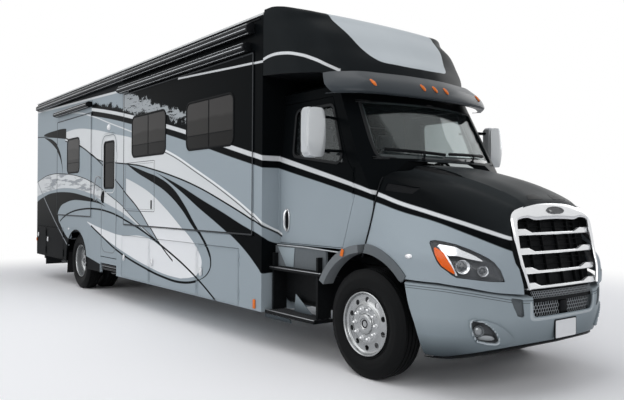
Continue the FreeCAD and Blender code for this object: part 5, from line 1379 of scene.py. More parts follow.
FRONT_X, REAR_X, HUB_UP = 4.6215, -3.2965, 0.515
WHEELS = (
    # name, x, tyre planes across, disc, hole circle, nut base, nut height
    ("front", FRONT_X, ((0.903, 1.179),), FRONT_DISC, 0.226, 1.152, 0.04),
    ("rear", REAR_X, ((0.592, 0.862), (0.94, 1.212)), REAR_DISC, 0.214, 1.015, 0.052),
)
SIDES = {"right": lambda form: form, "left": other_side}
for name, x, planes, shape, hole_circle, nut_base, nut_high in WHEELS:
    tyres = gathered(*[spun(tyre(a, b), x, HUB_UP) for a, b in planes])
    face = disc(shape, x, HUB_UP, hole_circle)
    nuts = nut_covers(x, HUB_UP, nut_base, nut_high)
    inner_edge = planes[0][0] + 0.022
    barrel = spun([(inner_edge, 0.3), (inner_edge + 0.004, 0.29), (inner_edge + 0.03, 0.279),
                   (planes[-1][1] - 0.05, 0.279)], x, HUB_UP)
    hub = spun([(planes[-1][0] + 0.02, 0.09), (planes[-1][0] + 0.02, 0.12), (nut_base - 0.012, 0.12),
                (nut_base - 0.012, 0.09)], x, HUB_UP, 40)
    cap_at = shape[-1][0]
    ring = turned([(0.0, 0.04), (0.004, 0.039), (0.005, 0.03), (0.001, 0.028)], (x, -cap_at, HUB_UP),
                  (0, -1, 0))
    for side, placed in SIDES.items():
        body = "front_wheel_" + side if name == "front" else "rear_wheels_" + side
        seen_tyres = built(f"{name}_tread_{side}", placed(tyres), tyre_rubber, body, crisp=32.0)
        seen_disc = built(f"{name}_disc_{side}", placed(face), polished, body, wall=0.01, crisp=35.0,
                          merge=0.0004)
        built(f"{name}_nuts_{side}", placed(nuts), plated, body, closed=True, crisp=40.0)
        built(f"{name}_barrel_{side}", placed(barrel), hub_steel, body, wall=0.006, crisp=35.0)
        built(f"{name}_hub_{side}", placed(hub), hub_steel, body, closed=True, crisp=35.0)
        built(f"{name}_hub_ring_{side}", placed(ring), satin_black, body, closed=True, crisp=35.0)
        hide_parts(("front_tyre_" if name == "front" else "rear_tyres_") + side)
        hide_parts(("front_rim_" if name == "front" else "rear_rims_") + side)

# ---------------------------------------------------------------- front cap and sun visor
# A one-piece moulded fairing closes the box over the cab. It is painted black with a silver panel on its
# brow and a white line along its flank. A painted visor with five amber lamps hangs under its foot.
CAP_ROWS = np.array((
    # from the foot up; each row runs from the box's corner round to the middle
    ((3.037, 1.28, 3.06), (3.38, 1.275, 3.03), (3.65, 1.23, 3.005), (3.83, 1.12, 2.995),
     (3.96, 0.99, 2.992), (4.08, 0.84, 2.992), (4.17, 0.62, 2.992), (4.25, 0.3, 2.992), (4.268, 0, 2.992)),
    ((3.037, 1.28, 3.16), (3.36, 1.273, 3.14), (3.61, 1.22, 3.13), (3.78, 1.11, 3.125), (3.91, 1.03, 3.125),
     (4.01, 0.87, 3.125), (4.1, 0.6, 3.13), (4.165, 0.29, 3.135), (4.185, 0, 3.135)),
    ((3.037, 1.28, 3.3), (3.33, 1.27, 3.28), (3.56, 1.21, 3.27), (3.71, 1.1, 3.27), (3.84, 1.03, 3.27),
     (3.92, 0.88, 3.27), (3.985, 0.6, 3.27), (4.04, 0.29, 3.27), (4.055, 0, 3.27)),
    ((3.037, 1.28, 3.46), (3.28, 1.265, 3.45), (3.49, 1.2, 3.45), (3.63, 1.1, 3.45), (3.74, 1.03, 3.45),
     (3.81, 0.88, 3.45), (3.865, 0.58, 3.45), (3.9, 0.28, 3.45), (3.905, 0, 3.45)),
    ((3.037, 1.28, 3.62), (3.23, 1.255, 3.61), (3.4, 1.2, 3.61), (3.52, 1.11, 3.61), (3.6, 1.0, 3.61),
     (3.665, 0.84, 3.61), (3.705, 0.58, 3.61), (3.73, 0.28, 3.61), (3.735, 0, 3.61)),
    ((3.037, 1.272, 3.76), (3.19, 1.255, 3.765), (3.34, 1.205, 3.745), (3.45, 1.13, 3.72),
     (3.53, 1.01, 3.71), (3.58, 0.86, 3.7), (3.61, 0.58, 3.7), (3.625, 0.28, 3.7), (3.63, 0, 3.7)),
    ((3.037, 1.21, 3.805), (3.17, 1.2, 3.803), (3.28, 1.15, 3.79), (3.37, 1.07, 3.768), (3.42, 0.94, 3.755),
     (3.44, 0.79, 3.75), (3.46, 0.54, 3.748), (3.47, 0.26, 3.747), (3.475, 0, 3.747)),
    ((3.037, 0.8, 3.822), (3.08, 0.79, 3.822), (3.12, 0.76, 3.821), (3.15, 0.71, 3.819),
     (3.17, 0.63, 3.816), (3.18, 0.53, 3.814), (3.19, 0.36, 3.812), (3.195, 0.17, 3.811), (3.2, 0, 3.811)),
    ((3.037, 0.0, 3.826), (3.05, 0.0, 3.826), (3.06, 0.0, 3.826), (3.07, 0.0, 3.826), (3.08, 0.0, 3.826),
     (3.09, 0.0, 3.825), (3.1, 0.0, 3.824), (3.11, 0.0, 3.823), (3.12, 0.0, 3.822)),
))
PANEL_EDGE = ((3.1, 0.0), (3.118, 0.36), (3.135, 0.5), (3.17, 0.56), (3.25, 0.625), (3.407, 0.715),
              (3.56, 0.78), (3.67, 0.805), (3.75, 0.79), (3.8, 0.7), (3.83, 0.55))
FLANK_LINE = ((2.2, 2.92), (2.5, 3.06), (2.8, 3.175), (3.0, 3.225), (3.2, 3.253), (3.4, 3.245),
              (3.6, 3.205), (3.75, 3.145), (3.88, 3.075), (3.98, 3.01))


def cap_colour(x, y, z, place):
    """Black, with the silver brow panel between the two sides of one curve of height, and the line along
    the flank."""
    out = abs(y)
    patchy = place.speckle(1.2, 2.0)
    panel = out.under(swept(z, PANEL_EDGE)) * z.within(3.105, 3.83) * x.over(3.3)
    line = abs(z - swept(x, FLANK_LINE)).under(0.016, 0.003) * x.within(3.0, 3.99) * out.over(0.75)
    black = laid((0.011, 0.013, 0.014), patchy * 0.5, (0.017, 0.019, 0.021))
    browed = laid(black, panel, laid((0.46, 0.5, 0.525), patchy, (0.54, 0.58, 0.6)))
    return laid(browed, line, STRIPE_PALE)


cap_paint = painted("cap_paint", cap_colour)
cap_half = facing(of_grid(surface(right_of(CAP_ROWS), 8, 8)), (0.5, -1, 0.7))
cap_shell = built("cap_shell", both_sides(cap_half), cap_paint, "chassis", wall=0.008, crisp=40.0,
                  merge=0.0006)
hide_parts("front_cap")
foot = through(right_of(CAP_ROWS[0]), 8)
under = np.stack([foot, foot * (1, 0.6, 1) + (-0.1, 0, 0), foot * (0, 0, 1) + (3.1, 0, 0)])
built("cap_underside", both_sides(facing(of_grid(under), (0, 0, -1))), satin_black, "chassis", wall=-0.006,
      crisp=50.0)

VISOR_ROWS = np.array((
    # from under the lower edge and up the face; each row runs from the outer end to the middle
    ((3.99, 1.15, 2.748), (4.08, 1.13, 2.748), (4.163, 1.02, 2.748), (4.25, 0.86, 2.748),
     (4.32, 0.6, 2.748), (4.35, 0.3, 2.748), (4.36, 0, 2.748)),
    ((4.13, 1.15, 2.738), (4.163, 1.1, 2.738), (4.24, 1.03, 2.736), (4.34, 0.89, 2.736),
     (4.405, 0.6, 2.736), (4.435, 0.3, 2.736), (4.445, 0, 2.736)),
    ((4.1, 1.18, 2.765), (4.155, 1.135, 2.765), (4.25, 1.045, 2.762), (4.355, 0.9, 2.76),
     (4.42, 0.61, 2.76), (4.452, 0.3, 2.76), (4.463, 0, 2.76)),
    ((4.03, 1.19, 2.83), (4.11, 1.15, 2.83), (4.215, 1.05, 2.828), (4.33, 0.89, 2.825), (4.395, 0.6, 2.825),
     (4.43, 0.3, 2.825), (4.44, 0, 2.825)),
    ((3.98, 1.17, 2.9), (4.06, 1.125, 2.9), (4.155, 1.035, 2.9), (4.27, 0.87, 2.9), (4.335, 0.59, 2.9),
     (4.375, 0.3, 2.9), (4.385, 0, 2.9)),
    ((3.93, 1.14, 2.97), (4.0, 1.08, 2.98), (4.07, 0.98, 2.985), (4.17, 0.82, 2.989), (4.225, 0.57, 2.989),
     (4.275, 0.29, 2.989), (4.29, 0, 2.989)),
))
visor_skins = [facing(of_grid(surface(right_of(VISOR_ROWS[:2]), 4, 8)), (0, 0, -1)),
               facing(of_grid(surface(right_of(VISOR_ROWS[1:]), 6, 8)), (1, -0.6, 0.4))]
slate = finished("visor_slate", (0.036, 0.043, 0.049), 0.28, coat=0.08, grain=3.0, spread=0.06, worn=0.05)
visor_shell = built("visor_shell", gathered(*[both_sides(form) for form in visor_skins]), slate, "chassis",
                    wall=0.006,
                    crisp=35.0, merge=0.0006)
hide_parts("sun_visor")
visor_fine = surface(right_of(VISOR_ROWS[1:]), 16, 24).reshape(-1, 3)
visor_fine = np.concatenate([visor_fine, visor_fine * (1, -1, 1)])
MARKER_LAMPS = ((-0.812, 2.852), (-0.179, 2.856), (0.0, 2.856), (0.179, 2.856), (0.812, 2.852))
markers = []
for out, up in MARKER_LAMPS:
    turn = circle(16)
    rings = []
    for share, proud in ((1.0, -0.004), (1.0, 0.006), (0.75, 0.014), (0.25, 0.018)):
        high = 0.05 * share * np.sin(turn)
        wide = 0.021 * share * np.cos(turn) - high * 0.16
        near = np.argmin((visor_fine[None, :, 1] - (out + wide)[:, None]) ** 2
                         + (visor_fine[None, :, 2] - (up + high * 0.78)[:, None]) ** 2, axis=1)
        rings.append(np.stack([visor_fine[near, 0] + proud, out + wide, up + high * 0.78], -1))
    rings.append(np.repeat(rings[-1].mean(0)[None] + (0.001, 0, 0), 16, axis=0))
    markers.append(facing(of_grid(np.stack(rings), ring=True), (1, 0, 0)))
marker_amber = amber("marker_amber", (0.7, 0.16, 0.02))
built("marker_lamps", gathered(*markers), marker_amber, "chassis", crisp=40.0)

# ---------------------------------------------------------------- cab
# The truck cab's pressed shell, doors and pillars are painted with the body. The curved screen is bonded
# in behind a black edge; the doors carry rubber window beads, pull handles and mirrors on black arms.
SCREEN_LOW, SCREEN_HIGH = np.array((4.4755, 2.061)), np.array((4.1265, 2.683))
SCREEN_RADIUS = 2.239
SCREEN_BOW = 0.2
SCREEN_EDGE = ((-0.885, 2.086), (0.885, 2.086), (0.885, 2.3), (0.85, 2.663), (0.805, 2.683),
               (-0.805, 2.683), (-0.85, 2.663), (-0.885, 2.3))
DOOR_WINDOW = ((3.3215, 2.162), (4.1615, 2.045), (3.9315, 2.645), (3.3215, 2.645))
CAB_SIDE, BELT, LEAN = 1.068, 2.03, 0.0915


def on_screen(across, up, proud=0.0):
    """A place on the screen: the leaning line between its lower and upper corners, moved out square to the
    line by the bow less the circle's sag at that distance from the middle."""
    run = SCREEN_HIGH - SCREEN_LOW
    ahead = np.array((run[1], -run[0])) / np.linalg.norm(run)
    out = SCREEN_BOW - (SCREEN_RADIUS - np.sqrt(SCREEN_RADIUS ** 2 - across ** 2)) + proud
    share = (up - SCREEN_LOW[1] - ahead[1] * out) / run[1]
    return np.stack([SCREEN_LOW[0] + run[0] * share + ahead[0] * out, across + 0 * up, up + 0 * across], -1)


def cab_side(points, proud=0.0):
    """Distance of the cab's side from the middle at a height: upright to the belt, then leaning in."""
    return CAB_SIDE + proud - np.maximum(points - BELT, 0) * LEAN


def tinted(name, tint, body, veil, edge_of=None):
    """Tinted glass: what lies behind shows through its tint, with a thin grey veil and a mirror shine that
    grows at a glance; `edge_of` gives the place of its baked black edge."""
    material, solid, x, y, z, place = fresh(name, Roughness=0.08, Specular_IOR_Level=0.3)
    tree = material.node_tree
    cloudy = place.speckle(1.5, 2.0)
    fed(solid, Base_Color=laid(body, cloudy, [c * 1.5 for c in body]))
    clear, mirror, glance = glazing(tree, tint, 0.03, 1.5)
    see_through = joint_of(tree, "ShaderNodeMixShader", glance * 0.2, clear, mirror).outputs[0]
    veiled = cloudy.scaled(0.1, veil)
    shown(tree, "Material Output", edge_of(y, z).most(veiled) if edge_of else veiled, see_through,
          solid.outputs["BSDF"])
    return material


def screen_edge(y, z):
    """The baked black edge along the foot, head and sides, and the shade band under the head."""
    return z.scaled(0.09, abs(y)).over(1.052).most(z.under(2.125, 0.006)).most(z.over(2.662))


dress(tinted("screen_glass", (0.82, 0.86, 0.86), (0.03, 0.038, 0.039), 0.03, screen_edge), "windshield")
dress(tinted("door_glass", (0.86, 0.89, 0.89), (0.03, 0.034, 0.036), 0.2), "cab_door_glass_left",
      "cab_door_glass_right")


def grown(outline, by):
    """A closed outline moved out square to itself: each point goes along the normal to the line between its
    neighbours, whichever way round the outline runs."""
    points = np.asarray(outline, float)
    run = np.roll(points, -1, 0) - np.roll(points, 1, 0)
    square = np.stack([run[:, 1], -run[:, 0]], 1) / np.linalg.norm(run, axis=1)[:, None]
    area = (points[:, 0] * np.roll(points[:, 1], -1) - np.roll(points[:, 0], -1) * points[:, 1]).sum()
    return points + square * by * np.sign(area)


def framed(outline, wide, proud, seat):
    """A half-round frame along an outline: its section's corners are (in or out, height) pairs, and `seat`
    places rows of (along, up, height) in space."""
    section = ((-1, -0.3), (-1, 0.55), (-0.55, 1), (0.55, 1), (1, 0.55), (1, -0.3), (-1, -0.3))
    return of_grid(seat(raised([grown(outline, side * wide / 2) for side, high in section],
                               [high * proud for side, high in section])), ring=True)


rubber_black = finished("rubber_black", (0.012, 0.013, 0.014), 0.5, grain=200.0, bump=0.15)
screen_line = rounded(SCREEN_EDGE, 0.06, 6)
screen_line = through(np.concatenate([screen_line, screen_line[:1]]), 2)[:-1]
screen_bead = framed(screen_line, 0.028, 0.01, lambda rows: on_screen(*np.moveaxis(rows, -1, 0)))
built("screen_bead", screen_bead, rubber_black, "chassis", closed=True, crisp=45.0)


def door_seat(rows):
    """Places on the right door's outer face."""
    return np.stack([rows[..., 0], -cab_side(rows[..., 1], rows[..., 2]), rows[..., 1]], -1)


window_line = rounded(DOOR_WINDOW, 0.06, 6)
window_bead = framed(grown(window_line, 0.012), 0.03, 0.006, door_seat)
HANDLE_X, HANDLE_LOW, HANDLE_HIGH = 3.2165, 1.32, 1.57
sine = np.sin(circle(32))
middle_up, half_up = (HANDLE_LOW + HANDLE_HIGH) / 2, (HANDLE_HIGH - HANDLE_LOW) / 2
recess_line = np.stack([HANDLE_X + 0.046 * np.cos(circle(32)),
                        middle_up + half_up * np.sign(sine) * np.abs(sine) ** 0.7], 1)
recess_lines = [recess_line, recess_line, grown(recess_line, -0.006), grown(recess_line, -0.012)]
recess = capped(door_seat(raised(recess_lines, (0.0, 0.004, 0.005, 0.002))), foot=False)


def rod_along(path, radius, sides=12, flat=1.0):
    """A round bar along a path: at each point a circle in the two directions square to the path, the second
    of them scaled by `flat`, closed at both ends."""
    line = np.asarray(path, float)
    run = np.gradient(line, axis=0)
    run /= np.linalg.norm(run, axis=1)[:, None]
    helper = np.array((0, 0, 1.0)) if abs(run[:, 2]).mean() < 0.7 else np.array((1.0, 0, 0))
    aside = np.cross(run, helper)
    aside /= np.linalg.norm(aside, axis=1)[:, None]
    rise = np.cross(aside, run)
    turn = circle(sides)[None, :, None]
    spokes = np.cos(turn) * aside[:, None] + np.sin(turn) * rise[:, None] * flat
    return capped(line[:, None] + radius * spokes)


pull = through([(HANDLE_X - 0.004, -1.07, HANDLE_LOW + 0.015), (HANDLE_X - 0.006, -1.092, HANDLE_LOW + 0.05),
                (HANDLE_X - 0.006, -1.097, middle_up), (HANDLE_X - 0.006, -1.092, HANDLE_HIGH - 0.05),
                (HANDLE_X - 0.004, -1.07, HANDLE_HIGH - 0.015)], 6)
handle = rod_along(pull, 0.015, 10, 0.7)
handle_rim = framed(recess_line, 0.012, 0.007, door_seat)

# mirrors: a bright convex cover on the front of each head, a flat glass behind, and two black arms
HEAD_X, HEAD_UP, HEAD_OUT = 4.1015, 2.34, 1.3925
u, v = np.meshgrid(np.concatenate([[-1], np.linspace(-0.985, 0.985, 17), [1]]),
                   np.concatenate([[-1], np.linspace(-0.985, 0.985, 25), [1]]), indexing="ij")
corner = np.maximum(np.abs(u), np.abs(v))
ring_scale = corner / np.maximum((np.abs(u) ** 5 + np.abs(v) ** 5) ** 0.2, 1e-9)
across, tall = u * ring_scale, v * ring_scale
bulge = 0.06 * (1 - np.minimum(across ** 2 * 0.55 + tall ** 2 * 0.45, 1.0)) ** 0.5
taper = 1 - 0.1 * np.clip(-tall - 0.3, 0, 1) ** 1.5 * (across < 0)
cover_grid = np.stack([np.where(corner > 0.999, HEAD_X - 0.052, HEAD_X + 0.03 + bulge),
                       -(HEAD_OUT - across * 0.1065 * taper), HEAD_UP - 0.012 + tall * 0.2425], -1)
mirror_cover = facing(of_grid(cover_grid), (1, 0, 0))
glass_line = rounded(((-1.492, 2.125), (-1.293, 2.125), (-1.293, 2.555), (-1.492, 2.555)), 0.03, 5)
mirror_glass = slab(glass_line, 0.0, 0.004, ahead_of(4.0465, -1))
arm_forms = [rod_along(through([(4.06, -1.3, up), (back - 0.02, -1.2, up + 0.004),
                                (back - 0.1, -1.075, up)], 5),
                       0.016, 10) for up, back in ((2.16, 4.06), (2.5, 3.95))]
cover_silver = finished("mirror_cover", (0.52, 0.54, 0.55), 0.22, metal=0.3, coat=0.4, grain=6.0, spread=0.06)
mirror_face = finished("mirror_face", (0.75, 0.77, 0.79), 0.03, metal=1.0, grain=5.0, spread=0.02, worn=0.02)
reflector_line = rounded(((4.305, 1.132), (4.345, 1.125), (4.365, 1.19), (4.332, 1.205)), 0.006, 3)

for side, placed in SIDES.items():
    body = "cab_door_" + side
    built(f"door_window_bead_{side}", placed(window_bead), rubber_black, body, closed=True, crisp=45.0)
    built(f"door_handle_recess_{side}", placed(recess), satin_black, body, closed=True, crisp=35.0)
    built(f"door_handle_rim_{side}", placed(handle_rim), plated, body, closed=True, crisp=45.0)
    built(f"door_handle_{side}", placed(handle), plated, body, closed=True, crisp=50.0)
    built(f"mirror_cover_{side}", placed(mirror_cover), cover_silver, body, wall=0.003, crisp=50.0)
    built(f"mirror_glass_{side}", placed(mirror_glass), mirror_face, body, closed=True)
    built(f"mirror_arms_{side}", placed(gathered(*arm_forms)), satin_black, body, closed=True, crisp=50.0)
marker = slab(reflector_line, 0.0, 0.006, beside(1.207))
built("door_foot_markers", both_sides(marker), marker_amber, "chassis", closed=True)

# wipers: two arms from the screen's foot, each with a long blade lying on the glass
WIPERS = (
    # pivot across, blade from and to (across, up)
    (-0.42, (-0.8, 2.175), (-0.12, 2.14)),
    (0.3, (-0.06, 2.15), (0.62, 2.165)),
)
wiper_forms = []
for pivot, start, end in WIPERS:
    share = np.linspace(0, 1, 14)
    blade = on_screen(start[0] + (end[0] - start[0]) * share, start[1] + (end[1] - start[1]) * share, 0.016)
    wiper_forms.append(rod_along(blade, 0.01, 8, 1.6))
    middle = on_screen(np.array((start[0] * 0.45 + end[0] * 0.55,)), np.array((2.155,)), 0.03)[0]
    foot_at = on_screen(np.array((pivot,)), np.array((2.092,)), 0.02)[0]
    knee = (middle + foot_at) / 2 + (0.02, 0, 0.02)
    wiper_forms.append(rod_along(through([foot_at, knee, middle], 5), 0.009, 8))
    wiper_forms.append(turned([(0.0, 0.0005), (0.0, 0.022), (0.014, 0.02), (0.02, 0.012), (0.02, 0.0005)],
                              foot_at - (0.01, 0, 0.012), (0.6, 0, 0.8), 16))
built("wipers", gathered(*wiper_forms), satin_black, "chassis", closed=True, crisp=50.0)

# rubber seal down the cab's edge behind the bonnet
seal_line = through(right_of(BONNET_LINES[:, 0]), 6)
seal_line = seal_line[(seal_line[:, 1] < -0.95) & (seal_line[:, 2] > 1.13)]
seal_rod = rod_along(seal_line + (-0.004, -0.004, 0.0), 0.008, 10, 0.9)
built("bonnet_seals", both_sides(seal_rod), satin_black, "chassis", closed=True, crisp=50.0)

# ---------------------------------------------------------------- cab steps and tank
# Under each cab door two pierced alloy treads are bolted to brackets on the fuel tank, with a painted
# fairing between the door and the upper tread and a quarter fender behind the front wheel.
def steps_colour(x, y, z, place):
    """The fairing and the step's skirt in silver, the quarter fender in arch grey, the rest dark."""
    out = abs(y)
    patchy = place.speckle(30.0, 4.0)
    fairing = z.within(0.93, 1.17) * out.within(1.068, 1.102) * x.under(4.2)
    flat = joint_of(x.tree, "ShaderNodeCombineXYZ", x - AXLE[0], 0.0, z - AXLE[1]).outputs[0]
    from_hub = Field(x.tree, flat).length()
    ring = from_hub.within(0.655, 0.75) * out.over(1.05) * z.over(0.8)
    dark = laid((0.0045, 0.005, 0.0055), patchy, (0.01, 0.011, 0.012))
    faired = laid(dark, fairing, laid((0.15, 0.168, 0.18), patchy, (0.175, 0.193, 0.205)))
    return laid(faired, ring, (0.15, 0.163, 0.172))


def plain_paint(name, colour_of, rough, metal=0.0):
    """A satin coat with a colour worked out by place."""
    material, shader, *axes = fresh(name, Roughness=rough, Metallic=metal, Specular_IOR_Level=0.05)
    fed(shader, Base_Color=colour_of(*axes))
    uneven(shader, axes[3].speckle(120.0), 0.12)
    return material


dress(plain_paint("step_finish", steps_colour, 0.4), "cab_steps")
alloy = finished("tread_alloy", (0.32, 0.33, 0.34), 0.4, metal=0.7, grain=90.0, spread=0.18, worn=0.2)
TREADS = (
    # along from and to, out from and to, top
    (3.0475, 3.9715, 1.0, 1.1875, 0.9205),
    (3.0475, 3.9315, 1.005, 1.2375, 0.4455),
)
tread_forms, edge_forms = [], []
for start, end, near, far, top in TREADS:
    places = comb_places((start + 0.03, near + 0.02), (end - 0.03, far - 0.012), 0.042)
    ring = np.stack([np.cos(circle(8)), np.sin(circle(8))], -1)
    radius = np.array((0.0165, 0.0145, 0.011, 0.0105))[:, None, None]
    high = np.array((0.0, 0.0045, 0.0045, 0.0005))[:, None]
    flat = places[:, None, None] + ring * radius
    points = np.stack([flat[..., 0], -flat[..., 1], np.broadcast_to(top + high, flat.shape[:3])], -1)
    faces = (woven(4, 8, ring=True)[None] + 32 * np.arange(len(places))[:, None, None]).reshape(-1, 4)
    tread_forms.append(facing((points.reshape(-1, 3), faces), (0, 0, 1)))
    edge_forms += [block((start, -far + 0.002, top - 0.0225), (end, -far + 0.018, top + 0.006)),
                   block((start, -near - 0.01, top - 0.004), (end, -near + 0.006, top + 0.006))]
tread_dark = finished("tread_dark", (0.045, 0.047, 0.05), 0.45, metal=0.4, grain=120.0, spread=0.3)
built("step_treads", both_sides(gathered(*tread_forms)), tread_dark, "chassis", crisp=40.0, merge=0.00005)
built("step_edges", both_sides(gathered(*edge_forms)), alloy, "chassis", closed=True, soften=0.002)
moulding = rod_along([(3.1, -1.105, 1.168), (3.6, -1.105, 1.168), (4.17, -1.105, 1.15)], 0.013, 10, 0.6)
built("fairing_mouldings", both_sides(moulding), cover_silver, "chassis", closed=True,
      crisp=50.0)

# silver skirt, gusset and upper plates, which show in the open space behind the steps
plates = gathered(
    slab(rounded(((3.04, 0.362), (3.55, 0.362), (3.5, 0.405), (3.04, 0.405)), 0.006, 3), 0.0, 0.01,
         beside(1.222)),
    slab(((3.33, 0.448), (3.66, 0.448), (3.36, 0.64)), 0.0, 0.008, beside(1.035)),
    slab(((3.1, 1.15), (3.42, 1.15), (3.4, 0.935), (3.27, 0.935)), 0.0, 0.006, beside(1.103)))
built("step_plates", both_sides(plates), bumper_paint, "chassis", closed=True, soften=0.002)

# ---------------------------------------------------------------- windows, slide-out trims and doors
# Dark tinted windows with round corners sit in black clamp frames. Rubber seals edge the slide-out rooms,
# and the entry door and luggage doors hang in thin aluminium frames with pull latches.
SLIDE_FACE = -float(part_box("slide_front_right")[0][1])
REAR_SLIDE_FACE = -float(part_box("slide_rear_right")[0][1])
WALL_FACE = 1.2825
BAY_FACE = -float(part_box("bay_door_right_2")[0][1])


def pane(name, dark_below, light, middle, dark):
    """Tinted pane with a painted reflection of the surroundings: pale at the top, darker under a slow
    wave, darkest in the lower sash."""
    material, shader, x, y, z, place = fresh(name, Roughness=0.05, Specular_IOR_Level=0.04)
    # painted reflection: a pale top, a darker middle under a wavy line and a darkest band below a level line
    wave = place.speckle(1.3, 2.0).scaled(0.22, dark_below + 0.09)
    fed(shader, Base_Color=laid(laid(light, z.under(wave, 0.02), middle), z.under(dark_below, 0.006), dark))
    return material


# tones of the painted reflection in the panes, from top to bottom
REFLECTION_TONES = (0.048, 0.046, 0.045), (0.032, 0.031, 0.03), (0.012, 0.012, 0.012)
DARK_REFLECTION_TONES = (0.014, 0.014, 0.014), (0.01, 0.01, 0.01), (0.006, 0.006, 0.006)
dress(pane("slide_panes", 2.5, *REFLECTION_TONES), "slide_glass_front_right", "slide_glass_front_left")
dress(pane("bedroom_panes", 2.42, *REFLECTION_TONES), "slide_glass_rear_right", "wall_glass_left")
dress(pane("entry_pane", 2.29, *DARK_REFLECTION_TONES), "entry_door_glass")


def oblong(x, wide, low, high, radius, steps=7):
    """A rounded rectangle round a middle x."""
    return rounded(((x - wide / 2, low), (x + wide / 2, low), (x + wide / 2, high), (x - wide / 2, high)),
                   radius, steps)


def bar_between(face, proud, left, low, right, high):
    """A flat rectangular bar lying on the right wall."""
    return strip(face, proud, (left, low), (right, low), (right, high), (left, high))


def strip(face, proud, *corners):
    """A flat bar lying on the right wall between (along, up) corners, from the wall out to its height."""
    return slab(corners, -0.002, proud, beside(face))


WINDOWS = (
    # body, face, middle, width, low, high, corner, sides, mullions across
    ("slide_front", SLIDE_FACE, 1.8247, 1.22, 2.32, 2.945, 0.1, ("right", "left"), (0.5,)),
    ("slide_front", SLIDE_FACE, -0.0262, 1.205, 2.32, 2.945, 0.1, ("right", "left"), (0.5,)),
    ("slide_rear", REAR_SLIDE_FACE, -3.4635, 0.71, 2.17, 2.82, 0.1, ("right",), ()),
    ("entry_door", WALL_FACE, -1.6335, 0.47, 1.855, 2.64, 0.06, ("right",), ()),
)
frame_black = finished("window_frame", (0.0055, 0.006, 0.0066), 0.42, grain=180.0, bump=0.15,
                       Specular_IOR_Level=0.03)
for number, (body, face, x, wide, low, high, corner, sides, posts) in enumerate(WINDOWS):
    line = oblong(x, wide, low, high, corner)
    forms = [framed(grown(line, -0.004), 0.03, 0.008, beside(face))]
    sash = low + (high - low) * (0.29 if body != "entry_door" else 0.55)
    forms.append(bar_between(face - 0.004, 0.007, x - wide / 2 + 0.012, sash - 0.006, x + wide / 2 - 0.012,
                             sash + 0.006))
    for share in posts:
        at = x - wide / 2 + wide * share
        forms.append(bar_between(face - 0.004, 0.009, at - 0.011, low + 0.01, at + 0.011, high - 0.01))
    for side in sides:
        rides = body if body == "entry_door" else body + "_" + side
        built(f"window_frame_{number}_{side}", SIDES[side](gathered(*forms)), frame_black, rides, closed=True,
              crisp=40.0)
left_frame = other_side(framed(oblong(-3.4635, 0.71, 2.17, 2.82, 0.1), 0.03, 0.008, beside(WALL_FACE)))
built("window_frame_bedroom_left", left_frame, frame_black, "chassis", closed=True, crisp=40.0)

# slide-out seals: a flat flange round each room's face
SLIDES = (
    # room, sides
    ("slide_front", ("right", "left")),
    ("slide_rear", ("right",)),
)
seal_dark = finished("seal_dark", (0.03, 0.033, 0.036), 0.45, grain=150.0, bump=0.1)
for body, sides in SLIDES:
    low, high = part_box(body + "_right")
    line = rounded(((low[0] + 0.012, low[2] + 0.012), (high[0] - 0.012, low[2] + 0.012),
                    (high[0] - 0.012, high[2] - 0.012), (low[0] + 0.012, high[2] - 0.012)), 0.015, 4)
    edge = framed(line, 0.018, 0.004, beside(-float(low[1]) - 0.001))
    for side in sides:
        built(f"{body}_edge_{side}", SIDES[side](edge), seal_dark, f"{body}_{side}", closed=True, crisp=40.0)

# entry door: light arched frame, pull handle, latch and grab rail; a porch lamp over it
DOOR_LOW, DOOR_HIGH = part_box("entry_door")
door_line = rounded(((DOOR_LOW[0] + 0.035, 0.78), (DOOR_HIGH[0] - 0.035, 0.78), (DOOR_HIGH[0] - 0.035, 2.745),
                     (DOOR_LOW[0] + 0.035, 2.745)), 0.17, 10)
frame_dim = finished("frame_dim", (0.2, 0.225, 0.24), 0.35, metal=0.1, grain=40.0, spread=0.05)
frame_pale = finished("frame_pale", (0.56, 0.58, 0.59), 0.35, metal=0.25, grain=40.0, spread=0.05)
built("entry_door_frame", framed(door_line, 0.016, 0.004, beside(WALL_FACE)), frame_dim, "entry_door",
      closed=True,
      crisp=40.0)
head_line = rounded(((-1.9, 1.78), (-1.375, 1.78), (-1.375, 2.722), (-1.9, 2.722)), 0.12, 8)
built("entry_window_surround", framed(head_line, 0.016, 0.005, beside(WALL_FACE)), frame_pale, "entry_door",
      closed=True, crisp=40.0)
grab = through([(-2.0435, -1.284, 2.045), (-2.06, -1.335, 2.06), (-2.1, -1.352, 1.98), (-2.155, -1.352, 1.8),
                (-2.19, -1.335, 1.66), (-2.2055, -1.284, 1.655)], 6)
rail_chrome = finished("rail_chrome", (0.3, 0.31, 0.32), 0.2, metal=0.7, grain=9.0, spread=0.1)
grab_seats = [turned([(0.0, 0.024), (0.006, 0.024), (0.01, 0.018), (0.01, 0.0005)], (x, -1.2825, z),
                     (0, -1, 0), 16)
              for x, z in ((-2.0435, 2.045), (-2.2055, 1.655))]
built("entry_grab_rail", gathered(rod_along(grab, 0.0095, 12), *grab_seats), rail_chrome, "chassis",
      closed=True,
      crisp=50.0)
latch_line = rounded(((-1.935, 1.6), (-1.868, 1.608), (-1.842, 1.8), (-1.895, 1.825), (-1.945, 1.78)), 0.02,
                     5)
latch_body = strip(WALL_FACE, 0.01, *latch_line)
latch_pull = rod_along(through([(-1.905, -1.292, 1.625), (-1.9, -1.312, 1.66), (-1.888, -1.314, 1.74),
                                (-1.88, -1.292, 1.785)], 5), 0.01, 10)
built("entry_latch", latch_body, satin_black, "entry_door", closed=True, soften=0.002)
built("entry_latch_pull", latch_pull, satin_black, "entry_door", closed=True, crisp=50.0)
porch = [(0.0, 0.052), (0.01, 0.052), (0.026, 0.044), (0.036, 0.026), (0.038, 0.0005)]
lens_white = finished("lamp_white", (0.78, 0.79, 0.8), 0.25, coat=0.5, grain=60.0, spread=0.05)
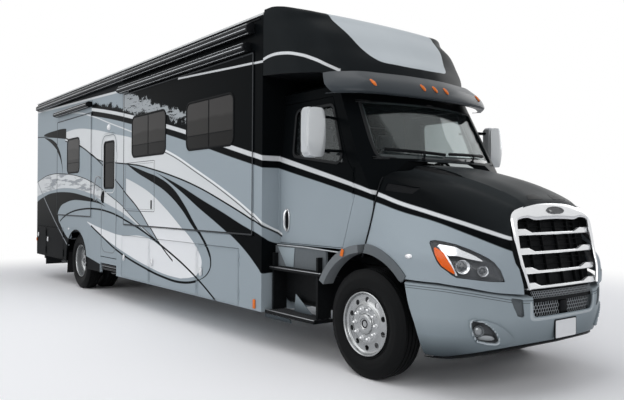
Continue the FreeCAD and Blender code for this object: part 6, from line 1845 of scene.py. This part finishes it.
built("porch_lamp", turned(porch, (-1.6285, -1.2825, 2.875), (0, -1, 0), 24), lens_white, "chassis",
      closed=True,
      crisp=50.0)

# luggage doors: a thin raised frame round each, and bright paddle latches
for name in sorted(n for n in cad if n.startswith("bay_door")):
    low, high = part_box(name)
    line = oblong((low[0] + high[0]) / 2, high[0] - low[0] - 0.028, low[2] + 0.014, high[2] - 0.014, 0.015, 4)
    edge = framed(line, 0.006, 0.0015, beside(BAY_FACE - 0.0005))
    built(name + "_edge", SIDES[name.split("_")[2]](edge), body_paint, name, closed=True, crisp=40.0)
LATCHES = (
    # body, along, up, half width, half height
    ("bay_door_right_1", 1.6315, 0.745, 0.032, 0.05),
    ("bay_door_right_2", 0.1335, 0.745, 0.032, 0.05),
    ("bay_door_right_3", -0.9355, 0.745, 0.032, 0.05),
    ("bay_door_right_4", -5.0785, 0.838, 0.032, 0.05),
    ("bay_door_right_5", -5.7685, 0.909, 0.032, 0.045),
    ("bay_door_left_1", 1.6315, 0.745, 0.032, 0.05),
    ("bay_door_left_2", 0.1335, 0.745, 0.032, 0.05),
    ("bay_door_left_3", -0.9355, 0.745, 0.032, 0.05),
)
for number, (body, x, up, half_wide, half_high) in enumerate(LATCHES):
    line = oblong(x, 2 * half_wide, up - half_high, up + half_high, 0.018, 5)
    plate = strip(BAY_FACE - 0.001, 0.006, *line)
    paddle = strip(BAY_FACE, 0.014,
                   *oblong(x, 1.2 * half_wide, up - half_high * 0.75, up + half_high * 0.35, 0.01, 4))
    latch = SIDES[body.split("_")[2]](gathered(plate, paddle))
    built(f"bay_latch_{number}", latch, plated, body, closed=True, soften=0.002)
cap = turned([(0.0, 0.022), (0.008, 0.022), (0.013, 0.014), (0.014, 0.0005)], (-3.7385, -WALL_FACE, 1.1),
             (0, -1, 0), 18)
built("fuel_cap", cap, plated, "chassis", closed=True, crisp=50.0)
hatch = framed(oblong(-0.3485, 1.12, 1.49, 2.24, 0.03, 5), 0.008, 0.002, beside(SLIDE_FACE - 0.001))
rail_line = framed(oblong(-0.3485, 1.06, 1.52, 2.21, 0.02, 4), 0.004, 0.0015, beside(SLIDE_FACE - 0.001))
built("kitchen_hatch_edge", gathered(hatch, rail_line), seal_dark, "slide_front_right", closed=True,
      crisp=40.0)
hatch_latch = strip(SLIDE_FACE, 0.01, *oblong(0.105, 0.03, 1.53, 1.66, 0.012, 4))
built("kitchen_hatch_latch", hatch_latch, satin_black, "slide_front_right", closed=True, soften=0.002)

# amber side markers low on the box, and a reflector at the tail
SIDE_MARKERS = (
    # along, up, half width, half height
    (2.9015, 0.495, 0.022, 0.052), (-5.9, 0.8, 0.018, 0.035),
)
markers = gathered(*[strip(WALL_FACE + 0.004, 0.012, *oblong(x, 2 * wide, up - high, up + high, 0.012, 4))
                     for x, up, wide, high in SIDE_MARKERS])
built("side_markers", both_sides(markers), marker_amber, "chassis", closed=True, soften=0.002)

# rear wheel arches: an arched panel closes the skirt over the wheels, edged with a black rubber lip
ARCH_REAR = 0.584
sweep = np.radians(np.linspace(-5, 185, 49))
inner_arc = np.stack([REAR_X + ARCH_REAR * np.cos(sweep), AXLE[1] + ARCH_REAR * np.sin(sweep)], 1)
reach = 0.655 / np.maximum(np.abs(np.cos(sweep)), 1e-6)
rise = 0.5835 / np.maximum(np.sin(sweep), 1e-6)
away = np.minimum(reach, np.where(np.sin(sweep) > 0.02, rise, 9.0))
outer_arc = np.stack([REAR_X + away * np.cos(sweep), AXLE[1] + away * np.sin(sweep)], 1)
arch_grid = np.stack([inner_arc * (1 - t) + outer_arc * t for t in (0.0, 0.5, 1.0)])
arch_rows = np.stack([arch_grid[..., 0], np.full(arch_grid.shape[:2], -WALL_FACE - 0.0008),
                      arch_grid[..., 1]], -1)
built("rear_arch_panels", both_sides(facing(of_grid(arch_rows), (0, -1, 0))), body_paint, "chassis",
      wall=0.01)
lip_path = np.stack([REAR_X + (ARCH_REAR - 0.006) * np.cos(sweep), np.full(len(sweep), -WALL_FACE - 0.002),
                     AXLE[1] + (ARCH_REAR - 0.006) * np.sin(sweep)], 1)
arch_lip_rod = rod_along(lip_path, 0.012, 10, 0.6)
built("rear_arch_lips", both_sides(arch_lip_rod), rubber_black, "chassis", closed=True,
      crisp=50.0)

# plate over the folding step's housing under the entry door
plate = ((-2.02, 0.585), (-1.28, 0.585), (-1.28, 0.688), (-2.02, 0.688))
built("step_housing_plate", slab(plate, -0.004, 0.001, beside(WALL_FACE)), body_paint, "chassis", closed=True)

# oval bright cap over the side turn lamp on each wing
share, proud = np.array(((1.0, -0.012), (1.0, 0.006), (0.8, 0.014), (0.35, 0.018))).T[..., None]
lamp_rows = np.stack(np.broadcast_arrays(5.2147 + 0.042 * share * np.cos(circle(24)), -1.202 - proud,
                                         1.1892 + 0.022 * share * np.sin(circle(24))), -1)
oval_lamp = capped(lamp_rows, foot=False)
built("wing_lamps", both_sides(oval_lamp), plated, "bonnet", closed=True, crisp=40.0)

# ---------------------------------------------------------------- awnings and gutters
# Long awning cases of black painted aluminium run under the roof edge, with shorter toppers over the
# slide-out rooms. Each is a folded extrusion with cast end plates and a bright roller bar in its nose.
def case_colour(x, y, z, place):
    """Black with a fine dusty change along it."""
    return laid((0.01, 0.011, 0.012), place.speckle(8.0), (0.019, 0.02, 0.022))


dress(plain_paint("awning_case", case_colour, 0.35, 0.2), "awnings")
CASES = (
    # from, to, foot, head
    (-5.6865, 2.8615, 3.552, 3.672),
    (-1.0685, 2.7815, 3.362, 3.467),
    (-4.4585, -2.4985, 3.307, 3.407),
)
end_forms, trim_forms = [], []
for start, end, foot, head in CASES:
    section = rounded(((1.284, foot + 0.008), (1.328, foot - 0.002), (1.3895, foot + 0.023),
                       (1.3895, head - 0.028),
                       (1.343, head + 0.002), (1.284, head + 0.002)), 0.012, 4)
    for at in (start - 0.004, end - 0.026):
        end_forms.append(slab(section, at, at + 0.03, lambda rows: rows[..., [2, 0, 1]] * (1, -1, 1)))
    for out, up, thick in ((1.3885, foot + 0.05, 0.005), (1.372, head - 0.012, 0.003),
                           (1.352, foot + 0.006, 0.003)):
        line = [(start + 0.03, -out, up), (0.5 * (start + end), -out, up), (end - 0.03, -out, up)]
        trim_forms.append(rod_along(line, thick, 8))
built("awning_ends", both_sides(gathered(*end_forms)), satin_black, "chassis", closed=True, soften=0.003)
built("awning_trims", both_sides(gathered(*trim_forms)), frame_pale, "chassis", closed=True, crisp=50.0)
gutter = rod_along([(-5.9, -1.285, 3.7), (-1.5, -1.285, 3.7), (2.98, -1.285, 3.7)], 0.01, 8)
built("roof_gutters", both_sides(gutter), satin_black, "chassis", closed=True, crisp=50.0)

# ---------------------------------------------------------------- roof
# White rubber membrane over the crowned roof. Two air conditioners sit under moulded covers with louvres
# at their rear, and a hinged vent stands between them.
roof_white = finished("roof_membrane", (0.58, 0.59, 0.59), 0.6, grain=35.0, spread=0.1, bump=0.3)
dress(roof_white, "roof")
cover_white = finished("cover_white", (0.62, 0.63, 0.64), 0.45, grain=30.0, spread=0.06, coat=0.1)
roof_top = float(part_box("roof")[1][2])


def cover(x, wide_x, wide_y, high, lean):
    """A moulded cover: its height is a flat-topped bell, the product of one minus the eighth powers along and
    across to a small power, with the front sloping back by a share of its height."""
    u, v = np.meshgrid(np.linspace(-1, 1, 41), np.linspace(-1, 1, 31), indexing="ij")
    rise = np.clip((1 - u ** 8) * (1 - v ** 8), 0, 1) ** 0.45
    slope = 1 - lean * np.clip(u, 0, 1) ** 2
    ribs = 0.004 * (np.abs(v) < 0.75) * (np.sin(v * 28.0) > 0) * (u > -0.85) * (u < 0.2)
    foot = roof_top - 0.012 - 0.06 * (v * wide_y / 2 / 1.28) ** 2
    up = foot + (high - foot) * rise * slope - ribs * rise
    return facing(of_grid(np.stack([x + u * wide_x / 2, v * wide_y / 2, up], -1)), (0, 0, 1))


units_low, units_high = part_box("roof_units")
COVERS = (
    # along, length, width, top, front's slope
    (units_high[0] - 0.49, 0.96, 0.66, units_high[2] - 0.001, 0.35),
    (units_low[0] + 0.49, 0.96, 0.66, units_high[2] - 0.001, 0.35),
    (-2.0935, 0.42, 0.42, roof_top + 0.12, 0.05),
)
shells = [cover(float(x), long, wide, float(top), lean) for x, long, wide, top, lean in COVERS]
units = built("roof_covers", gathered(*shells), cover_white, "chassis", wall=0.004, crisp=50.0)
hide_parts("roof_units")
grille_forms = []
for x, long, wide, top, lean in COVERS[:2]:
    for step in range(7):
        up = float(top) - 0.05 - 0.022 * step
        across = (-wide / 2 + 0.08, 0.0, wide / 2 - 0.08)
        grille_forms.append(rod_along([(float(x) - long / 2 + 0.006, y, up) for y in across], 0.006, 6, 0.6))
built("roof_cover_louvres", gathered(*grille_forms), satin_black, "chassis", closed=True, crisp=50.0)
pads = [slab(oblong(x, 0.16, y - 0.05, y + 0.05, 0.02, 4), roof_top - 0.02, roof_top + 0.034,
             np.asarray) for x, y in ((-5.2, 0.42), (2.2, -0.38))]
built("roof_pipe_caps", gathered(*pads), cover_white, "chassis", closed=True, soften=0.006)

# ---------------------------------------------------------------- rear of the body
# A moulded end panel with rounded corners carries the lamps, a blank plate in a sunk pocket and the high
# brake lamp. The steel cross bar under it is painted black.
rear_x = float(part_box("rear_wall")[0][0])
REAR_PLAN = (
    # along from the rear face, out; from the side's edge round the corner to the middle
    (0.044, 1.2825), (0.025, 1.279), (0.013, 1.264), (0.009, 1.235), (0.008, 1.16), (0.008, 0.95),
    (0.014, 0.92), (0.016, 0.86), (0.016, 0.4), (0.016, 0.0),
)
REAR_UP = (0.53, 0.56, 0.8, 0.86, 0.9, 1.6, 2.4, 3.2, 3.46, 3.5, 3.7, 3.737)
REAR_BACK = (0.01, 0.0, 0.0, 0.0, 0.006, 0.006, 0.006, 0.006, 0.006, 0.0, 0.0, 0.01)
outs = np.unique(np.concatenate([np.linspace(0, 1.2, 13), [out for back, out in REAR_PLAN]]))
outs = np.concatenate([-outs[::-1], outs[1:]])
ups = np.unique(np.concatenate([np.linspace(0.53, 3.737, 17), REAR_UP]))
plan_back, plan_out = np.array(REAR_PLAN[::-1]).T
corner = np.interp(np.abs(outs), plan_out, plan_back)
sunk = np.interp(ups, REAR_UP, REAR_BACK)[None] * np.clip((1.235 - np.abs(outs)) / 0.08, 0, 1)[:, None]
rear_out, rear_rise = np.meshgrid(outs, ups, indexing="ij")
rear_grid = np.stack([rear_x + 0.0005 + corner[:, None] + sunk, rear_out, rear_rise], -1)
rear_panel = built("rear_panel", facing(of_grid(rear_grid), (-1, 0, 0)), body_paint, "chassis", wall=0.018,
                   crisp=40.0)
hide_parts("rear_wall")


on_rear = ahead_of(rear_x + 0.0085, -1)
red_lens = amber("red_lens", (0.42, 0.01, 0.01))
clear_lens = amber("clear_lens", (0.55, 0.56, 0.57))
REAR_LAMPS = (
    # across, up, half width, half height, lens
    (1.055, 1.72, 0.07, 0.11, red_lens),
    (1.055, 1.48, 0.07, 0.11, marker_amber),
    (1.055, 1.27, 0.07, 0.075, clear_lens),
    (0.0, 3.58, 0.16, 0.022, red_lens),
    (1.055, 0.68, 0.045, 0.03, red_lens),
)
lens_forms, rim_forms = {}, []
for out, up, half_wide, half_high, lens in REAR_LAMPS:
    for side in (-1, 1):
        if out == 0 and side > 0:
            continue
        line = oblong(side * out, 2 * half_wide, up - half_high, up + half_high, min(half_high, 0.03) * 0.9,
                      5)
        lens_forms.setdefault(lens.name, []).append(slab(grown(line, -0.008), -0.002, 0.006, on_rear))
        rim_forms.append(framed(line, 0.014, 0.007, on_rear))
for name, forms in lens_forms.items():
    built("rear_" + name, gathered(*forms), bpy.data.materials[name], "chassis", closed=True, soften=0.002)
built("rear_lamp_rims", gathered(*rim_forms), satin_black, "chassis", closed=True, crisp=45.0)
pocket = oblong(0.0, 0.37, 0.93, 1.13, 0.02, 4)
built("rear_plate_pocket", framed(pocket, 0.02, 0.004, on_rear), satin_black, "chassis", closed=True,
      crisp=45.0)
built("rear_plate_blank", slab(oblong(0.0, 0.32, 0.952, 1.108, 0.012, 4), -0.012, 0.001, on_rear),
      plate_white,
      "chassis", closed=True, soften=0.001)
bumper_black = finished("bumper_black", (0.02, 0.022, 0.024), 0.45, grain=120.0, bump=0.2)
dress(bumper_black, "rear_bumper")

# ---------------------------------------------------------------- chassis
# Pressed steel rails with crossing channels carry the axles, the engine and the floor's outriggers, all
# painted black and dusty from the road. Two rubber flaps hang behind the rear wheels.
def road_dust(x, y, z, place):
    """Chassis black, with grey dust gathering in patches."""
    base = laid((0.012, 0.012, 0.013), place.speckle(90.0, 2.0), (0.024, 0.024, 0.025))
    return laid(base, place.speckle(6.0, 5.0) * 0.25, (0.1, 0.095, 0.088))


dress(plain_paint("chassis_black", road_dust, 0.6, 0.1), "frame_rails", "cross_members", "floor_supports",
      "front_axle", "rear_axle", "knuckle_left", "knuckle_right")
cast_grey = finished("cast_grey", (0.085, 0.088, 0.092), 0.55, metal=0.6, grain=60.0, spread=0.3, bump=0.4)
dress(cast_grey, "engine_block")
floor_lining = finished("floor_lining", (0.03, 0.032, 0.034), 0.65, grain=45.0, spread=0.25, bump=0.3)
dress(floor_lining, "box_floor", "stair_well")


def tread_colour(x, y, z, place):
    """Dark ribbed treads with a bright nosing along the outer edge."""
    ribs = (y * 320.0).maths("SINE").ramp(0.5)
    nose = y.under(-1.262, 0.002) * z.within(0.528, 0.538)
    return laid(laid((0.012, 0.012, 0.013), ribs, (0.03, 0.031, 0.033)), nose, (0.3, 0.31, 0.32))


dress(plain_paint("step_tread", tread_colour, 0.45, 0.4), "entry_step")

flap_forms = []
for near, far in ((0.72, 1.235), (-1.235, -0.72)):
    u, v = np.meshgrid(np.linspace(0, 1, 9), np.linspace(0, 1, 13), indexing="ij")
    back = REAR_X - 0.64 - 0.03 * (1 - v) ** 2 - 0.006 * np.cos(u * 9.0) * (1 - v)
    up = 0.235 + 0.42 * v
    flap_forms.append(facing(of_grid(np.stack([back, near + (far - near) * u, up], -1)), (-1, 0, 0)))
flap_rubber = finished("flap_rubber", (0.014, 0.014, 0.015), 0.7, grain=70.0, bump=0.3, spread=0.3)
built("mud_flaps", gathered(*flap_forms), flap_rubber, "chassis", wall=0.008, crisp=50.0)
clamps = [block((REAR_X - 0.655, near, 0.63), (REAR_X - 0.625, near + 0.515, 0.665))
          for near in (0.72, -1.235)]
built("mud_flap_clamps", gathered(*clamps), satin_black, "chassis", closed=True, soften=0.003)

# ---------------------------------------------------------------- levelling jack feet
# Round steel feet on short rams hang from the rails, drawn up for the road.
JACKS = (2.5115, -2.3, -5.2)
foot_profile = [(0.0, 0.0005), (0.0, 0.105), (0.012, 0.112), (0.022, 0.1), (0.03, 0.05), (0.2, 0.038),
                (0.3, 0.038), (0.3, 0.055), (0.62, 0.055), (0.62, 0.0005)]
jacks = gathered(*[turned(foot_profile, (x, -0.86, 0.345), (0, 0, 1), 28) for x in JACKS])
built("jack_feet", both_sides(jacks), hub_steel, "chassis", closed=True, crisp=50.0)

# ---------------------------------------------------------------- cab inside
# Grained black plastic dashboard with its wheel, and two padded seats in grey cloth on pedestals. Each
# seat is a sewn cushion, a bolstered back and a head rest.
cab_plastic = finished("cab_plastic", (0.012, 0.0125, 0.013), 0.6, grain=260.0, bump=0.5, spread=0.2)
dress(cab_plastic, "dashboard")


def seat_cloth(name, colour, welt):
    """Woven seat cloth: two crossed fine waves as thread, cloudy wear, and sheen at a glance."""
    material, shader, x, y, z, place = fresh(name, Roughness=0.85, Sheen_Weight=0.4)
    warp, weft = [(other + z) * 2600.0 for other in (x, y)]
    thread = (warp.maths("SINE") * weft.maths("SINE")).scaled(0.5, 0.5)
    fed(shader, Base_Color=laid(laid(colour, place.speckle(12.0), welt), thread * 0.35, welt))
    uneven(shader, thread, 0.3, 0.001)
    return material


def tilted(places, tilt, middle):
    """Places turned about the across axis and moved to a middle."""
    along = places[..., 0] * math.cos(tilt) + places[..., 2] * math.sin(tilt)
    up = places[..., 2] * math.cos(tilt) - places[..., 0] * math.sin(tilt)
    return np.stack([along, places[..., 1], up], -1) + np.asarray(middle, float)


def pulled(ball):
    """Directions as the outline of a pad: raised to a small power, so boxy, and pulled in between corners."""
    boxy = np.sign(ball) * np.abs(ball) ** 0.28
    away = np.clip(1 - boxy ** 2, 0, 1)
    return boxy * (1 - 0.06 * away[..., ::-1]), away


def pad(middle, half, tilt, crown):
    """A crowned closed cushion: a ball made boxy with round edges, whose faces bulge by `crown`. It is turned
    by `tilt` about the across axis."""
    around, over = np.meshgrid(circle(72), np.linspace(-1, 1, 37) * math.pi / 2, indexing="ij")
    ball = np.stack([np.cos(over) * np.cos(around), np.cos(over) * np.sin(around), np.sin(over)], -1)
    flat, away = pulled(ball[..., :2])
    high = np.sign(ball[..., 2]) * np.abs(ball[..., 2]) ** 0.28 * (1 + crown * away[..., 0] * away[..., 1])
    local = np.concatenate([flat, high[..., None]], -1) * half
    return of_grid(tilted(local, tilt, middle).transpose(1, 0, 2), ring=True)


cloth_grey = seat_cloth("seat_cloth", (0.034, 0.036, 0.04), (0.062, 0.066, 0.072))
SEAT_FOOT = 1.24
SEAT_OUT = 0.496
pedestals = []
for side in (-1, 1):
    y = side * SEAT_OUT
    pedestals.append(block((3.256, y - 0.165, SEAT_FOOT), (3.636, y + 0.165, SEAT_FOOT + 0.26)))
    pedestals.append(block((3.226, y - 0.2, SEAT_FOOT + 0.26), (3.656, y + 0.2, SEAT_FOOT + 0.295)))
pedestal = built("seat_pedestals", gathered(*pedestals), cab_plastic, "chassis", closed=True, soften=0.012)
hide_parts("cab_seats")
PADS = (
    # name, along, up, half along, half across, half thick, tilt, crown
    ("cushion", 3.452, 1.608, 0.252, 0.238, 0.068, -0.06, 0.25),
    ("back", 3.25, 2.0, 0.32, 0.225, 0.056, -1.43, 0.2),
    ("head_rest", 3.148, 2.405, 0.088, 0.128, 0.042, -1.5, 0.2),
)


def points_of(mesh):
    """A mesh's points as rows."""
    places = np.empty(len(mesh.vertices) * 3)
    mesh.vertices.foreach_get("co", places)
    return places.reshape(-1, 3)


def plumped(piece, most):
    """Fill a pad as its foam does: remesh it evenly, press it outwards as cloth for twenty steps with no
    gravity, then let no point end further than `most` from where it began."""
    even = piece.modifiers.new("even", "REMESH")
    even.mode = "VOXEL"
    even.voxel_size = 0.0085
    bpy.context.view_layer.update()
    seen = piece.evaluated_get(bpy.context.evaluated_depsgraph_get())
    mesh = bpy.data.meshes.new_from_object(seen)
    piece.modifiers.clear()
    piece.data = mesh
    start = points_of(mesh)
    cloth = piece.modifiers.new("fill", "CLOTH")
    cloth.settings.use_pressure = True
    cloth.settings.uniform_pressure_force = 4.0
    cloth.settings.effector_weights.gravity = 0.0
    cloth.settings.quality = 4
    cloth.point_cache.frame_end = 20
    for step in range(1, 21):
        scene.frame_set(step)
    seen = piece.evaluated_get(bpy.context.evaluated_depsgraph_get())
    moved = points_of(seen.data) - start
    piece.modifiers.clear()
    scene.frame_set(1)
    length = np.maximum(np.linalg.norm(moved, axis=1), 1e-9)[:, None]
    mesh.vertices.foreach_set("co", (start + moved * np.minimum(1, most / length)).ravel())
    mesh.update()
    mesh.shade_smooth()


def welt_line(middle, half, tilt, level):
    """The sewn edge of a pad: the pad's own outline at one height of its side."""
    around = np.linspace(0, 2 * math.pi, 97)
    flat = pulled(np.stack([np.cos(around), np.sin(around)], -1))[0] * 0.985
    local = np.concatenate([flat, np.full((len(flat), 1), level)], -1) * half
    return tilted(local, tilt, middle)


welts = []
for name, along, up, half_x, half_y, half_z, tilt, crown in PADS:
    half = np.array((half_x, half_y, half_z))
    first = built(f"seat_{name}_left", pad((along, SEAT_OUT, up), half, tilt, crown), cloth_grey, "chassis",
                  closed=True, crisp=180.0)
    plumped(first, 0.01)
    second = first.copy()
    second.data = first.data.copy()
    second.name = f"seat_{name}_right"
    scene.collection.objects.link(second)
    second.data.vertices.foreach_set("co", (points_of(second.data) - (0, 2 * SEAT_OUT, 0)).ravel())
    second.data.update()
    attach(second, "chassis")
    for piece, y in ((first, SEAT_OUT), (second, -SEAT_OUT)):
        places = points_of(piece.data)
        for level in (-0.55, 0.55):
            line = welt_line((along, y, up), half, tilt, level)
            nearest = ((line[:, None] - places[None]) ** 2).sum(-1).argmin(1)
            once = nearest[np.sort(np.unique(nearest, return_index=True)[1])]
            welts.append(rod_along(places[np.append(once, once[0])], 0.0035, 6))
welt_dark = finished("seat_welt", (0.03, 0.031, 0.034), 0.7, grain=300.0, bump=0.3)
built("seat_welts", gathered(*welts), welt_dark, "chassis", closed=True, crisp=60.0)

size = {"cad": [list(map(float, corner)) for corner in cad_bounds],
        "seen": [list(map(float, corner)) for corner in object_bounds()]}
